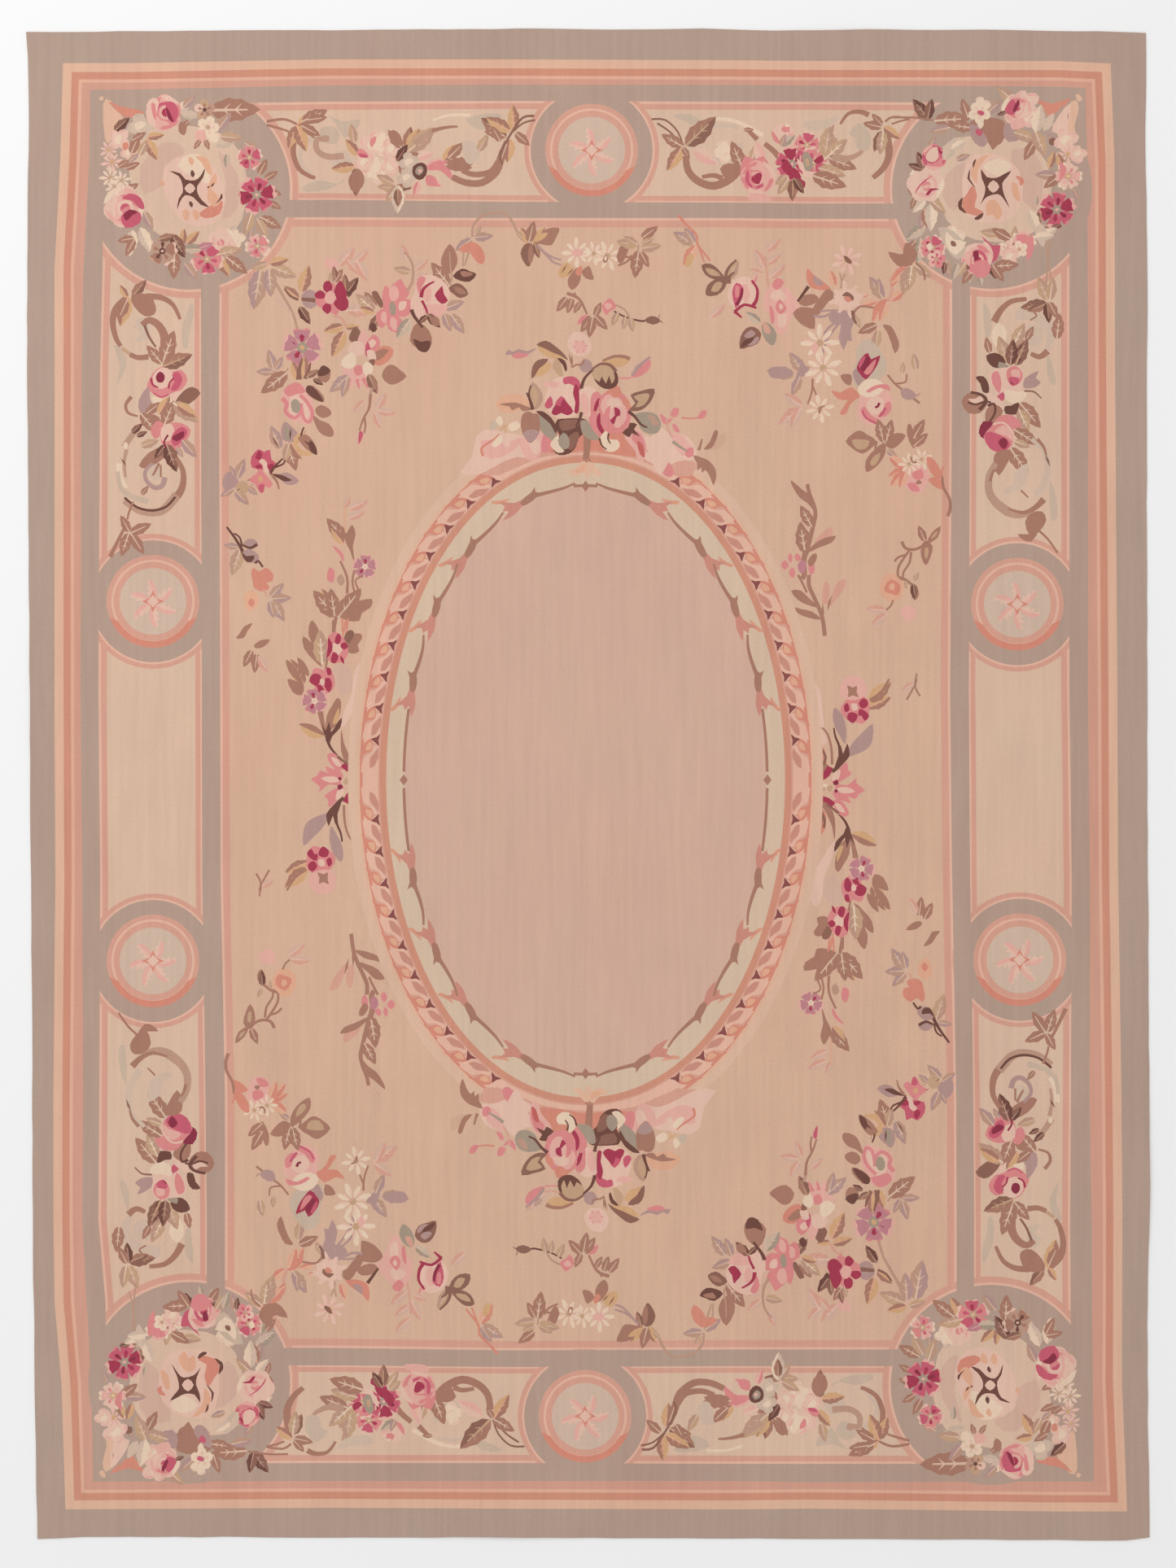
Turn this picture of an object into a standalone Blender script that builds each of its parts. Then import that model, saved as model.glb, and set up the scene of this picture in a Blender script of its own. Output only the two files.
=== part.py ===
"""A tapestry-woven floor rug of the Aubusson kind, lying flat.

It is one cloth, woven in one piece with its raw edges turned under, so it is one solid: a sheet 3 mm
thick whose outline wavers as hand weaving does, with a few low swells where it doesn't quite lie down.
Metres, +Z up. The origin is on the floor under the middle of the outline's box. +Y runs along the length.
"""

import math

import bmesh
import bpy

# Driving dimensions
WIDTH = 2.75
LENGTH = 3.71
THICKNESS = 0.003
EDGE_ROUND = 0.0008
EDGE_ROUND_STEPS = 2

# The sheet's grid, about 9 cm to a cell
CELLS_ACROSS = 30
CELLS_ALONG = 40

# How far each side stands out from the plain rectangle, at stations along it.
# Columns: place along the side from the rug's middle, outward offset, both in metres.
LEFT_SIDE = (
    (-1.85, -0.022),
    (-1.65, -0.019),
    (-1.40, -0.015),
    (-1.05, -0.011),
    (-0.70, -0.010),
    (-0.35, -0.008),
    (0.00, -0.005),
    (0.35, -0.003),
    (0.70, 0.000),
    (1.05, 0.003),
    (1.30, 0.002),
    (1.65, -0.001),
    (1.79, 0.000),
    (1.85, 0.005),
)
RIGHT_SIDE = (
    (-1.85, 0.005),
    (-1.55, 0.000),
    (-1.30, -0.001),
    (-1.00, 0.006),
    (-0.70, 0.003),
    (-0.35, 0.001),
    (0.00, -0.001),
    (0.40, -0.002),
    (0.80, -0.003),
    (1.25, -0.001),
    (1.60, -0.006),
    (1.85, -0.004),
)
FAR_SIDE = (
    (-1.37, -0.005),
    (-1.05, -0.003),
    (-0.70, -0.001),
    (-0.35, 0.001),
    (-0.15, 0.003),
    (0.10, 0.001),
    (0.25, 0.003),
    (0.45, -0.001),
    (0.70, 0.001),
    (1.00, 0.000),
    (1.20, -0.003),
    (1.37, -0.007),
)
NEAR_SIDE = (
    (-1.37, -0.002),
    (-1.25, -0.007),
    (-0.90, -0.007),
    (-0.55, -0.005),
    (-0.25, -0.006),
    (0.10, -0.004),
    (0.45, -0.003),
    (0.80, -0.001),
    (1.15, 0.001),
    (1.30, 0.002),
    (1.37, -0.005),
)

# Low swells that lift the cloth off the floor.
# Columns: middle across, middle along, half width, half length, turn in degrees, height; metres but for the turn.
SWELLS = (
    (0.26, 0.98, 0.10, 0.62, 2.0, 0.0022),
    (-0.52, -0.30, 0.12, 0.85, -3.0, 0.0016),
    (0.78, -0.70, 0.12, 0.60, 4.0, 0.0018),
    (-0.95, 0.90, 0.11, 0.50, -2.0, 0.0014),
    (-0.20, -1.84, 0.30, 0.12, 0.0, 0.0030),
    (0.62, 1.84, 0.26, 0.11, 0.0, 0.0028),
    (-1.37, 0.20, 0.10, 0.34, 0.0, 0.0026),
    (1.37, -0.95, 0.11, 0.30, 0.0, 0.0032),
)


def offset_at(side, place):
    """The side's outward offset at a place along it, eased from station to station."""
    if place <= side[0][0]:
        return side[0][1]
    for (low, start), (high, end) in zip(side, side[1:]):
        if place <= high:
            share = (place - low) / (high - low)
            eased = share * share * (3.0 - 2.0 * share)
            return start + (end - start) * eased
    return side[-1][1]


def on_outline(across, along):
    """Where a point of the plain rectangle goes. across and along run from -1 to 1."""
    x = across * WIDTH / 2
    y = along * LENGTH / 2
    left = -WIDTH / 2 - offset_at(LEFT_SIDE, y)
    right = WIDTH / 2 + offset_at(RIGHT_SIDE, y)
    near = -LENGTH / 2 - offset_at(NEAR_SIDE, x)
    far = LENGTH / 2 + offset_at(FAR_SIDE, x)
    return (
        left + (right - left) * (across + 1) / 2,
        near + (far - near) * (along + 1) / 2,
    )


def lift_at(x, y):
    """How far the cloth stands off the floor there."""
    lift = 0.0
    for middle_x, middle_y, half_width, half_length, turn, height in SWELLS:
        cosine = math.cos(math.radians(turn))
        sine = math.sin(math.radians(turn))
        dx = x - middle_x
        dy = y - middle_y
        across = (dx * cosine + dy * sine) / half_width
        along = (dy * cosine - dx * sine) / half_length
        reach = math.hypot(across, along)
        if reach < 1.0:
            lift = max(lift, height * (0.5 + 0.5 * math.cos(math.pi * reach)))
    return lift


def wool_material():
    """Undyed-looking mean of the rug's wool colours: matt and not metallic."""
    material = bpy.data.materials.new("dyed_wool")
    material.use_nodes = True
    shader = material.node_tree.nodes["Principled BSDF"]
    shader.inputs["Base Color"].default_value = (0.66, 0.45, 0.34, 1.0)
    shader.inputs["Roughness"].default_value = 0.95
    shader.inputs["Metallic"].default_value = 0.0
    return material


def make_rug(collection):
    """A grid shaped to the outline and the swells, given its thickness, with its rim rounded."""
    bpy.ops.mesh.primitive_grid_add(
        x_subdivisions=CELLS_ACROSS, y_subdivisions=CELLS_ALONG, size=2.0
    )
    rug = bpy.context.active_object
    rug.name = "rug"
    rug.data.name = "rug"
    for vertex in rug.data.vertices:
        x, y = on_outline(vertex.co.x, vertex.co.y)
        vertex.co = (x, y, lift_at(x, y))
    centre_on_box(rug.data)
    thicken(rug.data)
    bevel = rug.modifiers.new("round_rim", "BEVEL")
    bevel.limit_method = "ANGLE"
    bevel.angle_limit = math.radians(60)
    bevel.width = EDGE_ROUND
    bevel.segments = EDGE_ROUND_STEPS
    rug.data.materials.append(wool_material())
    rug.data.shade_smooth()
    rug.data.set_sharp_from_angle(angle=math.radians(50))
    for holder in list(rug.users_collection):
        holder.objects.unlink(rug)
    collection.objects.link(rug)
    return rug


def centre_on_box(mesh):
    """Moves the mesh so that the middle of its box is over the origin."""
    xs = [vertex.co.x for vertex in mesh.vertices]
    ys = [vertex.co.y for vertex in mesh.vertices]
    shift_x = (min(xs) + max(xs)) / 2
    shift_y = (min(ys) + max(ys)) / 2
    for vertex in mesh.vertices:
        vertex.co.x -= shift_x
        vertex.co.y -= shift_y


def thicken(mesh):
    """Gives the open grid its woven thickness, straight up from the underside."""
    work = bmesh.new()
    work.from_mesh(mesh)
    underside = list(work.faces)
    lifted = bmesh.ops.extrude_face_region(work, geom=underside, use_keep_orig=True)
    for element in lifted["geom"]:
        if isinstance(element, bmesh.types.BMVert):
            element.co.z += THICKNESS
    bmesh.ops.recalc_face_normals(work, faces=work.faces)
    work.to_mesh(mesh)
    work.free()


def main():
    for old in list(bpy.data.objects):
        bpy.data.objects.remove(old)
    collection = bpy.data.collections.new("aubusson_rug")
    bpy.context.scene.collection.children.link(collection)
    make_rug(collection)


main()
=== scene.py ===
"""Looks of a tapestry-woven floor rug of the Aubusson kind, lying flat and seen from straight above.

The weaver works from a cartoon: flat shapes in dyed colours, laid one over another. Here the cartoon is
drawn the same way, in centimetres from the rug's middle. It is then cut into one flush sheet of small
faces, where each face carries the colour of its own yarn, and the sheet gets its thickness and swells.
"""

import math
import random

import bmesh
import bpy
import numpy as np
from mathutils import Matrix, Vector
from mathutils.geometry import delaunay_2d_cdt


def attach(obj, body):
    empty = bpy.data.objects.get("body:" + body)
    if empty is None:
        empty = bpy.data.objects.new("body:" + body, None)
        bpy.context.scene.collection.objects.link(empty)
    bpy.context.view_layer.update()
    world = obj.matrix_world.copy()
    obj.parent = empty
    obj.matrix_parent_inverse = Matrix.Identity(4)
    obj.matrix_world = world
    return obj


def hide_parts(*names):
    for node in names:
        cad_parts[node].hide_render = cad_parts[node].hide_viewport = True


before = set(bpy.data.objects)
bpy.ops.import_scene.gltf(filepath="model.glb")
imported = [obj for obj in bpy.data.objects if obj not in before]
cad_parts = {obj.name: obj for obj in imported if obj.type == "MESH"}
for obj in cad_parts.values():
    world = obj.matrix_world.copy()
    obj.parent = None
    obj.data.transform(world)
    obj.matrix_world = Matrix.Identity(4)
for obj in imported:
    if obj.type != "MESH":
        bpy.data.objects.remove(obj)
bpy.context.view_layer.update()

# The cartoon starts here

# The dyed yarns
YARNS = {
    "taupe": "#B39B8C",
    "dove": "#B59B8B",
    "peach": "#DEB499",
    "terracotta": "#CF9179",
    "shell": "#E3B59F",
    "salmon": "#D5A08C",
    "sand": "#D7B197",
    "oat": "#DABAA2",
    "wash": "#D3AE9B",
    "ivory": "#D6BCA3",
    "wine": "#8C3346",
    "crimson": "#A63B51",
    "rose": "#C65E70",
    "pink": "#D98987",
    "blush": "#E2AC9F",
    "petal": "#E3BCA9",
    "cream": "#E6CCB2",
    "mauve": "#BE8288",
    "umber": "#70493F",
    "brown": "#8F6556",
    "nutmeg": "#A97A67",
    "fawn": "#BC9580",
    "tan": "#C49F80",
    "gold": "#D2A67B",
    "sage": "#A69482",
    "mist": "#C9B29D",
    "haze": "#D0B7A3",
    "lilac": "#B3918A",
    "coral": "#D48B76",
    "apricot": "#DFAA8C",
    "glow": "#DCB79E",
    "notch": "#8A4F4B",
    "coral_shade": "#C98F7E",
    "pink_shade": "#CB8C7C",
    "peach_shade": "#D89A80",
    "rose_shade": "#C2665F",
    "faint_leaf": "#D0A98F",
    "light_stripe": "#E0AE96",
    "pink_stripe": "#D29D89",
}
YARN_NAMES = list(YARNS)

# What the lines round the panels may cover
GROUNDS = ("oat", "sand", "salmon", "shell")

shapes = []


def lay(points, yarn, over=None):
    """Lays a shape on the cartoon. With over, it shows only where those yarns lie under it."""
    shapes.append((np.round(np.array(points, float), 3), yarn, over))


def spot(x, y, size, turn=0.0, flip=1.0):
    """Puts a motif's own points, x ahead and y to its left, at their place on the rug."""
    ahead_x = math.cos(math.radians(turn)) * size
    ahead_y = math.sin(math.radians(turn)) * size

    def put(points):
        return [
            (x + px * ahead_x - py * flip * ahead_y, y + px * ahead_y + py * flip * ahead_x)
            for px, py in points
        ]

    return put


def circle(radius, steps=24, middle=(0.0, 0.0), squash=1.0):
    """A round outline, or an oval one where squash isn't 1."""
    return [
        (
            middle[0] + radius * math.cos(math.tau * step / steps),
            middle[1] + radius * squash * math.sin(math.tau * step / steps),
        )
        for step in range(steps)
    ]


def smooth(points, steps=3, closed=False):
    """A soft line through the points, each step worked out from the four nearest of them."""
    count = len(points)
    spans = count if closed else count - 1
    line = []
    for span in range(spans):
        near = []
        for offset in (-1, 0, 1, 2):
            index = span + offset
            index = index % count if closed else min(max(index, 0), count - 1)
            near.append(points[index])
        for step in range(steps):
            t = step / steps
            line.append(
                tuple(
                    0.5
                    * (
                        2 * near[1][axis]
                        + (near[2][axis] - near[0][axis]) * t
                        + (2 * near[0][axis] - 5 * near[1][axis] + 4 * near[2][axis] - near[3][axis]) * t * t
                        + (3 * near[1][axis] - near[0][axis] - 3 * near[2][axis] + near[3][axis]) * t ** 3
                    )
                    for axis in (0, 1)
                )
            )
    if not closed:
        line.append(tuple(points[-1]))
    return line


def ribbon(yarn, start, end, points, steps=3, over=None):
    """A stem or scroll along the points, its width going from start to end."""
    line = smooth(points, steps)
    left = []
    right = []
    last = len(line) - 1
    for index, (x, y) in enumerate(line):
        before = line[max(index - 1, 0)]
        after = line[min(index + 1, last)]
        dx = after[0] - before[0]
        dy = after[1] - before[1]
        long = math.hypot(dx, dy) or 1.0
        half = 0.5 * (start + (end - start) * index / last)
        left.append((x - dy / long * half, y + dx / long * half))
        right.append((x + dy / long * half, y - dx / long * half))
    lay(left + right[::-1], yarn, over)


def crescent(low, high, inner, outer, steps=4, middle=(0.0, 0.0)):
    """A sickle between two angles in degrees, pointed at both ends."""
    points = []
    for step in range(steps + 1):
        angle = math.radians(low + (high - low) * step / steps)
        points.append((middle[0] + outer * math.cos(angle), middle[1] + outer * math.sin(angle)))
    for step in range(steps - 1, 0, -1):
        angle = math.radians(low + (high - low) * step / steps)
        points.append((middle[0] + inner * math.cos(angle), middle[1] + inner * math.sin(angle)))
    return points


def lobed(radius, lobes, depth=0.12, start=0.0, middle=(0.0, 0.0), steps=4):
    """A round outline with soft lobes."""
    points = []
    for step in range(lobes * steps):
        angle = start + 360.0 * step / (lobes * steps)
        swing = abs(math.cos(math.radians((angle - start) * lobes / 2)))
        reach = radius * (1.0 - depth + depth * swing)
        points.append(
            (
                middle[0] + reach * math.cos(math.radians(angle)),
                middle[1] + reach * math.sin(math.radians(angle)),
            )
        )
    return points


# Each leaf's dyes: shaded half, lit half, rib
LEAVES = {
    "umber": ("umber", "brown", "fawn"),
    "dark": ("umber", "umber", "nutmeg"),
    "brown": ("brown", "nutmeg", "tan"),
    "nutmeg": ("nutmeg", "nutmeg", "oat"),
    "fawn": ("fawn", "tan", "oat"),
    "gold": ("nutmeg", "gold", "apricot"),
    "tan": ("fawn", "tan", "cream"),
    "sage": ("sage", "mist", "oat"),
    "lilac": ("lilac", "fawn", "oat"),
    "mist": ("mist", "haze", "oat"),
    "haze": ("haze", "haze", "oat"),
    "coral": ("coral", "apricot", "shell"),
    "blush": ("blush", "petal", "shell"),
    "pink": ("pink", "blush", "petal"),
    "mauve": ("mauve", "mauve", "blush"),
    "faint": ("salmon", "wash", "petal"),
    "cream": ("haze", "cream", "cream"),
}

# Each flower's dyes: heart, shade, body, light, rim, eye
FLOWERS = {
    "red": ("wine", "crimson", "rose", "pink", "blush", "sage"),
    "rose": ("crimson", "rose", "pink", "blush", "petal", "tan"),
    "pink": ("rose", "pink", "blush", "petal", "cream", "tan"),
    "blush": ("pink", "blush", "petal", "petal", "cream", "gold"),
    "mauve": ("crimson", "mauve", "mauve", "pink", "blush", "cream"),
    "cream": ("gold", "petal", "cream", "cream", "cream", "tan"),
    "coral": ("terracotta", "coral", "apricot", "apricot", "petal", "nutmeg"),
    "fawn": ("umber", "nutmeg", "fawn", "tan", "petal", "umber"),
    "mist": ("haze", "mist", "haze", "haze", "cream", "fawn"),
}


def leaf(dyes, x, y, size, turn, flip=1.0):
    """A pointed leaf from its stalk end, notched along its edge, with one half in shade."""
    shade, lit, rib = LEAVES[dyes]
    put = spot(x, y, size, turn, flip)
    notches = 6 if size < 6.0 else 8
    edge = []
    for step in range(1, notches):
        t = step / notches
        notch = 0.85 if step % 2 == 0 else 1.0
        edge.append((t, 0.25 * notch * math.sin(math.pi * t ** 0.8) ** 0.85))
    under = [(px, -py) for px, py in reversed(edge)]
    lay(put([(0.0, 0.0)] + edge + [(1.0, 0.0)] + under), lit)
    if shade != lit:
        lay(put([(0.0, 0.0), (0.55, 0.03), (1.0, 0.0)] + under), shade)
    lay(put([(0.0, 0.03), (0.75, 0.015), (0.75, -0.015), (0.0, -0.03)]), rib)
    if size >= 6.0:
        for start in (0.25, 0.48):
            lay(put([(start, 0.0), (start + 0.17, 0.14), (start + 0.06, 0.0)]), rib)
            lay(put([(start, 0.0), (start + 0.17, -0.13), (start + 0.06, 0.0)]), rib)


def bloom(dyes, x, y, size, turn, flip=1.0, petals=6):
    """An open flower of heart-shaped petals, light at the tips and dark at the base."""
    heart, shade, body, light, rim, eye = FLOWERS[dyes]
    wide = 2.1 / petals
    for step in range(petals):
        put = spot(x, y, size, turn + 360.0 * step / petals, flip)
        long = 1.0 - 0.1 * (step % 2)
        tip = [(0.78, wide), (long, 0.62 * wide), (0.9 * long, 0.0), (long, -0.62 * wide), (0.78, -wide)]
        outer = body if step % 3 else shade
        lay(put([(0.12, 0.0), (0.42, 0.72 * wide)] + tip + [(0.42, -0.72 * wide)]), outer)
        lay(put(tip + [(0.76, -0.3 * wide), (0.84, 0.1 * wide)]), light if step % 2 else rim)
        inner = heart if step % 2 else shade
        lay(put([(0.1, 0.0), (0.52, 0.32 * wide), (0.62, 0.0), (0.5, -0.3 * wide)]), inner)
    put = spot(x, y, size, turn, flip)
    lay(put(circle(0.22, 8)), eye)
    lay(put([(0.13, 0.0), (0.0, 0.09), (-0.12, 0.0), (0.0, -0.09)]), rim)


def peony(dyes, x, y, size, turn, flip=1.0):
    """A great double flower: two rings of petals round a seeded eye."""
    heart, shade, body, light, rim, eye = FLOWERS[dyes]
    for ring, (petals, reach) in enumerate(((8, 1.0), (6, 0.66))):
        for step in range(petals):
            put = spot(x, y, size * reach, turn + 24.0 * ring + 360.0 * step / petals, flip)
            wide = 2.5 / petals
            tip = [(0.75, wide), (0.97, 0.6 * wide), (0.9, 0.0), (1.0, -0.5 * wide), (0.75, -wide)]
            lay(put([(0.1, 0.0), (0.4, 0.7 * wide)] + tip + [(0.4, -0.7 * wide)]), (body, light)[ring])
            lay(put(tip + [(0.74, -0.2 * wide), (0.8, 0.2 * wide)]), (light, rim)[ring])
            lay(put([(0.2, 0.12 * wide), (0.8, 0.1 * wide), (0.85, -0.12 * wide), (0.2, -0.3 * wide)]), shade)
            lay(put([(0.15, 0.5 * wide), (0.45, 0.75 * wide), (0.62, 0.5 * wide)]), heart)
    put = spot(x, y, size, turn, flip)
    lay(put(lobed(0.25, 6)), eye)
    for step in range(5):
        put = spot(x, y, size, turn + 72.0 * step)
        lay(put([(0.07, 0.0), (0.15, 0.05), (0.22, 0.0), (0.15, -0.05)]), rim)


def rose(dyes, x, y, size, turn, flip=1.0):
    """A full rose seen a little from the side: broad outer petals round a cup with a dark heart."""
    heart, shade, body, light, rim, eye = FLOWERS[dyes]
    put = spot(x, y, size, turn, flip)
    lay(put(lobed(1.0, 6, 0.14, 20.0)), light)
    lay(put(crescent(150, 235, 0.72, 0.97)), rim)
    lay(put(crescent(25, 95, 0.7, 0.93)), rim)
    lay(put(crescent(250, 330, 0.62, 0.9)), body)
    lay(put(crescent(95, 160, 0.55, 0.86)), body)
    lay(put(crescent(-25, 30, 0.6, 0.88)), body)
    lay(put(lobed(0.68, 5, 0.12, -10.0, (0.06, -0.04))), body)
    lay(put(crescent(180, 290, 0.42, 0.66, 5, (0.06, -0.04))), light)
    lay(put(crescent(-60, 50, 0.42, 0.66, 5, (0.06, -0.04))), shade)
    lay(put(crescent(60, 170, 0.44, 0.62, 5, (0.06, -0.04))), shade)
    lay(put(lobed(0.42, 4, 0.12, 30.0, (0.12, 0.0))), light)
    lay(put(crescent(-70, 60, 0.22, 0.4, 4, (0.12, 0.0))), body)
    lay(put(circle(0.28, 8, (0.14, 0.0), 0.85)), shade)
    lay(put(crescent(100, 260, 0.08, 0.26, 4, (0.14, 0.0))), heart)
    lay(put(crescent(-60, 60, 0.12, 0.24, 4, (0.14, 0.0))), heart)


def tulip(dyes, x, y, size, turn, flip=1.0):
    """A half-open rose from the side: three petals rising from its stalk."""
    heart, shade, body, light, rim, eye = FLOWERS[dyes]
    put = spot(x, y, size, turn, flip)
    lay(put([(0.0, 0.0), (0.1, 0.3), (0.45, 0.5), (0.8, 0.45), (0.95, 0.15), (0.9, -0.2), (0.7, -0.48),
             (0.4, -0.45), (0.1, -0.26)]), body)
    lay(put([(0.05, 0.12), (0.4, 0.5), (0.82, 0.46), (0.7, 0.2), (0.35, 0.16)]), light)
    lay(put([(0.05, -0.12), (0.4, -0.45), (0.75, -0.45), (0.6, -0.2), (0.3, -0.12)]), shade)
    lay(put([(0.62, 0.2), (0.92, 0.12), (0.88, -0.15), (0.66, -0.22), (0.55, 0.0)]), heart)
    lay(put([(0.82, 0.1), (0.98, 0.06), (0.94, -0.16), (0.84, -0.06)]), rim)


def bud(dyes, x, y, size, turn, flip=1.0):
    """A closed bud with its two sepals."""
    heart, shade, body, light, rim, eye = FLOWERS[dyes]
    put = spot(x, y, size, turn, flip)
    lay(put([(0.05, 0.0), (0.3, 0.3), (0.65, 0.32), (1.0, 0.05), (0.7, -0.25), (0.35, -0.3)]), body)
    lay(put([(0.1, -0.05), (0.35, -0.3), (0.7, -0.25), (0.95, 0.0), (0.5, -0.08)]), shade)
    lay(put([(-0.15, 0.0), (0.2, 0.34), (0.45, 0.36), (0.2, 0.08), (0.45, -0.02), (0.15, -0.1)]), "nutmeg")


def daisy(dyes, x, y, size, turn, flip=1.0):
    """A daisy of narrow petals."""
    heart, shade, body, light, rim, eye = FLOWERS[dyes]
    for step in range(8):
        put = spot(x, y, size * (1.0 - 0.15 * (step % 2)), turn + 45.0 * step)
        petal = light if step % 2 else body
        lay(put([(0.12, 0.0), (0.55, 0.17), (0.95, 0.12), (1.0, -0.04), (0.6, -0.17)]), petal)
        lay(put([(0.15, -0.02), (0.6, -0.17), (0.75, -0.12), (0.4, 0.0)]), shade)
    lay(spot(x, y, size)(circle(0.2, 6)), eye)


def blossom(dyes, x, y, size, turn, flip=1.0):
    """A small flower of five round petals."""
    heart, shade, body, light, rim, eye = FLOWERS[dyes]
    for step in range(5):
        put = spot(x, y, size, turn + 72.0 * step)
        lay(put(circle(0.42, 7, (0.58, 0.0))), (body, light, rim, light, body)[step])
        lay(put([(0.15, 0.0), (0.5, 0.14), (0.62, 0.0), (0.5, -0.14)]), shade)
    lay(spot(x, y, size, turn)(circle(0.2, 6)), eye)


def pansy(dyes, x, y, size, turn, flip=1.0):
    """A small flower whose dark petals stand over pale ones."""
    heart, shade, body, light, rim, eye = FLOWERS[dyes]
    for step in range(5):
        put = spot(x, y, size, turn + 72.0 * step, flip)
        lay(put(circle(0.45, 7, (0.62, 0.0))), light)
        if step in (0, 1, 4):
            lay(put(circle(0.33, 7, (0.66, 0.0))), body)
            lay(put([(0.5, 0.22), (0.9, 0.1), (0.85, -0.12), (0.6, 0.0)]), heart)
        else:
            lay(put(crescent(-60, 60, 0.18, 0.42, 4, (0.58, 0.0))), rim)
    lay(spot(x, y, size, turn)(lobed(0.24, 5, 0.3)), eye)


def frond(dyes, x, y, size, turn, flip=1.0):
    """An acanthus leaf, curling to one side with lobes along its back."""
    shade, lit, rib = LEAVES[dyes]
    put = spot(x, y, size, turn, flip)
    lay(put([(0.0, -0.05), (0.06, 0.12), (0.2, 0.24), (0.27, 0.15), (0.4, 0.36), (0.48, 0.22), (0.64, 0.42),
             (0.7, 0.26), (0.88, 0.42), (1.0, 0.34), (0.92, 0.14), (0.7, -0.02), (0.4, -0.1)]), lit)
    lay(put([(0.0, -0.05), (0.3, 0.06), (0.6, 0.14), (0.85, 0.3), (1.0, 0.34), (0.92, 0.14), (0.7, -0.02),
             (0.4, -0.1)]), shade)
    lay(put([(0.05, 0.0), (0.45, 0.1), (0.85, 0.3), (0.5, 0.05)]), rib)


def tuft(dyes, x, y, size, turn, flip=1.0):
    """A loose clump of petals, as pale flowers far back in a bunch."""
    heart, shade, body, light, rim, eye = FLOWERS[dyes]
    for step, (px, py, reach) in enumerate(
        ((0.5, 0.1, 0.5), (-0.1, 0.5, 0.46), (-0.5, -0.1, 0.44), (0.05, -0.5, 0.5), (0.0, 0.0, 0.42))
    ):
        put = spot(x, y, size, turn, flip)
        lay(put(lobed(reach, 3, 0.2, 40.0 * step, (px, py), 3)), (body, light, light, body, rim)[step])
        lay(put(crescent(60 * step, 60 * step + 130, 0.5 * reach, 0.8 * reach, 4, (px, py))), shade)


def diamond(dyes, x, y, size, turn, flip=1.0):
    """A four-pointed star with an open middle."""
    heart, shade, body, light, rim, eye = FLOWERS[dyes]
    put = spot(x, y, size, turn)
    star = [(1.0, 0.0), (0.3, 0.3), (0.0, 1.0), (-0.3, 0.3)]
    star += [(-px, -py) for px, py in star]
    lay(put(star), shade)
    lay(put([(0.55, 0.0), (0.0, 0.55), (-0.55, 0.0), (0.0, -0.55)]), rim)


def stroke(dyes, x, y, size, turn, flip=1.0):
    """A single curved hatch in the shade dye."""
    lay(spot(x, y, size, turn, flip)([(0.0, 0.0), (0.5, 0.16), (1.0, 0.12), (0.5, 0.0)]), dyes)


MOTIFS = {
    "leaf": leaf,
    "bloom": bloom,
    "peony": peony,
    "rose": rose,
    "tulip": tulip,
    "bud": bud,
    "daisy": daisy,
    "blossom": blossom,
    "pansy": pansy,
    "frond": frond,
    "tuft": tuft,
    "diamond": diamond,
    "stroke": stroke,
}


def weave(chart, half_turn=False, shift=(0.0, 0.0)):
    """Lays a chart's rows: motif, dyes, x, y, size and turn, or stem, dye, start and end width, points.

    The weaver drew half of the design and turned it about the middle for the other half, so with
    half_turn a chart is laid a second time there. shift is how far that copy wandered on the loom.
    """
    way = -1.0 if half_turn else 1.0
    for motif, dyes, *rest in chart:
        if motif == "stem":
            start, end, *points = rest
            placed = [(way * x + shift[0], way * y + shift[1]) for x, y in points]
            ribbon(dyes, start, end, placed)
        elif motif == "patch":
            placed = [(way * x + shift[0], way * y + shift[1]) for x, y in rest]
            lay(smooth(placed, 2, True), dyes)
        else:
            x, y, size, turn, *more = rest
            MOTIFS[motif](dyes, way * x + shift[0], way * y + shift[1], size, turn + 90.0 - 90.0 * way, *more)


# The outline, as in the part's source. Columns: place along the side from the rug's middle, outward
# offset from the plain rectangle, both in metres.
WIDTH = 2.75
LENGTH = 3.71
LEFT_SIDE = (
    (-1.85, -0.022),
    (-1.65, -0.019),
    (-1.40, -0.015),
    (-1.05, -0.011),
    (-0.70, -0.010),
    (-0.35, -0.008),
    (0.00, -0.005),
    (0.35, -0.003),
    (0.70, 0.000),
    (1.05, 0.003),
    (1.30, 0.002),
    (1.65, -0.001),
    (1.79, 0.000),
    (1.85, 0.005),
)
RIGHT_SIDE = (
    (-1.85, 0.005),
    (-1.55, 0.000),
    (-1.30, -0.001),
    (-1.00, 0.006),
    (-0.70, 0.003),
    (-0.35, 0.001),
    (0.00, -0.001),
    (0.40, -0.002),
    (0.80, -0.003),
    (1.25, -0.001),
    (1.60, -0.006),
    (1.85, -0.004),
)
FAR_SIDE = (
    (-1.37, -0.005),
    (-1.05, -0.003),
    (-0.70, -0.001),
    (-0.35, 0.001),
    (-0.15, 0.003),
    (0.10, 0.001),
    (0.25, 0.003),
    (0.45, -0.001),
    (0.70, 0.001),
    (1.00, 0.000),
    (1.20, -0.003),
    (1.37, -0.007),
)
NEAR_SIDE = (
    (-1.37, -0.002),
    (-1.25, -0.007),
    (-0.90, -0.007),
    (-0.55, -0.005),
    (-0.25, -0.006),
    (0.10, -0.004),
    (0.45, -0.003),
    (0.80, -0.001),
    (1.15, 0.001),
    (1.30, 0.002),
    (1.37, -0.005),
)


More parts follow.
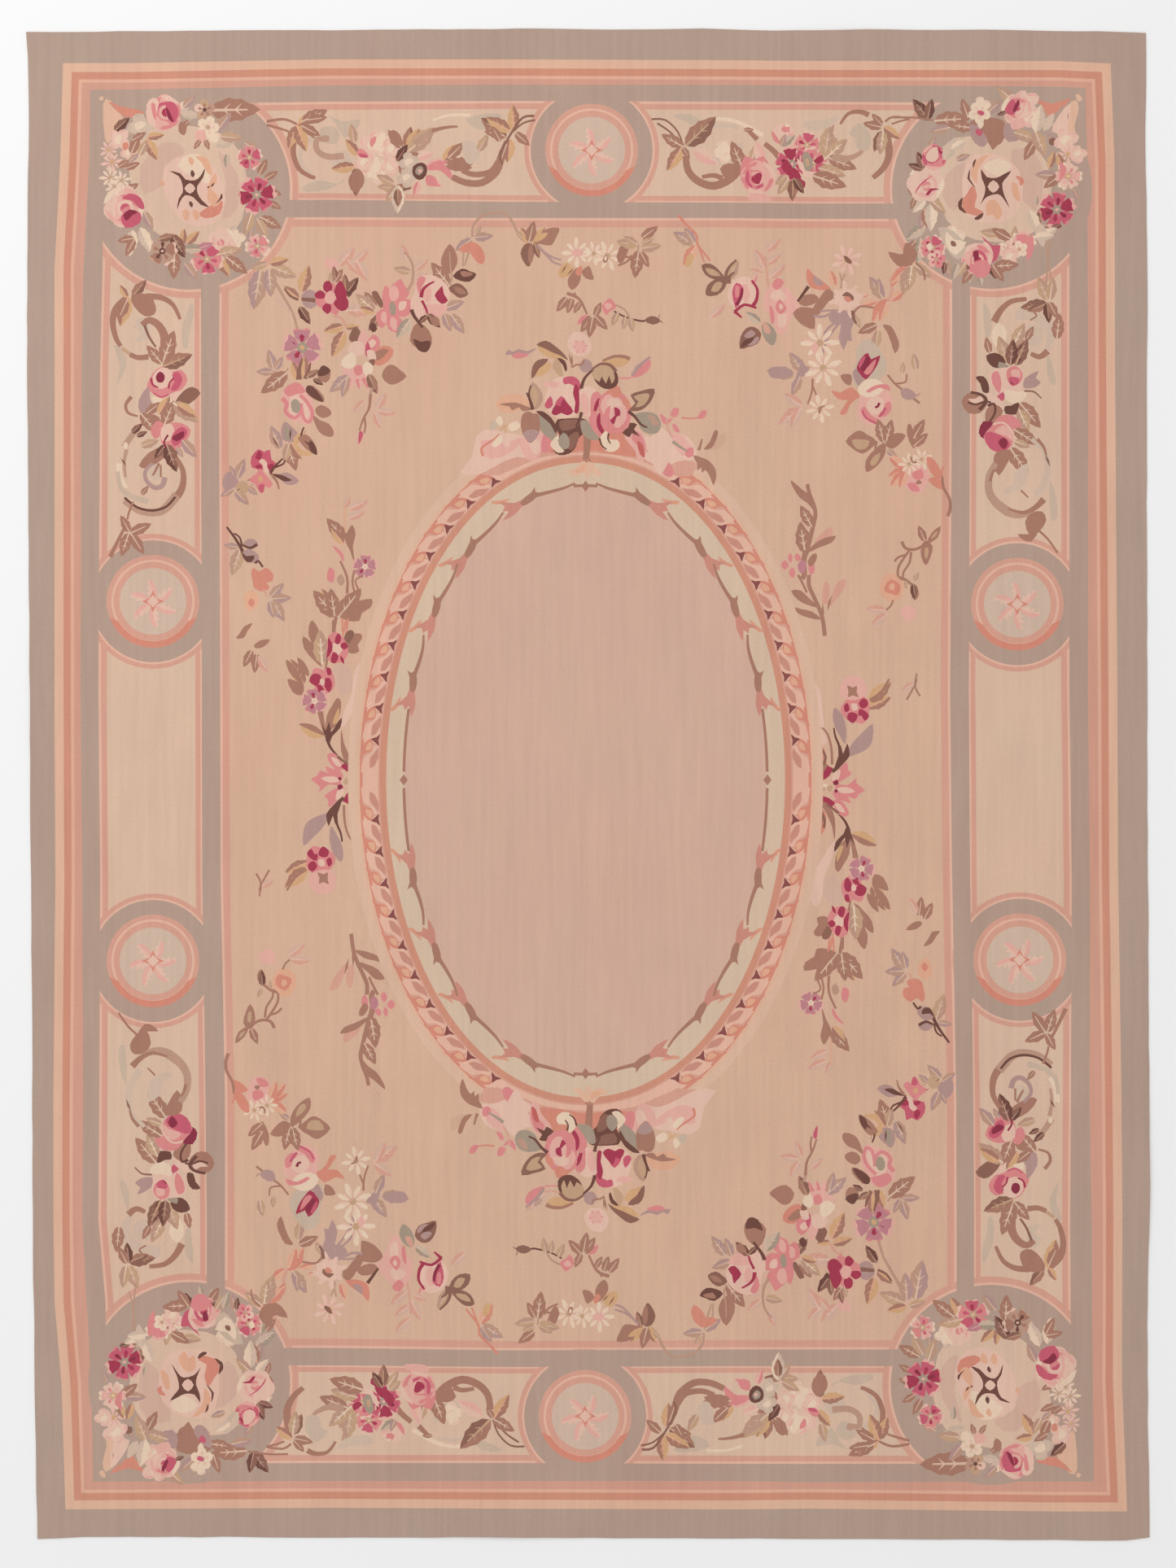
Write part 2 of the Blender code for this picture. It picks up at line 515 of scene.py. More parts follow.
def offset_at(side, place):
    """A side's outward offset at a place along it, eased from station to station, in metres."""
    for (low, start), (high, end) in zip(side, side[1:]):
        if place <= high:
            share = max(0.0, (place - low) / (high - low))
            return start + (end - start) * share * share * (3.0 - 2.0 * share)
    return side[-1][1]


def edge_point(across, along):
    """Where a point of the plain rectangle's edge goes, in cm. across and along run from -1 to 1."""
    x = across * WIDTH / 2
    y = along * LENGTH / 2
    left = -WIDTH / 2 - offset_at(LEFT_SIDE, y)
    right = WIDTH / 2 + offset_at(RIGHT_SIDE, y)
    near = -LENGTH / 2 - offset_at(NEAR_SIDE, x)
    far = LENGTH / 2 + offset_at(FAR_SIDE, x)
    return (
        100.0 * (left + (right - left) * (across + 1) / 2),
        100.0 * (near + (far - near) * (along + 1) / 2),
    )


def outline(steps_across=48, steps_along=64):
    """The rug's edge, with the small waver of its turned warps."""
    waver = random.Random(11)
    points = []
    for step in range(steps_across):
        points.append(edge_point(-1.0 + 2.0 * step / steps_across, -1.0))
    for step in range(steps_along):
        points.append(edge_point(1.0, -1.0 + 2.0 * step / steps_along))
    for step in range(steps_across):
        points.append(edge_point(1.0 - 2.0 * step / steps_across, 1.0))
    for step in range(steps_along):
        points.append(edge_point(-1.0, 1.0 - 2.0 * step / steps_along))
    return [(x + waver.uniform(-0.09, 0.09), y + waver.uniform(-0.09, 0.09)) for x, y in points]


# How the weaver's lines wander. Columns for a side: place along it, then how far out from the rug's
# middle each line stands there: outer stripes, outer band, panels, inner band, field.
LEFT_LINES = (
    (-178.0, 128.4, 121.4, 118.2, 93.7, 89.2),
    (-147.0, 129.4, 122.1, 118.2, 93.7, 89.2),
    (-127.0, 131.1, 123.2, 118.6, 93.7, 89.2),
    (-107.0, 131.4, 124.3, 120.3, 93.7, 89.2),
    (-77.0, 131.4, 124.0, 120.1, 94.0, 89.2),
    (-23.0, 130.9, 124.3, 119.9, 94.8, 90.3),
    (23.0, 131.1, 124.7, 120.3, 94.9, 90.4),
    (103.0, 131.1, 124.5, 119.9, 95.1, 90.7),
    (127.0, 131.1, 124.0, 119.3, 95.1, 90.5),
    (153.0, 129.7, 122.6, 119.0, 95.1, 90.5),
    (178.0, 129.0, 122.2, 119.0, 95.1, 90.5),
)
RIGHT_LINES = (
    (-178.0, 132.5, 124.4, 119.0, 94.9, 90.6),
    (-147.0, 131.2, 124.0, 118.7, 94.9, 90.6),
    (-107.0, 131.3, 123.8, 118.5, 94.9, 90.6),
    (-77.0, 131.1, 123.3, 118.7, 94.7, 90.5),
    (-23.0, 130.3, 123.3, 118.9, 93.9, 89.5),
    (23.0, 130.1, 122.9, 118.3, 93.6, 89.0),
    (103.0, 129.5, 122.9, 118.3, 93.9, 89.5),
    (153.0, 129.4, 122.7, 118.3, 93.8, 89.5),
    (178.0, 128.4, 122.0, 118.3, 93.8, 89.5),
)
TOP_LINES = (
    (-129.0, 177.4, 170.8, 167.0, 143.6, 139.5),
    (-112.0, 177.4, 170.9, 167.2, 143.6, 139.5),
    (-64.0, 178.3, 171.9, 167.9, 143.8, 139.5),
    (-20.0, 178.3, 172.1, 168.1, 143.3, 139.3),
    (35.0, 178.1, 172.0, 167.9, 143.1, 139.3),
    (55.0, 177.9, 171.9, 167.9, 142.9, 139.1),
    (115.0, 177.9, 171.6, 167.5, 142.9, 139.1),
    (128.0, 177.3, 171.0, 167.3, 142.9, 139.1),
)
BOTTOM_LINES = (
    (-128.0, 178.1, 171.3, 166.9, 142.7, 138.5),
    (-64.0, 177.7, 171.1, 166.7, 142.7, 138.4),
    (-20.0, 177.9, 171.1, 166.7, 143.1, 139.0),
    (35.0, 178.1, 171.1, 166.9, 142.9, 138.8),
    (55.0, 177.9, 171.4, 166.9, 142.9, 138.8),
    (115.0, 178.6, 171.2, 166.9, 142.9, 138.8),
    (132.0, 178.6, 171.3, 166.9, 142.9, 138.8),
)
STRIPES, BAND, PANEL, GAP, FIELD = 1, 2, 3, 4, 5


def line_at(side, column, place):
    """Where a side's line stands at a place along the side, straight from row to row."""
    return float(np.interp(place, [row[0] for row in side], [row[column] for row in side]))


def ring(column, inset=0.0):
    """The closed outline that one line makes round the rug, moved inwards by inset."""
    corners = {}
    for name, side_x, sign_x, side_y, sign_y in (
        ("near_left", LEFT_LINES, -1, BOTTOM_LINES, -1),
        ("near_right", RIGHT_LINES, 1, BOTTOM_LINES, -1),
        ("far_right", RIGHT_LINES, 1, TOP_LINES, 1),
        ("far_left", LEFT_LINES, -1, TOP_LINES, 1),
    ):
        y = sign_y * 150.0
        x = sign_x * 120.0
        for _ in range(3):
            x = sign_x * (line_at(side_x, column, y) - inset)
            y = sign_y * (line_at(side_y, column, x) - inset)
        corners[name] = (x, y)

    def along_y(side, sign, low, high):
        rows = [row[0] for row in side if low + 3.0 < row[0] < high - 3.0]
        return [(sign * (line_at(side, column, place) - inset), place) for place in rows]

    def along_x(side, sign, low, high):
        rows = [row[0] for row in side if low + 3.0 < row[0] < high - 3.0]
        return [(place, sign * (line_at(side, column, place) - inset)) for place in rows]

    return (
        [corners["near_left"]]
        + along_x(BOTTOM_LINES, -1, corners["near_left"][0], corners["near_right"][0])
        + [corners["near_right"]]
        + along_y(RIGHT_LINES, 1, corners["near_right"][1], corners["far_right"][1])
        + [corners["far_right"]]
        + along_x(TOP_LINES, 1, corners["far_left"][0], corners["far_right"][0])[::-1]
        + [corners["far_left"]]
        + along_y(LEFT_LINES, -1, corners["near_left"][1], corners["far_left"][1])[::-1]
    )


# Discs of the corner wreaths: middle x, y and radius of the grey disc
WREATHS = ((-98.0, 146.5, 24.8), (99.3, 146.5, 24.6), (-98.0, -147.0, 24.8), (99.0, -147.5, 24.6))

# Roundels between the panels: middle x, y and outer radius
ROUNDELS = (
    (0.9, 156.0, 11.4),
    (-0.7, -155.2, 11.4),
    (-106.9, 45.1, 11.4),
    (-106.9, -43.3, 11.4),
    (105.5, 44.4, 11.4),
    (106.1, -43.0, 11.4),
)


def lay_borders():
    """Guard, stripes, grey bands, panels and field, from the outside in."""
    lay(outline(), "taupe")
    lay(ring(STRIPES), "peach")
    lay(ring(STRIPES, 2.2), "terracotta")
    lay(ring(STRIPES, 4.0), "light_stripe")
    lay(ring(STRIPES, 4.8), "pink_stripe")
    lay(ring(BAND), "dove")
    lay(ring(PANEL), "shell")
    lay(ring(PANEL, 0.6), "salmon")
    lay(ring(PANEL, 2.0), "oat")
    lay(ring(GAP, -1.6), "salmon")
    lay(ring(GAP, -0.4), "shell")
    lay(ring(GAP), "dove")
    lay(ring(FIELD), "shell")
    lay(ring(FIELD, 0.6), "salmon")
    lay(ring(FIELD, 2.3), "sand")
    for x, y, radius in ROUNDELS:
        lay(spot(x, y, 1.0)(circle(radius + 5.2, 48)), "salmon", GROUNDS[:1] + GROUNDS[2:])
        lay(spot(x, y, 1.0)(circle(radius + 4.1, 48)), "shell", GROUNDS[:1] + GROUNDS[2:])
        lay(spot(x, y, 1.0)(circle(radius + 3.6, 48)), "dove")
    for x, y, radius in WREATHS:
        out_x = math.copysign(1.0, x)
        out_y = math.copysign(1.0, y)
        lay(spot(x, y, 1.0)(circle(radius + 2.1, 64)), "salmon", GROUNDS)
        lay(spot(x, y, 1.0)(circle(radius + 0.6, 64)), "shell", GROUNDS)
        lay(spot(x, y, 1.0)(circle(radius, 64)), "dove")
        corner = [(x, y), (x + 23.0 * out_x, y), (x + 23.0 * out_x, y + 23.0 * out_y), (x, y + 23.0 * out_y)]
        lay(corner, "dove", GROUNDS)


def lay_roundels():
    """The six round frames, each with a small rosette."""
    for index, (x, y, radius) in enumerate(ROUNDELS):
        put = spot(x, y, radius)
        lay(put(circle(1.0, 48)), "salmon")
        lay(put(circle(0.9, 40)), "shell")
        lay(put(circle(0.85, 40)), "salmon")
        lay(put(crescent(200, 340, 0.86, 1.0, 14)), "coral")
        lay(put(circle(0.72, 40)), "haze")
        turn = 90.0 * index
        for step in range(6):
            frond("blush", x, y - 0.5, 0.5 * radius, turn + 60.0 * step + 20.0)
        diamond("coral", x, y, 0.24 * radius, 0.0)


# The medallion's frame. The oval is a little squarer than an ellipse; sizes are half its width and height.
MIDDLE = (-0.6, 1.2)
OVAL_POWER = 2.04
BAND_OVAL = (49.8, 78.8)
GARLAND_OVAL = (44.7, 72.4)
TURN_FIRST = 22.5
TURN_STEP = 7.8
TURNS = 10

# One turn of the twisted ribbon: along from its dark notch, outwards from the band's middle line.
RIBBON_TURN = (
    ("patch", "salmon", (0.9, 2.85), (1.2, 4.6), (2.6, 5.2), (5.6, 5.2), (6.9, 4.6), (7.2, 3.2), (6.2, 2.0),
     (4.2, 1.2), (2.4, 1.3), (1.6, 1.6)),
    ("patch", "shell", (1.6, 1.5), (1.8, 2.6), (3.4, 3.1), (4.4, 4.6), (5.6, 5.1), (8.2, 5.4), (7.8, 4.2),
     (7.2, 3.3), (5.4, 3.4), (4.2, 3.0), (2.9, 1.9)),
    ("patch", "coral_shade", (2.3, 1.5), (3.4, 2.2), (4.6, 3.1), (6.2, 3.3), (7.0, 3.2), (6.6, 2.2),
     (5.2, 1.5),
     (4.1, 1.1)),
    ("patch", "coral", (0.0, 3.3), (1.2, 4.8), (3.2, 5.5), (5.2, 5.9), (3.8, 4.9), (3.1, 3.1), (2.0, 2.6),
     (0.9, 2.85)),
    ("patch", "apricot", (0.7, 3.3), (1.6, 4.2), (2.9, 4.4), (2.7, 3.2), (1.9, 2.8)),
)
NOTCH = ((0.05, 3.25), (-0.4, 2.0), (-1.3, 1.1), (0.3, 1.4), (1.7, 1.2), (0.9, 2.2))

# A length of the garland: the stem, its knot with two spurs, and the forked tail.
GARLAND_STEM = ((0.0, 0.6), (3.0, -0.2), (6.5, -0.3), (10.0, 0.1))
GARLAND_KNOT = ((9.0, 0.2), (9.8, 1.0), (9.4, 2.1), (10.8, 1.2), (12.4, 0.9), (14.2, 0.3), (14.0, -0.8),
                (12.0, -0.9), (10.4, -0.5))
GARLAND_TAIL = ((13.2, 0.6), (15.4, 0.9), (17.4, 2.6), (18.6, 3.4), (17.8, 1.6), (19.0, 0.9), (17.8, 0.0),
                (20.4, -0.9), (17.2, -1.5), (14.8, -0.9), (13.4, -0.6))
GARLAND_SIDE = ((15.8, 2.4), (17.8, 3.4), (19.6, 4.6), (19.4, 3.4), (17.6, 2.4))
GARLAND_STARTS = (2.5, 21.5, 38.3, 57.5)
# Plain lengths of the garland, and the knots between its quarters
GARLAND_PLAIN = ((0.0, 3.0), (76.0, 91.6))
GARLAND_ENDS = ((-0.6, 73.4), (-0.6, -71.0), (-45.3, 1.2), (44.1, 1.2))


def oval(size, offset=0.0, steps=160):
    """The oval's points, from its top round by the left, moved outwards by the offset."""
    points = []
    for step in range(steps):
        angle = math.radians(90.0 + 360.0 * step / steps)
        bent = []
        for share, half in ((math.cos(angle), size[0] + offset), (math.sin(angle), size[1] + offset)):
            bent.append(half * math.copysign(abs(share) ** (2.0 / OVAL_POWER), share))
        points.append((MIDDLE[0] + bent[0], MIDDLE[1] + bent[1]))
    return points


def walk(size):
    """Gives the place at a distance along the oval's left side from its top, and so far outside it."""
    track = oval(size, 0.0, 720)[:200]
    reached = [0.0]
    for (ax, ay), (bx, by) in zip(track, track[1:]):
        reached.append(reached[-1] + math.hypot(bx - ax, by - ay))

    def place(along, out):
        index = 0
        while index < len(track) - 2 and reached[index + 1] < along:
            index += 1
        (ax, ay), (bx, by) = track[index], track[index + 1]
        length = reached[index + 1] - reached[index]
        ahead_x = (bx - ax) / length
        ahead_y = (by - ay) / length
        rest = along - reached[index]
        return (ax + rest * ahead_x + out * ahead_y, ay + rest * ahead_y - out * ahead_x)

    return place


def quarters(points):
    """A shape of the upper left quarter, and its three mirror images."""
    return [
        [(MIDDLE[0] + side * (x - MIDDLE[0]), MIDDLE[1] + half * (y - MIDDLE[1])) for x, y in points]
        for side in (1.0, -1.0)
        for half in (1.0, -1.0)
    ]


def lay_quarters(points, yarn):
    """Lays a shape in all four quarters."""
    for image in quarters(points):
        lay(image, yarn)


def lay_medallion():
    """The oval frame, from its faint glow inwards to the ground under the bouquet."""
    lay(oval(BAND_OVAL, 8.6), "glow")
    lay(oval(BAND_OVAL, 6.5), "peach")
    lay(oval(BAND_OVAL, 5.7), "coral")
    lay(oval(BAND_OVAL, 5.0), "shell")
    along_band = walk(BAND_OVAL)
    for turn in range(TURNS):
        start = TURN_FIRST + TURN_STEP * turn
        for kind, yarn, *points in RIBBON_TURN:
            placed = [along_band(start + along, out) for along, out in points]
            lay_quarters(smooth(placed, 2, True), yarn)
        lay_quarters(smooth([along_band(start + along, out) for along, out in NOTCH], 2, True), "notch")
    lay(oval(BAND_OVAL, 1.2), "salmon")
    lay(oval(BAND_OVAL, 0.8), "terracotta")
    lay(oval(BAND_OVAL, -0.8), "ivory")
    lay(oval(GARLAND_OVAL, -0.3), "wash")
    along_garland = walk(GARLAND_OVAL)
    for start in GARLAND_STARTS:
        for image in quarters([along_garland(start + along, out) for along, out in GARLAND_STEM]):
            ribbon("nutmeg", 0.5, 1.0, image)
        for points, yarn in (
            (GARLAND_SIDE, "peach_shade"),
            (GARLAND_TAIL, "pink_shade"),
            (GARLAND_KNOT, "nutmeg"),
        ):
            lay_quarters(smooth([along_garland(start + along, out) for along, out in points], 2, True), yarn)
    for start, end in GARLAND_PLAIN:
        strip = [along_garland(start + (end - start) * step / 6.0, -0.4) for step in range(7)]
        back = [along_garland(start + (end - start) * step / 6.0, 0.3) for step in range(6, -1, -1)]
        lay_quarters(strip + back, "nutmeg")
    for x, y in GARLAND_ENDS:
        lay([(x - 1.0, y), (x, y + 1.4), (x + 1.0, y), (x, y - 1.4)], "nutmeg")


# The charts. Each row: motif, dyes, x, y, size and turn in degrees, in cm from the rug's middle. A stem
# gives its dye, its width at start and end, and its points; a patch its dye and the points round it.

WREATH_LEFT = (
    ("patch", "oat", (-113, 152), (-108, 161), (-98, 162), (-88, 159), (-84, 150), (-85, 139), (-91, 133),
     (-101, 134), (-109, 138)),
    ("patch", "wash", (-110, 152), (-104, 158), (-99, 156), (-103, 149), (-109, 145)),
    ("patch", "wash", (-91, 156), (-86, 150), (-86, 142), (-90, 139), (-89, 148)),
    ("patch", "petal", (-104, 145), (-99, 138), (-92, 138), (-89, 144), (-92, 152), (-98, 155), (-104, 152)),
    ("patch", "cream", (-101, 152), (-98, 155), (-94, 154), (-93, 148), (-96, 149)),
    ("patch", "apricot", (-96.5, 154.5), (-93.5, 154), (-92.3, 150), (-93.6, 150.5), (-95, 153)),
    ("patch", "apricot", (-91.5, 150.5), (-91.3, 148), (-93.6, 145.9), (-93, 148)),
    ("patch", "coral", (-89.8, 143.5), (-90.5, 140.3), (-94, 139.2), (-95.5, 140.5), (-92.5, 142.5)),
    ("patch", "apricot", (-92.8, 146.6), (-90.3, 143.5), (-92, 142), (-93.6, 144.2)),
    ("patch", "apricot", (-99.2, 141.6), (-97.9, 140.5), (-98.6, 138.6), (-99.6, 139.8)),
    ("patch", "apricot", (-96.9, 141.4), (-95.4, 140.4), (-96, 138.6), (-97.1, 139.8)),
    ("patch", "apricot", (-97.8, 154.4), (-96.8, 153.4), (-97.4, 152.2), (-98.2, 153.4)),
    ("patch", "apricot", (-104.8, 148.8), (-104.0, 147.8), (-104.6, 147.0), (-105.2, 148.0)),
    ("patch", "umber", (-102.9, 150.9), (-100.2, 150.3), (-98.9, 148.8), (-96.6, 148.6), (-95.2, 149.7),
     (-94.1, 151.6), (-94.6, 149.2), (-96, 147.2), (-95.9, 145.3), (-94.8, 143.6), (-93.1, 142),
     (-95.2, 142.6), (-97.0, 144.4), (-99.0, 144.9), (-100.2, 143.4), (-101, 141.3), (-100.6, 144),
     (-99.6, 145.6), (-99.7, 147.6), (-100.6, 149.6)),
    ("patch", "petal", (-99.2, 146.6), (-97.8, 147.9), (-96.5, 146.6), (-97.8, 145.3)),
    ("patch", "umber", (-97.3, 151.2), (-96.6, 150.1), (-97.1, 149.3), (-97.7, 150.1)),
    ("patch", "umber", (-97.9, 143.5), (-97.1, 142.9), (-97.3, 141.9), (-98, 142.6)),
    ("patch", "umber", (-93.5, 147.1), (-92.2, 147.1), (-91.9, 148.1), (-93.3, 146.6)),
    ("patch", "umber", (-90.1, 145.4), (-89.8, 144.2), (-91.6, 142.8), (-90.6, 144)),
    ("patch", "peach", (-119.2, 167.2), (-117.4, 168.2), (-114, 163.4), (-117.2, 158.2), (-118.7, 158.8)),
    ("patch", "coral", (-118, 168), (-115, 166.8), (-109.5, 165.6), (-110, 164.6), (-114, 164.2)),
    ("patch", "peach", (-120.2, 168.8), (-119.3, 169.3), (-119, 168.4), (-119.8, 168.2)),
    ("stroke", "fawn", -117.4, 167.4, 2.2, -50),
    ("leaf", "umber", -116.5, 160.6, 5.2, 42),
    ("patch", "cream", (-111, 164.4), (-109.3, 164.8), (-109.5, 163.2), (-111, 163)),
    ("tuft", "mist", -110, 161.8, 3.6, 0),
    ("leaf", "nutmeg", -93, 165.8, 12.5, 1),
    ("leaf", "cream", -101.2, 165.2, 5.2, 38),
    ("leaf", "lilac", -99.5, 166.4, 4.4, 45),
    ("leaf", "mist", -100, 164.9, 4.8, -6),
    ("leaf", "lilac", -91.2, 160.8, 5.6, 52),
    ("leaf", "mist", -92, 157.4, 6, 10),
    ("leaf", "fawn", -90.5, 159.4, 5.6, -6),
    ("leaf", "lilac", -84.5, 157.8, 4.6, -30),
    ("leaf", "nutmeg", -97.8, 163.2, 3.2, 215),
    ("rose", "rose", -104.2, 165.2, 4.6, 5),
    ("patch", "petal", (-108.6, 167), (-106.8, 168.9), (-105.4, 167.6), (-106.4, 164), (-106.2, 161.4),
     (-107.4, 163)),
    ("patch", "pink", (-107.4, 167.4), (-106.3, 167.2), (-106.2, 163.4), (-106.9, 164.4)),
    ("patch", "rose", (-103.5, 167.8), (-101.6, 167.6), (-100.6, 165), (-101.6, 162.8), (-102.9, 163.6),
     (-103.8, 165.6)),
    ("patch", "wine", (-103.8, 166.4), (-103, 165.8), (-101.8, 163), (-103.1, 163.6)),
    ("patch", "nutmeg", (-100.4, 162.6), (-99.4, 162.9), (-98.6, 161.6), (-99.2, 159.6), (-100.6, 160.6)),
    ("blossom", "fawn", -94.2, 165.9, 2.7, 20),
    ("blossom", "cream", -93.4, 161.6, 2.9, 0),
    ("patch", "cream", (-92.6, 160.2), (-90.6, 159.8), (-91.2, 157.8), (-93, 158.4)),
    ("patch", "blush", (-96.4, 160.6), (-94.4, 160.9), (-93.8, 159.2), (-95, 158), (-96.5, 158.8)),
    ("leaf", "nutmeg", -95.2, 158.6, 2.9, 235),
    ("leaf", "nutmeg", -94.1, 158.7, 2.9, 290),
    ("leaf", "sage", -88.6, 155.2, 3.6, 265),
    ("bloom", "rose", -83.2, 154.2, 3.3, 20, 1, 5),
    ("leaf", "nutmeg", -81, 149.8, 4.6, 62),
    ("leaf", "nutmeg", -79.6, 148.8, 4, 30),
    ("leaf", "nutmeg", -78.6, 146.2, 3.6, -20),
    ("leaf", "nutmeg", -78.6, 143.4, 3.8, -30),
    ("leaf", "nutmeg", -80.6, 139.6, 6, -28),
    ("leaf", "fawn", -81.4, 139.2, 5.6, -62),
    ("leaf", "tan", -82.6, 140.6, 5.8, 252),
    ("leaf", "lilac", -82.8, 136.4, 3.4, 262),
    ("bloom", "red", -81.4, 145, 5, 12),
    ("leaf", "mist", -86.5, 137.6, 4.6, 240),
    ("tuft", "cream", -86.6, 134.2, 2.6, 0),
    ("bloom", "pink", -81.2, 132.4, 3.2, 40, 1, 5),
    ("rose", "blush", -89.8, 133.4, 3.7, 200),
    ("leaf", "fawn", -91.6, 130.2, 7, 12),
    ("leaf", "gold", -90.8, 129.8, 5.6, 298),
    ("leaf", "nutmeg", -89, 129.8, 6.8, 322),
    ("bloom", "rose", -93.6, 129.2, 4.2, 60, 1, 5),
    ("leaf", "mauve", -96.2, 131.6, 4.4, 20),
    ("leaf", "lilac", -99.2, 128.2, 5.2, 308),
    ("leaf", "tan", -101, 131, 4.4, 258),
    ("leaf", "gold", -99.8, 132.6, 4.2, 82),
    ("leaf", "gold", -98.8, 132.9, 4.6, 44),
    ("leaf", "sage", -95, 131.6, 5, 178),
    ("leaf", "nutmeg", -101.6, 131.2, 7, 268),
    ("leaf", "umber", -102.4, 135.4, 6.8, 300),
    ("bloom", "fawn", -104.6, 131.2, 3.8, 15, 1, 5),
    ("leaf", "brown", -105.6, 134, 4.4, 15),
    ("leaf", "cream", -110, 137, 6.4, 292),
    ("leaf", "lilac", -109.2, 141, 5.2, 296),
    ("leaf", "cream", -111.8, 136.4, 6.6, 262),
    ("leaf", "nutmeg", -111.4, 134.4, 4.4, 190),
    ("leaf", "nutmeg", -111.4, 134.2, 4.8, 242),
    ("leaf", "nutmeg", -114.2, 145.6, 4.4, 30),
    ("leaf", "brown", -117.2, 143.4, 3.8, 42),
    ("rose", "pink", -114, 142.2, 5.3, -60),
    ("patch", "rose", (-114.6, 144), (-112.6, 145.4), (-109.8, 144.2), (-109, 141.6), (-110.4, 141.8),
     (-112, 143.6)),
    ("patch", "rose", (-114.8, 139.6), (-113, 141.2), (-110, 140.6), (-110.2, 138), (-113.6, 136.8)),
    ("patch", "wine", (-114.2, 140), (-112.6, 141.4), (-110.6, 140.8), (-112, 140), (-113.4, 138.6)),
    ("daisy", "cream", -117.4, 149.2, 2.8, 0),
    ("daisy", "cream", -116.4, 147, 2.3, 20),
    ("daisy", "cream", -114.6, 148.6, 2.4, 10),
    ("daisy", "blush", -117, 153, 2.8, 10),
    ("daisy", "blush", -117.8, 156, 2.4, 30),
    ("tuft", "blush", -115.2, 158.6, 3, 40),
    ("tuft", "blush", -112.6, 155.4, 2.6, 0),
    ("leaf", "nutmeg", -115.6, 151.8, 3.6, 30),
    ("leaf", "nutmeg", -113.8, 151.4, 4, 22),
    ("leaf", "lilac", -112.8, 153.2, 3.2, 40),
    ("patch", "coral", (-114.4, 157.6), (-113.2, 157.9), (-112.9, 156.6), (-114, 155.9)),
    ("leaf", "nutmeg", -112.4, 155, 5.4, 66),
    ("leaf", "nutmeg", -112, 158.4, 4, 30),
    ("leaf", "gold", -108.4, 159.2, 4.4, 8),
    ("leaf", "gold", -108.6, 158.8, 6, 298),
    ("leaf", "tan", -110.4, 154.6, 4.6, 62),
)

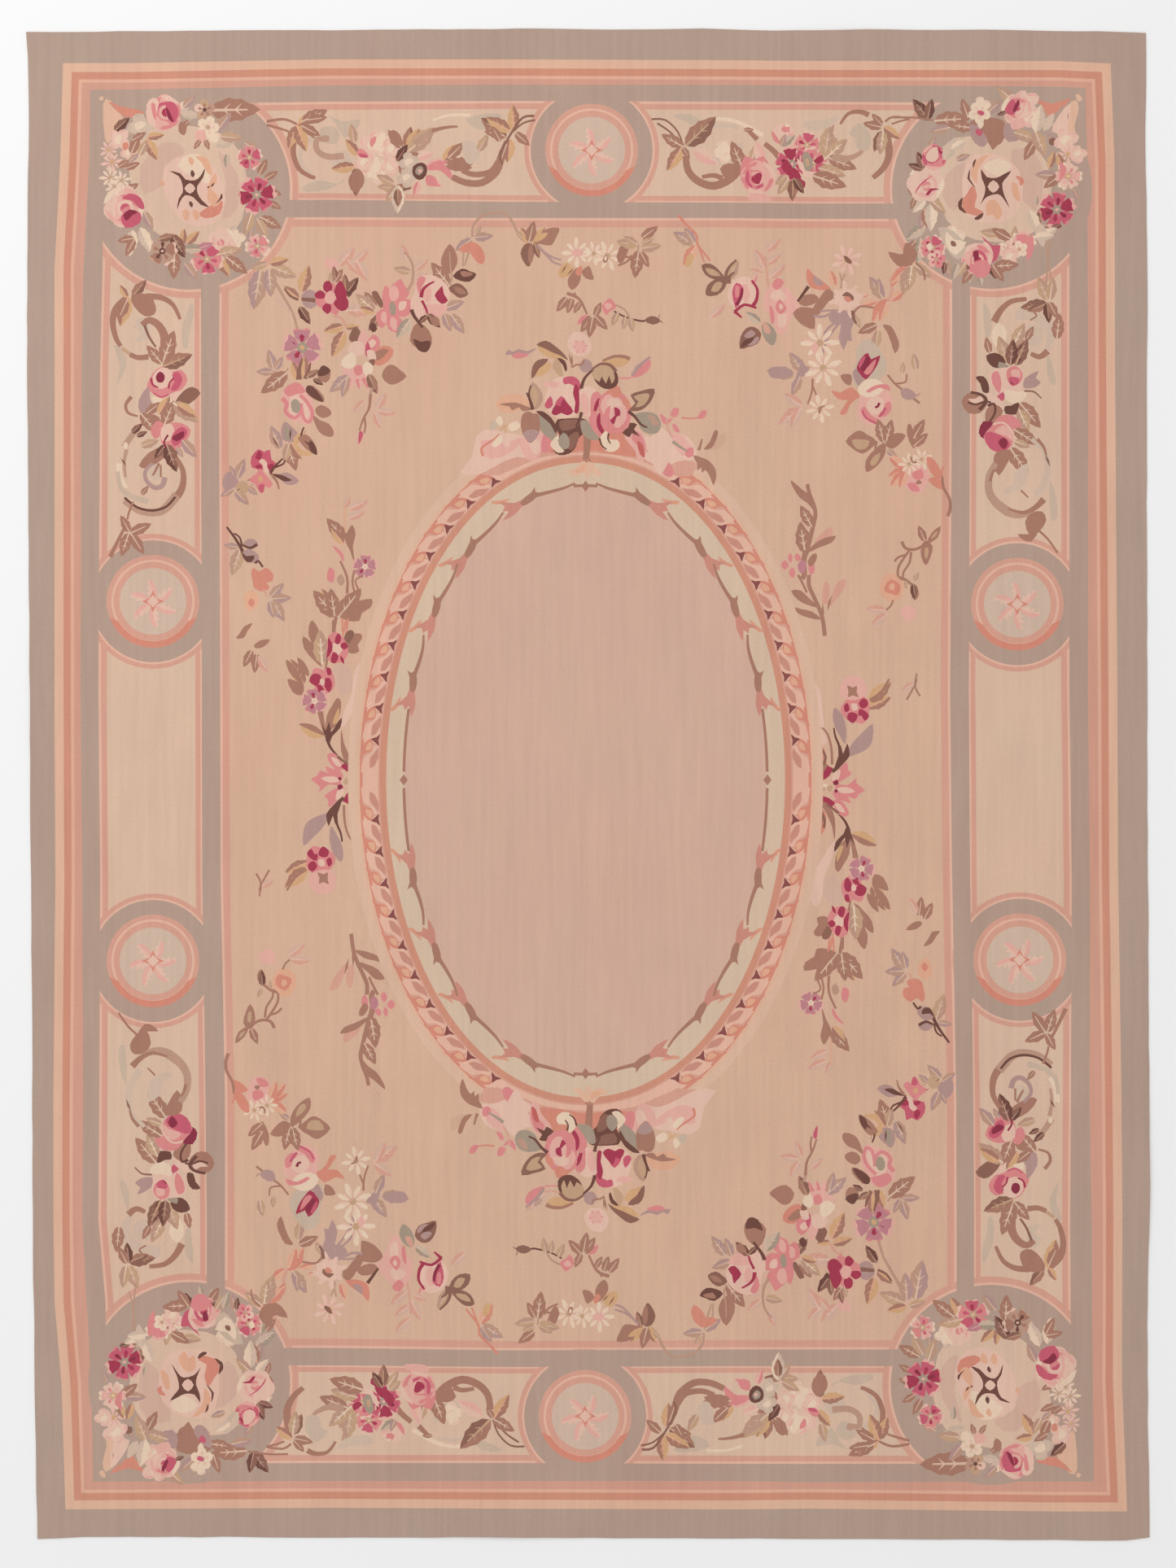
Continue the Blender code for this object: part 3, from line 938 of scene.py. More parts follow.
WREATH_RIGHT = (
    ("patch", "oat", (85, 152), (90, 159), (101, 159), (110, 157), (114, 148), (112, 139), (106, 134),
     (95, 134), (88, 139)),
    ("patch", "wash", (104, 156), (110, 155), (112, 149), (110, 141), (105, 147)),
    ("patch", "wash", (88, 150), (93, 153), (93, 146), (90, 141), (87, 145)),
    ("patch", "petal", (93, 140), (99, 138), (105, 140), (107, 148), (103, 154), (95, 155), (92, 149)),
    ("patch", "cream", (97, 152), (101, 154), (104, 152), (101, 149.5)),
    ("patch", "apricot", (95.6, 153.6), (98.6, 155), (97, 153), (95.8, 151), (95.6, 147.6), (94, 150.4)),
    ("patch", "coral", (94.6, 147.4), (95.6, 144.8), (95, 142), (97, 141), (96.4, 139.8), (93, 140.6),
     (91.8, 143), (93.2, 145.4)),
    ("patch", "apricot", (97.8, 143), (99.8, 143.8), (101.4, 142), (101.8, 140), (100.4, 138.8),
     (99.4, 140.4),
     (98, 139.8)),
    ("patch", "coral", (105, 149.6), (106.6, 149.4), (107.2, 148), (106.2, 147.2), (106, 148.4)),
    ("patch", "apricot", (104, 147.8), (105.4, 147.6), (106.4, 143.4), (104.6, 144.4)),
    ("patch", "umber", (96.6, 151.4), (98, 149.4), (100.4, 149.2), (102, 150), (104, 150.9), (103, 149.4),
     (101.8, 147.8), (102.2, 145.2), (102.8, 143.8), (103.6, 141.8), (102, 144.2), (100.6, 145.2),
     (98.2, 144.6), (97, 143.4), (96.4, 142.6), (97.4, 145), (97.6, 147), (96.8, 149)),
    ("patch", "petal", (98.2, 147), (99.6, 148.6), (101.1, 147), (99.6, 145.5)),
    ("patch", "umber", (95.4, 153.9), (95, 152.4), (94.6, 151.6), (94.6, 153)),
    ("patch", "umber", (94, 151.4), (93.8, 149), (95.4, 146.6), (93.2, 149)),
    ("patch", "umber", (92.2, 144.4), (91.8, 142.2), (93.2, 140.4), (91.2, 141.4), (91, 143.2)),
    ("patch", "umber", (97.2, 140.6), (96.8, 139.4), (95.6, 138.8), (94.9, 139.2), (96, 140)),
    ("patch", "peach", (119.8, 168.4), (120.6, 166), (119.6, 162), (120, 157.8), (117.4, 159), (117.6, 166)),
    ("patch", "coral", (110, 168.6), (114, 167.4), (118.6, 168.8), (117, 166.8), (114.4, 164.8),
     (113.6, 162.6),
     (112.6, 165.2)),
    ("patch", "petal", (118.6, 167.6), (115.4, 164), (114, 160.6), (117.6, 160.6)),
    ("patch", "peach", (119.8, 169.6), (120.8, 169.6), (121.4, 168.4), (120.4, 168)),
    ("stroke", "fawn", 115.4, 165.4, 2.6, 48),
    ("stroke", "fawn", 118, 163.2, 2.2, 82),
    ("leaf", "umber", 84, 163.2, 6.8, 128),
    ("leaf", "umber", 83.4, 163.4, 5.4, 78),
    ("stem", "nutmeg", 0.5, 0.5, (75, 164), (80, 164), (86, 163.2), (90, 163)),
    ("leaf", "nutmeg", 85, 163.2, 9, 4),
    ("leaf", "nutmeg", 93.4, 164, 5, 108),
    ("leaf", "nutmeg", 94.6, 161.4, 6, 172),
    ("leaf", "lilac", 89, 161.6, 5.4, 192),
    ("leaf", "lilac", 97.4, 164.6, 5.8, 40),
    ("leaf", "nutmeg", 94, 158.8, 6.4, 20),
    ("leaf", "lilac", 101.6, 162, 6.4, 30),
    ("patch", "nutmeg", (94, 163), (100, 164), (103, 162), (101.8, 158), (100.6, 157.2), (99.4, 156),
     (98.2, 158), (95, 158.6)),
    ("patch", "lilac", (93.6, 162), (95.6, 162), (98.2, 158.6), (97.2, 156.8), (95, 157.8)),
    ("patch", "lilac", (103, 163), (105.4, 161), (106.8, 159), (103.4, 158), (102, 160.4)),
    ("tuft", "cream", 96.6, 166.9, 2.5, 0),
    ("blossom", "cream", 96.2, 165.2, 2.9, 54),
    ("patch", "rose", (95.9, 165.8), (97.4, 165.4), (96.9, 164.4), (95.8, 165)),
    ("patch", "cream", (96.6, 163.6), (97.3, 162.4), (96.4, 161.2), (95.6, 162.6)),
    ("patch", "rose", (95.3, 161.2), (97, 160.8), (96.4, 159.4), (95.4, 160)),
    ("leaf", "tan", 104.6, 168, 5.4, 138),
    ("tuft", "blush", 107.6, 167.6, 3.6, 20),
    ("tuft", "blush", 108.4, 164.6, 3.2, 0),
    ("rose", "pink", 105.4, 166, 4, 95),
    ("patch", "rose", (104.2, 168.6), (105.4, 167), (104.8, 164.8), (103.2, 164.8), (102.4, 166)),
    ("patch", "wine", (105.6, 168.4), (106.1, 167.4), (105, 165.4), (104.4, 165.8)),
    ("leaf", "umber", 102.8, 165.4, 2.4, 200),
    ("patch", "blush", (104, 163), (107, 164), (107.4, 161.8), (104.4, 161)),
    ("leaf", "fawn", 104.6, 160.4, 6, -18),
    ("leaf", "nutmeg", 109.8, 158.4, 5.6, 242),
    ("leaf", "fawn", 109.8, 160.8, 7, 292),
    ("leaf", "cream", 110, 160.4, 7, 78),
    ("leaf", "haze", 112, 160.8, 5, 60),
    ("leaf", "lilac", 115.4, 157, 4, 130),
    ("patch", "brown", (113.4, 158.8), (114.8, 158.9), (114.8, 157.2), (113.4, 157.4)),
    ("tuft", "blush", 117.4, 158.4, 3.4, 10),
    ("daisy", "blush", 118, 155, 3.4, 0),
    ("tuft", "blush", 120.4, 155, 2.4, 0),
    ("leaf", "gold", 113.2, 151.6, 4.4, 70),
    ("leaf", "gold", 116.8, 151, 4.6, 108),
    ("leaf", "lilac", 115, 149.8, 5.2, 178),
    ("leaf", "nutmeg", 116.2, 150, 5.4, 218),
    ("bloom", "blush", 118, 149.6, 3.6, 0, 1, 6),
    ("patch", "pink", (115.8, 153.2), (117.6, 151.6), (117, 149.6), (115.8, 148.4), (116, 151)),
    ("leaf", "lilac", 119.4, 146.4, 3, 290),
    ("leaf", "brown", 111.6, 142, 4.4, 260),
    ("leaf", "nutmeg", 112, 137.6, 4.4, -10),
    ("leaf", "sage", 110, 142.4, 2.4, 80),
    ("bloom", "red", 115.2, 141.4, 4.9, 20),
    ("leaf", "umber", 113.8, 137, 2.8, 10),
    ("leaf", "cream", 108.6, 141.2, 6, 290),
    ("leaf", "cream", 111, 134.4, 5, 30),
    ("leaf", "haze", 111, 138, 6, 278),
    ("leaf", "cream", 109.6, 134.6, 5, 4),
    ("stem", "fawn", 0.5, 0.4, (113.6, 133.6), (113, 129), (114, 124)),
    ("stem", "fawn", 0.5, 0.4, (112.6, 133.6), (113, 128), (112.4, 122)),
    ("leaf", "fawn", 101, 135.2, 4.8, 170),
    ("leaf", "nutmeg", 104, 134, 5.6, 150),
    ("leaf", "fawn", 104.6, 133.4, 4, 84),
    ("leaf", "nutmeg", 103, 131, 4.8, 42),
    ("bloom", "pink", 107, 133.4, 3.2, 10, 1, 5),
    ("patch", "pink", (105, 135), (108, 135), (109.6, 132), (108, 128.6), (107.4, 132)),
    ("blossom", "cream", 106, 131.6, 2.2, 30),
    ("blossom", "blush", 103, 131.6, 2.4, 0),
    ("tuft", "blush", 103.6, 129.6, 2.6, 20),
    ("leaf", "nutmeg", 99.4, 127.4, 6.6, 4),
    ("leaf", "umber", 98.8, 128, 4, 292),
    ("leaf", "nutmeg", 99.4, 127.8, 5, 304),
    ("leaf", "sage", 96.2, 125.4, 3, 280),
    ("leaf", "sage", 94, 126.6, 3.6, 262),
    ("leaf", "nutmeg", 94.6, 127, 4.8, 236),
    ("patch", "rose", (96.6, 135), (99.4, 132.6), (101.4, 132.6), (100.4, 129), (98.4, 128.4), (99, 131)),
    ("patch", "petal", (97.4, 133.6), (99, 132.2), (99.6, 129.6), (97.4, 129.4), (96.4, 131.4)),
    ("rose", "rose", 95.6, 129.3, 4, -70),
    ("patch", "pink", (94, 127.6), (97, 129), (99, 127.6), (98, 125), (95.4, 124.8)),
    ("patch", "wine", (94.6, 131), (95.8, 131.2), (96, 129.4), (95, 129)),
    ("leaf", "umber", 93.8, 126.6, 2.4, 140),
    ("leaf", "tan", 92.8, 128.6, 4.4, 240),
    ("leaf", "lilac", 88, 129, 4.6, 280),
    ("leaf", "umber", 87.8, 128.6, 3.2, 262),
    ("leaf", "sage", 91, 128.2, 4.4, 250),
    ("tuft", "cream", 89.6, 134.6, 3.2, 0),
    ("patch", "mist", (86, 137), (90, 136), (93, 132), (91, 129), (88, 132)),
    ("patch", "cream", (88, 136), (90, 134), (93, 133.4), (90.4, 130.2), (88, 132.6)),
    ("patch", "brown", (89.2, 133.7), (90.2, 133.5), (90.5, 132.4), (89.3, 132.5)),
    ("leaf", "sage", 83, 137.4, 6, 214),
    ("leaf", "sage", 81.8, 134.4, 6.6, 262),
    ("leaf", "nutmeg", 80.6, 133.8, 4, 230),
    ("bloom", "rose", 84.6, 132, 3.4, 60, 1, 5),
    ("blossom", "rose", 85.6, 129.2, 2.4, 10),
    ("patch", "cream", (83.2, 132.6), (84.2, 133.2), (84.6, 132), (83.8, 131.2)),
    ("leaf", "lilac", 82.4, 141, 4.6, 262),
    ("leaf", "gold", 82.6, 141.6, 5, 282),
    ("leaf", "cream", 84.4, 143, 7, 268),
    ("leaf", "tan", 84.2, 143.8, 5, 318),
    ("leaf", "cream", 83, 144, 4.6, 226),
    ("leaf", "brown", 80.2, 144.6, 4, 112),
    ("leaf", "nutmeg", 80.4, 144.4, 3.2, 250),
    ("rose", "blush", 83, 147.8, 4.8, 280),
    ("patch", "rose", (84.8, 149.8), (82.6, 148.6), (80.8, 146.6), (80.4, 145.2), (82, 147.6)),
    ("patch", "crimson", (83, 145), (84.2, 146.6), (86.4, 146.4), (84.6, 146), (83.8, 145)),
    ("patch", "petal", (80.4, 151.4), (84, 151.6), (83, 149), (80.6, 148.8)),
    ("leaf", "umber", 82.4, 151.2, 4, 160),
    ("leaf", "umber", 82.6, 151.4, 4.6, 112),
    ("leaf", "lilac", 83.6, 156, 4, 60),
    ("rose", "red", 85, 154.3, 3.3, 70),
    ("patch", "petal", (83.8, 156), (85.8, 156.8), (86, 154), (84.4, 153), (83, 154)),
    ("leaf", "mist", 87.4, 153.6, 6.4, 60),
    ("leaf", "cream", 89.2, 156.2, 4.4, 30),
    ("leaf", "lilac", 90.4, 153.6, 3.8, 20),
)

PANEL_TOP_LEFT = (
    ("stem", "haze", 0.8, 1.6, (-68, 150), (-71, 154), (-69, 158), (-66, 160)),
    ("patch", "mist", (-70, 147), (-66, 148.6), (-61, 147.6), (-60, 149), (-63, 146.6), (-69, 145.6)),
    ("patch", "mist", (-64, 164.6), (-60, 163), (-56, 163.6), (-57, 161), (-60, 159), (-62, 162.6)),
    ("patch", "mist", (-66, 161), (-63, 162), (-61, 160), (-62, 157.6), (-65, 158)),
    ("patch", "haze", (-64, 154), (-60, 156), (-58, 153), (-61, 151)),
    ("stem", "fawn", 1.3, 1.6, (-64.6, 158.6), (-66.6, 158.6), (-66.6, 156), (-64, 154.4), (-60, 154.6)),
    ("patch", "fawn", (-65, 159.6), (-63.6, 159.4), (-63.8, 158), (-65.4, 158.2)),
    ("stem", "nutmeg", 1.5, 0.9, (-72.3, 158.4), (-72.4, 155), (-71, 151.4), (-68.4, 149.6), (-67, 149.2)),
    ("stem", "nutmeg", 0.7, 0.5, (-79, 162.2), (-76, 161.4), (-73.6, 160.6)),
    ("stem", "nutmeg", 0.7, 0.5, (-79, 163), (-75, 163.6), (-72, 162.6), (-69, 160.4), (-67.2, 159)),
    ("leaf", "gold", -71.6, 162, 6, 250),
    ("leaf", "gold", -71.6, 162.2, 7, 290),
    ("leaf", "gold", -71.4, 162.4, 5.6, 26),
    ("leaf", "nutmeg", -70.4, 163, 7, 24),
    ("leaf", "nutmeg", -69, 163.4, 5, 8),
    ("leaf", "nutmeg", -70.4, 162, 5.2, -28),
    ("leaf", "fawn", -57.4, 157.6, 5, 100),
    ("leaf", "gold", -56.4, 154.6, 5.2, 128),
    ("leaf", "gold", -57.2, 152, 6, 186),
    ("leaf", "brown", -56.8, 151.8, 7.2, 268),
    ("patch", "nutmeg", (-58.6, 149.6), (-56.6, 151.4), (-55, 149.6), (-55.4, 147), (-57.6, 145.6),
     (-58.8, 147.6)),
    ("tuft", "blush", -53, 157.4, 3.4, 60),
    ("tuft", "cream", -50.6, 157.6, 3.2, 0),
    ("tuft", "blush", -48.2, 156.4, 3, 30),
    ("tuft", "cream", -52, 151.2, 3.6, 10),
    ("tuft", "blush", -48.6, 152, 2.6, 90),
    ("tuft", "blush", -55, 153, 2.8, 10),
    ("patch", "pink", (-53.6, 158.6), (-52, 159.4), (-52.4, 157.6), (-53.4, 156.8)),
    ("patch", "pink", (-56.4, 156.4), (-55, 156), (-54, 154.4), (-56.6, 154.8)),
    ("patch", "rose", (-56.4, 155.2), (-54.6, 154.9), (-54, 154.2), (-55.8, 154.2)),
    ("leaf", "nutmeg", -45.6, 156.4, 5.8, 128),
    ("patch", "nutmeg", (-48.8, 159.4), (-48, 161), (-46.2, 159.8), (-45.4, 157), (-47, 157.6)),
    ("leaf", "brown", -44.8, 156.6, 5.4, 76),
    ("leaf", "gold", -44.4, 156.2, 6, 60),
    ("leaf", "fawn", -44.2, 155.6, 9, 42),
    ("stem", "fawn", 1.7, 0.6, (-42.6, 157.6), (-39.6, 159.8), (-36.6, 161.2), (-33, 161.8)),
    ("stem", "nutmeg", 0.9, 0.5, (-38.4, 160.8), (-35, 161.6), (-32, 161.8)),
    ("leaf", "nutmeg", -47, 153.2, 6.2, 18),
    ("leaf", "dark", -47, 153.2, 5, 58),
    ("stem", "cream", 0.5, 0.8, (-38, 163.4), (-34, 164.6), (-29, 164.6)),
    ("stem", "nutmeg", 1.2, 1.7, (-31, 151), (-28, 150), (-24, 150.6), (-22, 153)),
    ("leaf", "nutmeg", -46.2, 152.8, 4, 290),
    ("leaf", "blush", -42.2, 154, 4.6, 18),
    ("leaf", "fawn", -47, 146.8, 4.8, 178),
    ("leaf", "fawn", -47.6, 147.6, 5, 152),
    ("leaf", "brown", -47.4, 147, 4.2, -4),
    ("leaf", "tan", -47, 147.2, 4.8, 236),
    ("leaf", "cream", -46.6, 147.4, 7, 268),
    ("leaf", "brown", -46.8, 146.6, 4.6, 272),
    ("tuft", "mist", -44, 153, 2.8, 0),
    ("tuft", "mist", -44.6, 149.2, 2.6, 0),
    ("leaf", "pink", -41.4, 148.4, 4, 250),
    ("leaf", "pink", -40, 149.4, 4.6, -30),
    ("leaf", "pink", -40, 151.6, 6, 20),
    ("patch", "pink", (-39.6, 152), (-36.4, 153.6), (-34, 151.6), (-33.4, 148.6), (-36, 150.8), (-38, 151.2)),
    ("patch", "pink", (-39.8, 149.8), (-37.6, 149.4), (-37, 147.2), (-39.6, 147.4)),
    ("patch", "umber", (-43, 152), (-41, 153), (-39.6, 152), (-39.8, 149.8), (-41.4, 148.6), (-43, 149.8)),
    ("patch", "sage", (-42.2, 151.6), (-41, 152.1), (-40.4, 151), (-41.4, 149.8), (-42.4, 150.4)),
    ("patch", "blush", (-41.7, 151.2), (-41, 151.3), (-40.9, 150.5), (-41.6, 150.5)),
    ("leaf", "gold", -35.6, 153.4, 5.4, 50),
    ("leaf", "nutmeg", -34.4, 154, 5.6, 44),
    ("leaf", "nutmeg", -35.2, 152.4, 7, 2),
    ("patch", "nutmeg", (-34.6, 152.4), (-31, 154.4), (-30, 152.8), (-28.4, 151.6), (-31, 150.8),
     (-34, 151.2)),
    ("stem", "nutmeg", 1.5, 2.1, (-33.4, 149.4), (-30, 148), (-26, 148), (-22.6, 150.6), (-21.4, 154),
     (-19.6, 158)),
    ("patch", "haze", (-31, 158), (-28, 158), (-26.6, 155), (-28, 152.8), (-30, 153)),
    ("patch", "mist", (-30, 163.6), (-25, 165), (-21, 164.6), (-23, 162), (-27, 161)),
    ("leaf", "fawn", -27, 155.6, 5, 60),
    ("leaf", "brown", -20, 159, 8, 142),
    ("leaf", "nutmeg", -20.6, 159.6, 5, 168),
    ("leaf", "gold", -19, 160.6, 7, 150),
    ("leaf", "nutmeg", -21.4, 158, 4.6, 120),
    ("leaf", "gold", -18.2, 160.6, 6.6, 92),
    ("leaf", "nutmeg", -18, 160.4, 5, 318),
    ("leaf", "gold", -19, 158.8, 6, 262),
    ("leaf", "nutmeg", -20, 157.6, 5, 252),
    ("stem", "brown", 0.6, 0.5, (-13.2, 164.4), (-16, 164), (-18.6, 160.6), (-21.6, 155), (-21, 152.6)),
    ("stem", "brown", 0.5, 0.4, (-13, 163.4), (-16, 162.6), (-19, 160)),
)

PANEL_TOP_RIGHT = (
    ("patch", "mist", (21, 164.6), (25, 164.8), (28, 163), (27, 161.8), (23, 163.4)),
    ("stem", "cream", 0.8, 1.0, (30, 163.6), (34, 163.6), (38, 162.4), (43, 159.6)),
    ("stem", "haze", 0.7, 1.0, (27, 160.6), (32, 162), (37, 161.6)),
    ("stem", "brown", 0.5, 0.4, (15.6, 163.6), (19, 163.4), (22, 160.6), (23.4, 157)),
    ("stem", "brown", 0.5, 0.4, (17, 162.6), (20, 160.6), (22.4, 158)),
    ("leaf", "nutmeg", 23.4, 156.8, 6.2, 150),
    ("leaf", "nutmeg", 23.8, 157, 5.4, 42),
    ("leaf", "brown", 24, 157, 10.4, 44),
    ("leaf", "gold", 23, 156.6, 6.8, 238),
    ("leaf", "nutmeg", 23.2, 156.8, 3.4, 302),
    ("patch", "haze", (31, 156), (33, 157.6), (36, 157), (38, 158), (37, 154), (33, 152.6), (31, 153)),
    ("tuft", "cream", 33.4, 155.6, 3, 0),
    ("leaf", "blush", 26, 156, 7, -30),
    ("stem", "nutmeg", 1.6, 2.2, (24, 154.6), (24.6, 151), (27, 148.4), (31, 147.2), (35, 149),
     (37.2, 151.6)),
    ("stem", "nutmeg", 0.9, 1.4, (28, 149.4), (31, 149.8), (33, 149)),
    ("patch", "nutmeg", (32.4, 151.4), (34.6, 152.8), (37.6, 152), (36.6, 149.8), (34.4, 148.4)),
    ("leaf", "nutmeg", 38, 151.4, 7.4, 112),
    ("leaf", "tan", 40, 153, 4.8, 72),
    ("leaf", "blush", 43, 152.6, 6, 108),
    ("patch", "pink", (37.4, 151.4), (38.6, 154.6), (41, 153.6), (43, 154.6), (45, 151.6), (46, 148.6),
     (43.4, 145.4),
     (40.6, 145.4), (38, 147.6)),
    ("rose", "rose", 41.8, 149.2, 4.4, 200),
    ("patch", "crimson", (40.4, 148.4), (41.6, 150.4), (42.8, 150), (42, 147.6)),
    ("patch", "blush", (43, 151.8), (44.6, 149.6), (43.6, 146.6), (42.8, 148.6)),
    ("patch", "blush", (39.4, 145.4), (44, 145), (45, 143.4), (40, 143.6)),
    ("stem", "nutmeg", 1.0, 1.3, (39.4, 160.8), (41.6, 158.6)),
    ("leaf", "nutmeg", 38.2, 161, 2.6, 0),
    ("stem", "nutmeg", 1.2, 1.6, (43.4, 157.6), (46, 155.4), (48, 152.6)),
    ("tulip", "blush", 47.4, 157.6, 5.2, 72),
    ("patch", "pink", (45.2, 160.8), (46.2, 159.6), (47.4, 157.6), (46, 158), (45.2, 159.4)),
    ("leaf", "sage", 47.2, 157, 4.6, 36),
    ("leaf", "lilac", 47.4, 156.8, 3.4, 70),
    ("bloom", "rose", 53.8, 157.2, 3.6, 80, 1, 5),
    ("bloom", "red", 50.2, 152.6, 4.7, 100, 1, 6),
    ("patch", "crimson", (47.4, 152), (49, 153.6), (51, 150.4), (53.2, 148), (52.4, 146.6), (49, 150)),
    ("bloom", "rose", 55.4, 153, 4, -40, 1, 5),
    ("patch", "petal", (51.4, 154), (53, 152.6), (54.6, 150.8), (57.6, 150), (55, 149.4), (52, 151.4)),
    ("patch", "sage", (52.6, 154.6), (53.8, 155.6), (55.2, 153.6), (55, 151.2), (53.4, 151)),
    ("patch", "tan", (53.4, 153.8), (54.2, 153.8), (54.4, 152.2), (53.6, 152.2)),
    ("patch", "crimson", (55.4, 153.4), (57.8, 155), (58, 153.6), (56.6, 152.6)),
    ("patch", "crimson", (52.2, 148.6), (53.4, 148.2), (53.2, 146.8), (52.2, 147)),
    ("leaf", "tan", 49.4, 149.2, 5, 236),
    ("leaf", "brown", 50.4, 149, 5.6, 268),
    ("leaf", "umber", 50.6, 149.2, 4.6, 302),
    ("leaf", "fawn", 48.8, 150, 3.8, 222),
    ("leaf", "fawn", 58, 153.6, 6.4, 60),
    ("leaf", "fawn", 58.2, 154, 8.4, 82),
    ("leaf", "tan", 58.2, 153.8, 7.4, 42),
    ("leaf", "nutmeg", 59, 154.2, 7.6, -22),
    ("leaf", "fawn", 56.6, 151.6, 7, -16),
    ("leaf", "nutmeg", 55, 149.8, 9, -18),
    ("stem", "fawn", 1.8, 0.6, (60, 154.2), (64, 154), (67, 155.4), (68, 157)),
    ("stem", "fawn", 1.2, 0.4, (59.6, 160), (60.4, 162.2)),
    ("stem", "nutmeg", 0.6, 1.4, (62, 162.4), (64, 165), (67, 165.4), (69, 164.6)),
    ("patch", "mist", (64, 160), (66.6, 162.6), (69.4, 160), (69, 156), (66, 156.4), (65.6, 159)),
    ("patch", "haze", (53, 163), (58, 163.4), (62, 164.4), (59, 161.4), (54, 161)),
    ("stem", "nutmeg", 1.2, 2.4, (70, 149.2), (72.6, 151.6), (74, 155), (73.4, 159), (72.4, 160.6)),
    ("leaf", "brown", 72.4, 160.8, 5.6, 248),
    ("leaf", "tan", 72.6, 160.8, 6, 262),
    ("leaf", "nutmeg", 72.4, 161.6, 5, 168),
    ("leaf", "nutmeg", 72.4, 162, 4, 132),
    ("leaf", "gold", 72.6, 161.8, 5.2, -36),
    ("stem", "nutmeg", 0.6, 0.5, (73, 163), (75, 164.2), (79, 163.8)),
    ("stem", "nutmeg", 0.5, 0.5, (74.6, 162.4), (77, 163.2), (79, 163.6)),
)

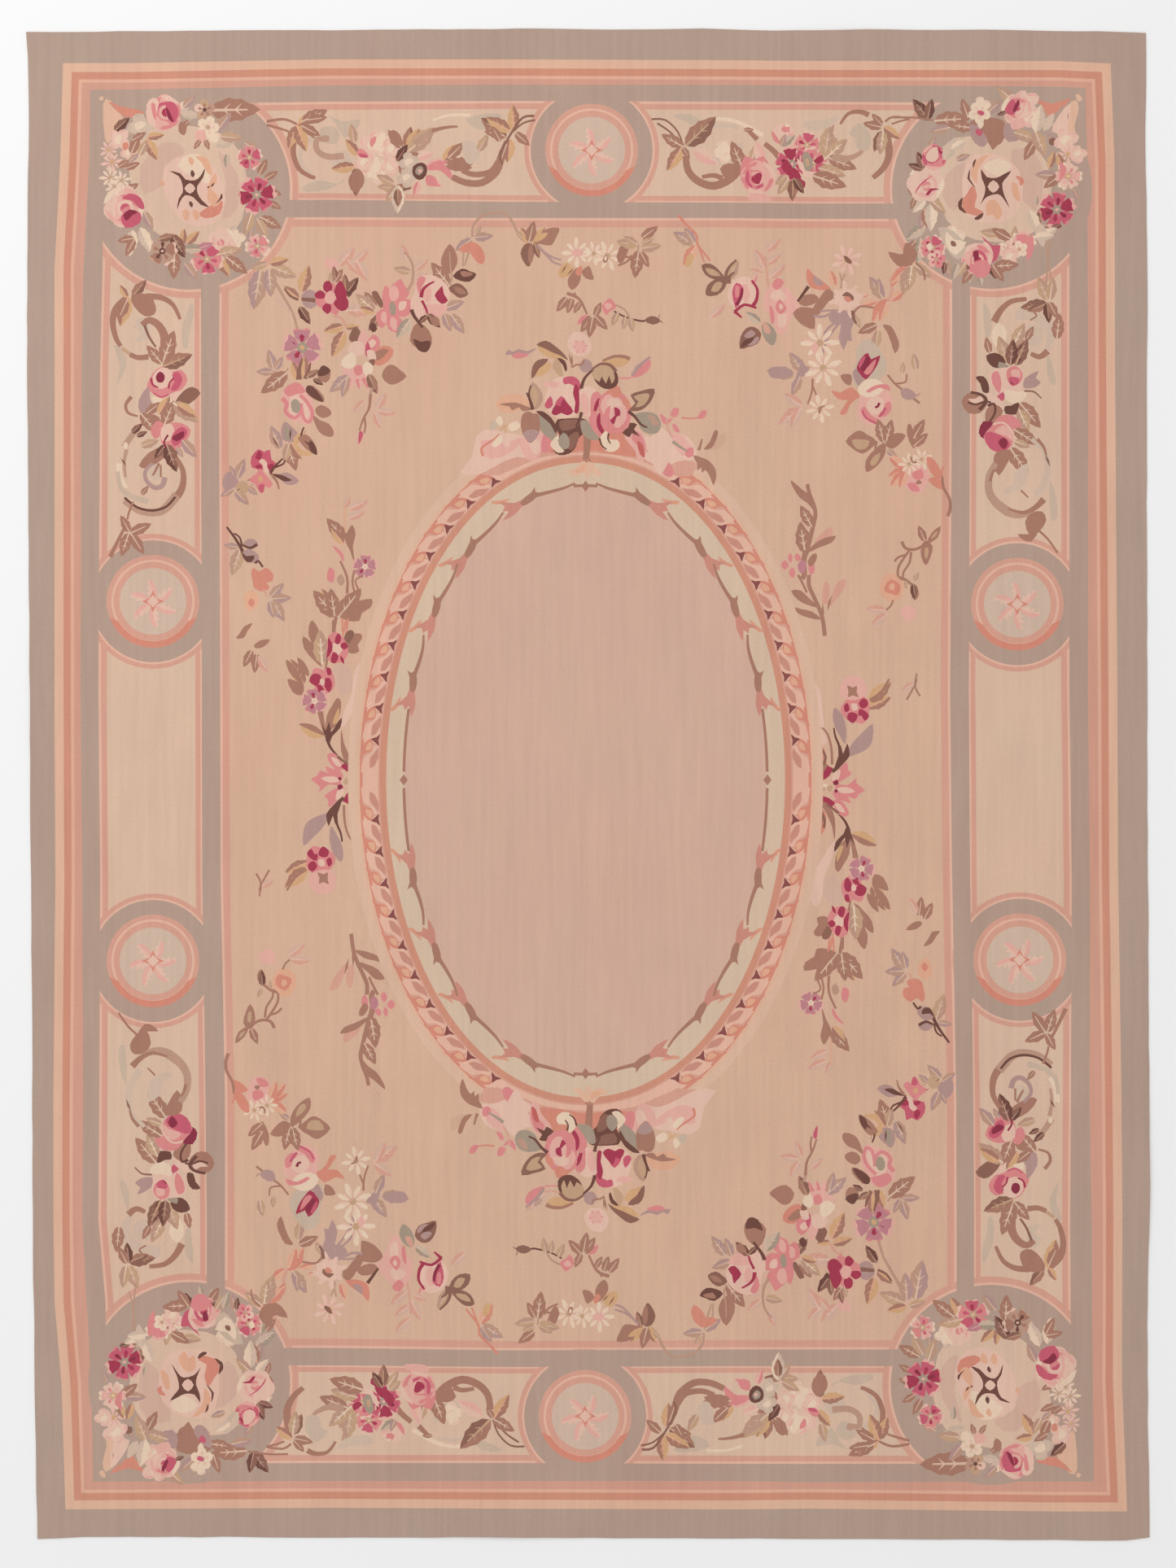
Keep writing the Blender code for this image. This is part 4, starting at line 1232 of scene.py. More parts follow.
PANEL_LEFT_UP = (
    ("patch", "mist", (-99.6, 113), (-97.4, 118.6), (-96.8, 116), (-98, 111), (-98.4, 107.2), (-99.6, 108)),
    ("patch", "haze", (-111.6, 112.6), (-110, 115), (-107.6, 113), (-108.4, 109.4), (-111.6, 109),
     (-109.8, 111)),
    ("patch", "mist", (-116.6, 108), (-114.4, 107), (-113.4, 103), (-115.8, 98.4), (-115, 103)),
    ("stem", "nutmeg", 2.0, 1.0, (-113.4, 119.4), (-116, 117), (-116.8, 113.6), (-116, 109.8),
     (-114.8, 107.8)),
    ("stem", "tan", 0.9, 0.8, (-114.6, 107.4), (-113, 106.2), (-111.6, 105.4)),
    ("stem", "nutmeg", 1.1, 1.4, (-112.6, 105.8), (-110.6, 105), (-108, 105.2)),
    ("stem", "nutmeg", 1.7, 0.8, (-108.4, 120), (-105, 119.8), (-102, 118), (-100.2, 114.4)),
    ("leaf", "gold", -113.2, 119.6, 3.8, 120),
    ("leaf", "gold", -113, 120, 7.6, 255),
    ("leaf", "nutmeg", -113.2, 119.2, 5.6, 245),
    ("leaf", "brown", -112, 120, 5.4, 50),
    ("patch", "nutmeg", (-112.2, 120.4), (-108, 120.6), (-106.2, 117.6), (-106.6, 115.6), (-109, 115.2),
     (-111.6, 117.6)),
    ("stem", "nutmeg", 1.4, 2.4, (-109.6, 113), (-107.8, 114.2), (-105.4, 112.8), (-104, 109.6),
     (-104.4, 104)),
    ("stem", "brown", 0.7, 0.5, (-109, 113), (-107.8, 110), (-106.2, 107.6)),
    ("leaf", "nutmeg", -104.6, 103.6, 8.6, 70),
    ("leaf", "nutmeg", -104.6, 103.4, 6, 130),
    ("leaf", "brown", -104.6, 102.8, 8.0, 22),
    ("patch", "pink", (-107.8, 99.6), (-106.6, 101.6), (-104.6, 102.8), (-102.6, 101.4), (-100, 102),
     (-98.4, 99.6), (-100, 97), (-102.4, 96.2), (-104.6, 95), (-107, 96.2), (-108.4, 97.8)),
    ("patch", "petal", (-107, 100.4), (-104.8, 102.6), (-102.4, 101.8), (-102, 99.6), (-103.4, 97.8),
     (-106, 97.4)),
    ("patch", "rose", (-102.2, 100.6), (-101, 101.6), (-99.6, 99.8), (-101, 97), (-102.6, 97.2),
     (-101.6, 99)),
    ("patch", "wine", (-106.2, 100.4), (-105.2, 101.6), (-104, 100.6), (-104.4, 99), (-105.8, 99)),
    ("stem", "crimson", 0.5, 0.4, (-107.4, 100), (-107, 98.4), (-105.6, 97.6)),
    ("stem", "crimson", 0.4, 0.5, (-101.8, 100), (-102.8, 98.8), (-103.1, 97.4)),
    ("stem", "rose", 0.4, 0.4, (-106.8, 96.4), (-105, 95.3), (-103, 96)),
    ("patch", "cream", (-107, 95.6), (-104, 94.6), (-101.8, 95.8), (-102, 94), (-104.6, 93.2),
     (-106.8, 93.8)),
    ("patch", "petal", (-102.4, 96.2), (-99.6, 96.8), (-99, 94.8), (-100.8, 93.8), (-102.4, 94.4)),
    ("patch", "lilac", (-110.4, 94.6), (-108, 98), (-107.6, 94.8), (-107, 93), (-109, 91.2), (-110.2, 91.6)),
    ("stem", "nutmeg", 1.0, 0.5, (-112.2, 95.4), (-113.6, 93.4), (-113, 91.4), (-110.6, 90.6)),
    ("leaf", "nutmeg", -108.8, 91, 5, 38),
    ("leaf", "gold", -105.6, 91, 5.4, 58),
    ("leaf", "nutmeg", -104.4, 87.8, 7.2, 68),
    ("patch", "brown", (-101.4, 94.2), (-99.4, 96.8), (-97.2, 97.8), (-95.2, 96.2), (-98, 93.6),
     (-100.4, 93)),
    ("leaf", "tan", -102, 94, 8, -38),
    ("leaf", "gold", -101, 93.6, 5.8, -34),
    ("leaf", "nutmeg", -110, 91.4, 6.6, -50),
    ("patch", "nutmeg", (-107.6, 91), (-105.4, 90.4), (-105, 88.2), (-107, 88)),
    ("patch", "pink", (-107.4, 87.6), (-106, 89.4), (-104.4, 88.8), (-104.8, 86.4), (-106.2, 85),
     (-107.2, 86)),
    ("patch", "pink", (-105, 87.6), (-102.4, 89), (-99.6, 88.8), (-97.6, 87.2), (-98.6, 84.6), (-100.8, 82.4),
     (-103, 82.4), (-104.8, 84)),
    ("patch", "petal", (-104.9, 87.6), (-102.6, 88.9), (-101.6, 86.8), (-102.8, 84.6), (-104.7, 84.6)),
    ("patch", "rose", (-101.8, 86.6), (-99.8, 88), (-98.4, 86.8), (-99.6, 84.6), (-101.6, 83.2),
     (-102.4, 84.8)),
    ("patch", "wine", (-102.4, 85.3), (-101, 86.2), (-99.4, 86.9), (-99.3, 85.6), (-101, 84.4)),
    ("leaf", "lilac", -99.8, 84.8, 5.8, -50),
    ("leaf", "lilac", -101, 83, 3, -60),
    ("leaf", "fawn", -110, 83.2, 4.8, 18),
    ("patch", "nutmeg", (-104.6, 83), (-108, 81.6), (-110.4, 78.4), (-108, 77.8), (-105.4, 79.4),
     (-103.8, 81)),
    ("leaf", "umber", -103.8, 83.6, 4.4, 232),
    ("leaf", "umber", -103.6, 83.8, 7.4, -70),
    ("stem", "wine", 0.5, 0.4, (-103.2, 86), (-104.2, 84.2), (-103.6, 82.8)),
    ("stem", "fawn", 1.6, 1.2, (-114, 83), (-112, 86), (-110, 88.2)),
    ("leaf", "umber", -112.2, 86.4, 3.6, 42),
    ("leaf", "umber", -111, 85.6, 3, 25),
    ("patch", "cream", (-113.6, 84.3), (-113, 83.4), (-113.6, 82.5), (-114.3, 83.4)),
    ("stem", "fawn", 1.0, 0.6, (-113.4, 82.4), (-114, 79), (-113.6, 75.6)),
    ("stroke", "umber", -114.9, 80.4, 2.6, -62),
    ("stem", "cream", 1.4, 1.0, (-115.2, 79), (-115, 75.6), (-113.4, 73)),
    ("stem", "mist", 1.0, 1.4, (-115.6, 77), (-114.8, 73), (-112, 70.8), (-108, 69.6)),
    ("stem", "nutmeg", 1.0, 2.2, (-101.2, 80.4), (-99.6, 77.4), (-99.5, 74), (-100.6, 71.4), (-103, 69)),
    ("stem", "fawn", 2.4, 1.4, (-101, 71.2), (-104, 67.8), (-107, 66.9), (-110.8, 67.6), (-114, 69.8)),
    ("stem", "umber", 0.6, 0.6, (-113.9, 70.6), (-110.8, 68.2), (-107, 67.4), (-103.6, 68.4), (-101.4, 70.8)),
    ("patch", "haze", (-108.4, 77), (-106, 79), (-104.6, 76.4), (-106.4, 74.6)),
    ("stem", "lilac", 1.4, 0.8, (-104, 75.6), (-104.6, 73.6), (-106.4, 73), (-108.4, 74.6), (-108.8, 77),
     (-107, 79)),
    ("stem", "nutmeg", 0.7, 0.5, (-105.4, 79), (-106.4, 77), (-107, 76)),
    ("stem", "nutmeg", 0.5, 0.5, (-105, 78.6), (-105, 75.6)),
    ("leaf", "nutmeg", -109.8, 71.2, 3.0, 52),
    ("stem", "nutmeg", 0.6, 0.5, (-111.8, 69.6), (-112.8, 67), (-113.2, 65.2)),
    ("leaf", "nutmeg", -112.6, 62, 4.8, 118),
    ("leaf", "nutmeg", -112.6, 61.8, 5.8, 24),
    ("leaf", "nutmeg", -112.2, 61.6, 5.8, -58),
    ("leaf", "nutmeg", -112.8, 62, 6.2, 252),
    ("stem", "nutmeg", 0.7, 1.1, (-113.8, 63.4), (-116, 59), (-117.4, 56)),
)

PANEL_RIGHT_UP = (
    ("patch", "mist", (97, 118.6), (98.8, 116.4), (99.2, 112), (98.2, 109), (98.4, 106), (97.4, 112)),
    ("patch", "haze", (106, 117.6), (110, 116.4), (114.4, 113), (114.6, 109), (112, 106.4), (112.6, 111),
     (109, 114.2), (105, 114.4)),
    ("patch", "haze", (108, 113), (111.6, 112.4), (111.8, 109.4), (109, 107.6), (107.6, 110)),
    ("patch", "cream", (101, 113.6), (103, 111), (101.4, 107), (99.6, 108.6), (99.4, 111.6)),
    ("stem", "nutmeg", 1.0, 1.8, (107.8, 119.4), (104, 118.8), (101.4, 116.6), (99.8, 113.8)),
    ("leaf", "nutmeg", 115.2, 109.4, 6.6, 84),
    ("leaf", "brown", 113, 118.2, 6.8, 188),
    ("leaf", "brown", 113, 118.4, 5.4, 202),
    ("leaf", "umber", 112.8, 118.6, 5.2, -84),
    ("leaf", "nutmeg", 113.2, 118.8, 4.8, -62),
    ("stem", "nutmeg", 0.5, 0.4, (109.6, 116.2), (110.2, 115.2), (108.6, 114.2)),
    ("leaf", "fawn", 113, 119, 6.4, 112),
    ("leaf", "tan", 113.4, 119, 5.8, 80),
    ("leaf", "tan", 104.4, 107.6, 6.6, 64),
    ("leaf", "nutmeg", 107.6, 109.2, 4.0, 62),
    ("leaf", "fawn", 103.4, 103.4, 7.4, 110),
    ("leaf", "brown", 105, 103, 7.4, 66),
    ("leaf", "umber", 103.8, 103, 6.6, 84),
    ("stroke", "umber", 105.2, 106, 3.6, 48),
    ("stroke", "umber", 105.4, 103, 3.0, 55),
    ("patch", "umber", (97.8, 105.4), (100, 106.2), (102, 105.2), (102.6, 103.2), (100.6, 102.4),
     (98.8, 103.2)),
    ("patch", "sage", (101, 104), (103.4, 103), (103, 102), (101, 102)),
    ("leaf", "nutmeg", 98.8, 106, 4.2, 104),
    ("stem", "nutmeg", 1.0, 1.7, (108.8, 106), (111, 105.2), (113, 106.6)),
    ("patch", "mist", (113, 106), (115, 100), (114.4, 98), (112.8, 101)),
    ("patch", "petal", (98.8, 101), (101, 102.4), (103, 102.6), (105, 103), (107, 101.4), (107.2, 98.6),
     (105.8, 95.6), (103, 95), (100.8, 96), (99, 98.6)),
    ("patch", "pink", (99.2, 101), (100.8, 101.6), (101.6, 98.6), (101, 96.2), (99.4, 98.6)),
    ("patch", "pink", (103, 102), (105, 103), (106.8, 101.2), (106.4, 99.2), (104.6, 98.2), (103, 99.6)),
    ("patch", "blush", (104, 101.8), (105.9, 102), (106.1, 100.2), (104.4, 100)),
    ("patch", "rose", (103.6, 100.2), (105.6, 100.1), (106, 98.8), (104.4, 98), (103.4, 99)),
    ("stroke", "wine", 103.4, 99.2, 1.8, -42),
    ("patch", "cream", (102.6, 97.2), (105, 96.6), (107.8, 96.8), (107, 94.6), (104.6, 93.6), (102.4, 95)),
    ("patch", "rose", (100.2, 95), (102, 96.6), (102.4, 95), (101.4, 94.2)),
    ("patch", "petal", (98, 96.6), (101, 95), (102.2, 93), (100, 92.4), (98.4, 94.4)),
    ("patch", "lilac", (107, 97.8), (107.4, 100), (110.8, 101.8), (110, 100), (111.3, 99), (110, 97.8),
     (108, 97.4)),
    ("stem", "brown", 0.5, 0.3, (107.2, 96.8), (109.6, 96.6), (111.4, 95)),
    ("patch", "umber", (95.2, 100.2), (97.2, 100.4), (98.4, 98.6), (98.5, 96.4), (97, 96.6), (96.4, 98.6)),
    ("patch", "nutmeg", (91.8, 94), (93, 96), (95.4, 96.6), (97.6, 95.6), (98.2, 93.8), (96.4, 91.4),
     (93.4, 91.4)),
    ("patch", "petal", (93.4, 94.8), (95.2, 94.9), (96.4, 95.6), (97.2, 94.4), (95.2, 93.6)),
    ("stem", "umber", 0.6, 0.9, (94, 96.5), (96.6, 95.9), (97.9, 94.4), (96.2, 92.2)),
    ("stem", "umber", 0.5, 0.5, (93.4, 94), (95.4, 93.5), (97.4, 94.2), (99, 94)),
    ("patch", "nutmeg", (98, 92.4), (100, 93.6), (102, 92), (101, 90), (99, 87.4), (97.6, 89.6)),
    ("stem", "umber", 0.7, 0.5, (98.2, 93.2), (99.8, 93.6), (100, 91.4), (98.4, 88.8)),
    ("patch", "umber", (102.4, 93), (104, 93.2), (105.8, 94), (106.2, 91.6), (105, 91), (102.6, 91.2)),
    ("leaf", "nutmeg", 106, 94, 8.2, -50),
    ("leaf", "tan", 105.8, 92.4, 6.4, -66),
    ("patch", "wine", (96, 86.6), (97.2, 89.4), (100.4, 88.6), (99.4, 86.4), (97.4, 85)),
    ("patch", "pink", (99, 88), (101, 90.6), (104.4, 90.8), (106.6, 88.2), (104.8, 86), (104.2, 83.4),
     (101.6, 81.6), (98.8, 82.6), (97.2, 85.6)),
    ("patch", "rose", (97.4, 85.8), (99, 86.8), (103.2, 84.8), (103.6, 83), (101.2, 81.8), (98.6, 82.8)),
    ("patch", "blush", (100, 87), (102, 88.4), (104, 87), (104.6, 84.4), (103, 85.6), (101, 86.2)),
    ("patch", "wine", (100.8, 84.2), (102.2, 85.4), (103.2, 84), (102.2, 82.4)),
    ("stem", "petal", 0.5, 0.4, (99.6, 88.6), (102, 89), (104.2, 87), (104.9, 85)),
    ("leaf", "nutmeg", 104.6, 87.4, 7.2, -32),
    ("leaf", "tan", 104.6, 84.6, 4.4, -22),
    ("patch", "nutmeg", (99.8, 81), (101.4, 82.2), (104.4, 82), (103, 79), (101, 76), (99.8, 78.4)),
    ("leaf", "nutmeg", 103.6, 83, 8.2, -56),
    ("stem", "fawn", 1.4, 2.4, (100.2, 79), (98.6, 76), (98.6, 72), (100.6, 69), (103.4, 67)),
    ("stem", "fawn", 2.2, 1.2, (101, 68.8), (104, 66.6), (107, 66.4), (109.6, 67.6)),
    ("stem", "nutmeg", 0.5, 1.7, (103.4, 67.8), (107, 66.9), (110, 68.2), (112, 70.2)),
    ("stem", "nutmeg", 0.8, 0.5, (98.8, 74.6), (99.6, 77), (101, 77.6)),
    ("stem", "haze", 1.0, 2.0, (109, 85), (112, 82), (113, 78), (112, 74), (110, 71)),
    ("stroke", "brown", 112.2, 81.6, 3.8, -76),
    ("stem", "nutmeg", 0.9, 0.5, (110.4, 85), (112, 83), (112.6, 81)),
    ("patch", "haze", (105, 77), (108, 79), (107.6, 74), (104, 71.6), (102, 72.4), (104.6, 74)),
    ("stem", "nutmeg", 0.5, 0.4, (106.4, 72.4), (108.2, 70.6)),
    ("patch", "mist", (113.4, 75), (115, 71), (115.4, 66), (114, 65), (113.4, 69)),
    ("patch", "nutmeg", (107.4, 64.6), (109, 66.8), (111.6, 67.2), (112.6, 65), (111, 62.4), (108.6, 61.2)),
    ("patch", "nutmeg", (105.6, 61.6), (108, 61.6), (110.8, 62.6), (109, 59.8), (107, 60.2)),
    ("stem", "nutmeg", 0.6, 0.5, (110.4, 62.8), (113, 60.4), (115.4, 57)),
)

SPRAY_LEFT = (
    ("leaf", "lilac", -80.4, 126.8, 10.2, 260),
    ("leaf", "lilac", -78.4, 127, 7.2, 274),
    ("leaf", "fawn", -78.8, 128.2, 4.4, 198),
    ("leaf", "fawn", -78, 127.4, 7, -22),
    ("leaf", "gold", -78.4, 128.2, 5, 12),
    ("stem", "fawn", 0.8, 0.6, (-77, 123.8), (-74.6, 119.6), (-72.6, 116), (-71.4, 112)),
    ("stem", "wash", 0.6, 0.5, (-76.6, 119.6), (-74.4, 117.4), (-72.8, 115.6)),
    ("leaf", "gold", -70.5, 121, 7, 74),
    ("leaf", "gold", -71, 119.4, 5, 140),
    ("stem", "brown", 0.5, 0.7, (-74.6, 122), (-73.2, 120.2), (-71.2, 119.2)),
    ("patch", "lilac", (-70.4, 120.4), (-68.4, 121.8), (-66.6, 120.6), (-66.4, 118.2), (-68.2, 117),
     (-70, 118)),
    ("stem", "brown", 0.8, 1.2, (-70.4, 119.4), (-68.4, 119.2), (-66.2, 119)),
    ("leaf", "umber", -71, 117.6, 5.2, -58),
    ("leaf", "faint", -61.4, 127.6, 6.2, 48),
    ("leaf", "faint", -57.6, 128.2, 5, 42),
    ("leaf", "faint", -59, 129, 4.6, -52),
    ("leaf", "faint", -56.8, 128.8, 5.8, -62),
    ("leaf", "faint", -59.4, 116.6, 7, 0),
    ("stem", "salmon", 0.7, 0.6, (-62.4, 115.4), (-60.6, 114.6), (-59.4, 112.6)),
    ("patch", "blush", (-64.6, 129.4), (-62.2, 129.2), (-61.2, 127.6), (-62.4, 126.6), (-64, 127)),
    ("leaf", "nutmeg", -62.4, 123.4, 4, 58),
    ("leaf", "brown", -62, 124.4, 3.2, 100),
    ("leaf", "fawn", -63, 123.2, 2.8, 100),
    ("leaf", "umber", -59.6, 120.4, 5.4, 54),
    ("leaf", "brown", -59.6, 121, 4.6, 92),
    ("patch", "umber", (-59.6, 121.2), (-57.8, 121.2), (-58.8, 119.8)),
    ("patch", "pink", (-67, 120), (-66.4, 117.6), (-64.4, 117), (-62, 115.4), (-61, 117), (-61.6, 121),
     (-62.6, 123.6), (-64.4, 121)),
    ("patch", "crimson", (-65, 121.6), (-64.9, 123.4), (-63.6, 123.9), (-62.8, 122.4), (-63.4, 120.8)),
    ("patch", "crimson", (-67.2, 120.6), (-65.8, 121.6), (-64.5, 120.6), (-64.8, 119.6), (-66.6, 119.5)),
    ("patch", "crimson", (-64.6, 118.2), (-63.4, 118.4), (-63.1, 116.8), (-64, 115.7), (-65.4, 117)),
    ("patch", "crimson", (-62.4, 121.4), (-61, 124), (-59.8, 122.4), (-59.3, 119.8), (-61.6, 119.2)),
    ("patch", "crimson", (-62, 119.2), (-59.3, 119.8), (-58.9, 117.4), (-60.6, 116.4), (-62.4, 118)),
    ("patch", "blush", (-64.5, 120.6), (-63, 121.5), (-61.9, 119.8), (-63, 118.1), (-64.6, 118.8)),
    ("bloom", "mauve", -70.2, 107.6, 5.2, 20, 1, 5),
    ("patch", "sage", (-71.6, 107.4), (-70.2, 109), (-68.8, 107.6), (-70, 106)),
    ("patch", "gold", (-71, 107.6), (-70.2, 108.2), (-69.6, 107.4), (-70.2, 106.8)),
    ("stroke", "wine", -73, 109, 1.6, -40),
    ("leaf", "gold", -71.2, 99.4, 5, 108),
    ("leaf", "gold", -69.8, 100, 5.4, 88),
    ("stem", "brown", 1.5, 0.4, (-71, 99.6), (-71, 102), (-70.2, 104.8)),
    ("stem", "brown", 1.0, 0.4, (-69.6, 99.8), (-68.6, 102), (-68.2, 103.8)),
    ("leaf", "brown", -69.2, 100.2, 3.6, 30),
    ("leaf", "umber", -67.6, 99.8, 3, -30),
    ("patch", "nutmeg", (-66.6, 100.2), (-63.6, 102), (-63.4, 100), (-64.6, 98.8)),
    ("patch", "umber", (-66.6, 100.6), (-65.6, 102.8), (-64.6, 103), (-63.2, 101.8), (-64.6, 100.6)),
    ("leaf", "lilac", -77.2, 102, 5.2, 105),
    ("leaf", "lilac", -77, 101.8, 4, 60),
    ("leaf", "lilac", -77.2, 101.5, 4.4, 180),
    ("stem", "fawn", 0.6, 0.4, (-77.4, 101.6), (-75, 101), (-73.6, 102.4)),
    ("leaf", "nutmeg", -73.8, 101.4, 8.4, 218),
    ("leaf", "gold", -60, 112.8, 5.2, 195),
    ("leaf", "gold", -59.8, 111.6, 7.2, 244),
    ("leaf", "gold", -59.6, 112.4, 3.4, 5),
    ("patch", "brown", (-58.2, 111.4), (-57.2, 112.6), (-56, 111.6), (-55.7, 109.4), (-57.4, 108.5),
     (-58.8, 109.6)),
    ("patch", "blush", (-56.6, 109.4), (-55.2, 112), (-54, 110), (-54.2, 107.4), (-56, 107)),
    ("patch", "petal", (-59.2, 107), (-57.6, 109), (-55.4, 108.6), (-55, 106), (-57.4, 105.4)),
    ("patch", "pink", (-54.6, 108), (-53, 110.6), (-51.4, 109.8), (-51.2, 107.4), (-53.4, 106.2)),
    ("patch", "petal", (-54.2, 108.4), (-53, 109.6), (-52, 108.6), (-53.2, 107.4)),
    ("patch", "coral", (-52.8, 105.8), (-50.4, 108), (-47.8, 107), (-48.6, 104.6), (-51, 103),
     (-52.6, 103.6)),
    ("patch", "nutmeg", (-52.8, 105.8), (-50.4, 107.2), (-49, 106.6), (-51.6, 104.2)),
    ("patch", "rose", (-54.8, 107), (-54.2, 109), (-53.4, 107), (-54.4, 105.2)),
    ("patch", "petal", (-54.4, 106.6), (-52.8, 106.8), (-52, 104.8), (-53.6, 104.2)),
    ("patch", "brown", (-53.8, 104.4), (-52.4, 104.6), (-52.6, 103), (-53.6, 103.4)),
    ("leaf", "pink", -57, 102.4, 5.6, 250),
    ("leaf", "pink", -56, 102.4, 5.2, 268),
    ("leaf", "pink", -55, 102.2, 5, -78),
    ("patch", "blush", (-60.6, 101.8), (-58.6, 103.4), (-56, 102.8), (-54.6, 103.6), (-53.6, 102), (-55, 100),
     (-58.6, 99.8)),
    ("patch", "cream", (-60.8, 103.4), (-59.8, 105.2), (-58, 106.4), (-57, 105), (-57.2, 103),
     (-58.8, 102.2)),
    ("patch", "cream", (-55.4, 102.4), (-54.6, 104), (-53, 103.2), (-53, 101.4), (-54.6, 100.6)),
    ("patch", "pink", (-57.6, 102.6), (-55.8, 103.2), (-55.4, 101.2), (-57, 100.6)),
    ("leaf", "brown", -54, 101, 5.4, -66),
    ("stem", "fawn", 0.7, 0.6, (-53, 97.6), (-53.6, 95.4), (-53.6, 92.8)),
    ("patch", "nutmeg", (-50.7, 100.4), (-49.6, 102.8), (-47.8, 103.2), (-46, 101.8), (-44.6, 100.4),
     (-46.6, 98.8), (-48.8, 98.4)),
    ("leaf", "lilac", -58.6, 100.6, 6.4, 220),
    ("leaf", "lilac", -59.2, 99.8, 4.8, 255),
    ("leaf", "nutmeg", -52, 117.4, 4.8, 128),
    ("leaf", "tan", -52.4, 116.4, 6.4, 138),
    ("leaf", "gold", -52.4, 116, 4, 160),
    ("patch", "brown", (-53.2, 121), (-52, 121.4), (-51.2, 120.2), (-50.2, 118), (-51, 117.2), (-52.2, 119)),
    ("leaf", "brown", -51, 115.6, 5, 234),
    ("patch", "umber", (-53.8, 113), (-52.6, 113.6), (-51.8, 112), (-53, 111.2)),
    ("patch", "pink", (-50.6, 119), (-50, 122.6), (-48.9, 122), (-48.4, 119.4), (-49, 118)),
    ("patch", "pink", (-48, 119), (-48.8, 122), (-47.4, 123.4), (-46, 124.4), (-45, 122.6), (-43.8, 121),
     (-45.6, 118.8)),
    ("patch", "pink", (-46.6, 118.8), (-44.6, 119.4), (-43, 118.8), (-43.2, 116.6), (-45, 115),
     (-46.6, 115.6)),
    ("patch", "pink", (-47.4, 115), (-46, 114.6), (-45.2, 112.8), (-46, 110.4), (-47.4, 111.2), (-49, 112),
     (-49.4, 114.4)),
    ("patch", "pink", (-52, 116), (-49.4, 117.2), (-48.8, 114.6), (-50.6, 112.2), (-51.8, 113.6)),
    ("patch", "pink", (-50, 119.4), (-46.6, 119.4), (-46, 115.4), (-48.4, 114.2), (-50.2, 116)),
    ("patch", "blush", (-48.4, 119), (-48.9, 121.6), (-47.6, 122.8), (-46.4, 121), (-47, 119.2)),
    ("patch", "blush", (-48.4, 115), (-47, 114.2), (-47.2, 111.6), (-48.6, 112.8)),
    ("patch", "blush", (-50.8, 116), (-49.6, 116.2), (-49.6, 113.4), (-50.8, 114.2)),
    ("patch", "petal", (-46.4, 118.6), (-44.6, 118.8), (-45, 117), (-46.4, 116.6)),
    ("patch", "sage", (-48.8, 118), (-48, 118.8), (-47.2, 117.4), (-47.5, 115.4), (-48.5, 115.8)),
    ("leaf", "faint", -42.6, 126.6, 4.4, 38),
    ("leaf", "faint", -42.6, 124.4, 3.6, 20),
    ("leaf", "faint", -44.4, 129, 4.4, 112),
    ("leaf", "fawn", -43.4, 126, 4.6, 168),
    ("stem", "fawn", 0.8, 0.5, (-44.4, 121.4), (-43.2, 123.6), (-43, 127), (-43.8, 129.4), (-45.2, 131)),
    ("leaf", "lilac", -35.4, 117, 5.4, 20),
    ("leaf", "lilac", -33.8, 115.8, 6, -55),
    ("leaf", "lilac", -35.4, 116, 5, -70),
    ("leaf", "nutmeg", -34, 122.6, 7.4, 128),
    ("patch", "nutmeg", (-36, 129.6), (-34, 133), (-32.3, 130.4), (-32.2, 128), (-33.8, 125.6), (-35.8, 127)),
    ("stem", "fawn", 0.3, 0.5, (-34, 131), (-33.8, 127), (-33.4, 124.8), (-34, 122.8)),
    ("patch", "umber", (-33.2, 125.1), (-31, 126.9), (-29, 126.2), (-27.4, 125.5), (-29, 123.7),
     (-31.4, 123.9)),
    ("patch", "nutmeg", (-31.4, 126.2), (-29.4, 126.1), (-28.2, 125.4), (-30.6, 124.8)),
    ("patch", "brown", (-34.4, 122), (-32.4, 123.3), (-30.6, 122.6), (-29.4, 120.6), (-31.4, 119.6),
     (-33, 120.6)),
    ("patch", "nutmeg", (-33, 122.4), (-31, 122), (-29.8, 120.6), (-32, 120.9)),
    ("leaf", "sage", -43.6, 114.6, 6, 234),
    ("patch", "nutmeg", (-42.8, 112.8), (-41.2, 113.4), (-39, 111.6), (-38.3, 108.8), (-39.4, 107),
     (-41.8, 107.2),
     (-43.8, 109.2)),
    ("patch", "umber", (-43, 109.6), (-41, 108.9), (-38.9, 109.2), (-38.8, 107.6), (-39.8, 106.3),
     (-41.8, 106.9)),
    ("stem", "haze", 0.6, 0.4, (-43.6, 115), (-43.6, 112), (-44.2, 110.4)),
    ("patch", "petal", (-42.6, 121), (-42, 124.2), (-39, 125.4), (-36, 124.2), (-34, 121.6), (-34.4, 118.4),
     (-37, 115.4), (-40.6, 114.4), (-43.2, 116.2), (-43.6, 119)),
    ("patch", "pink", (-42.2, 123), (-41.2, 125), (-39.8, 124.4), (-41, 122), (-41.2, 120)),
    ("patch", "blush", (-40.6, 117.6), (-37.6, 118.2), (-34.4, 117.6), (-36.4, 115.2), (-39.4, 115.2)),
    ("patch", "blush", (-40.6, 121), (-38.8, 122.4), (-38.4, 120), (-39.6, 118.4)),
    ("stem", "crimson", 1.0, 0.4, (-41, 119.8), (-40.6, 121.6), (-39.4, 122.8), (-37.8, 123.7)),
    ("stem", "crimson", 0.7, 0.4, (-40.8, 119), (-39.8, 117), (-39.4, 115.4)),
    ("patch", "crimson", (-37.7, 120.2), (-36.6, 121.8), (-35.8, 122.6), (-35.4, 120.6), (-34.4, 119),
     (-36, 118.2)),
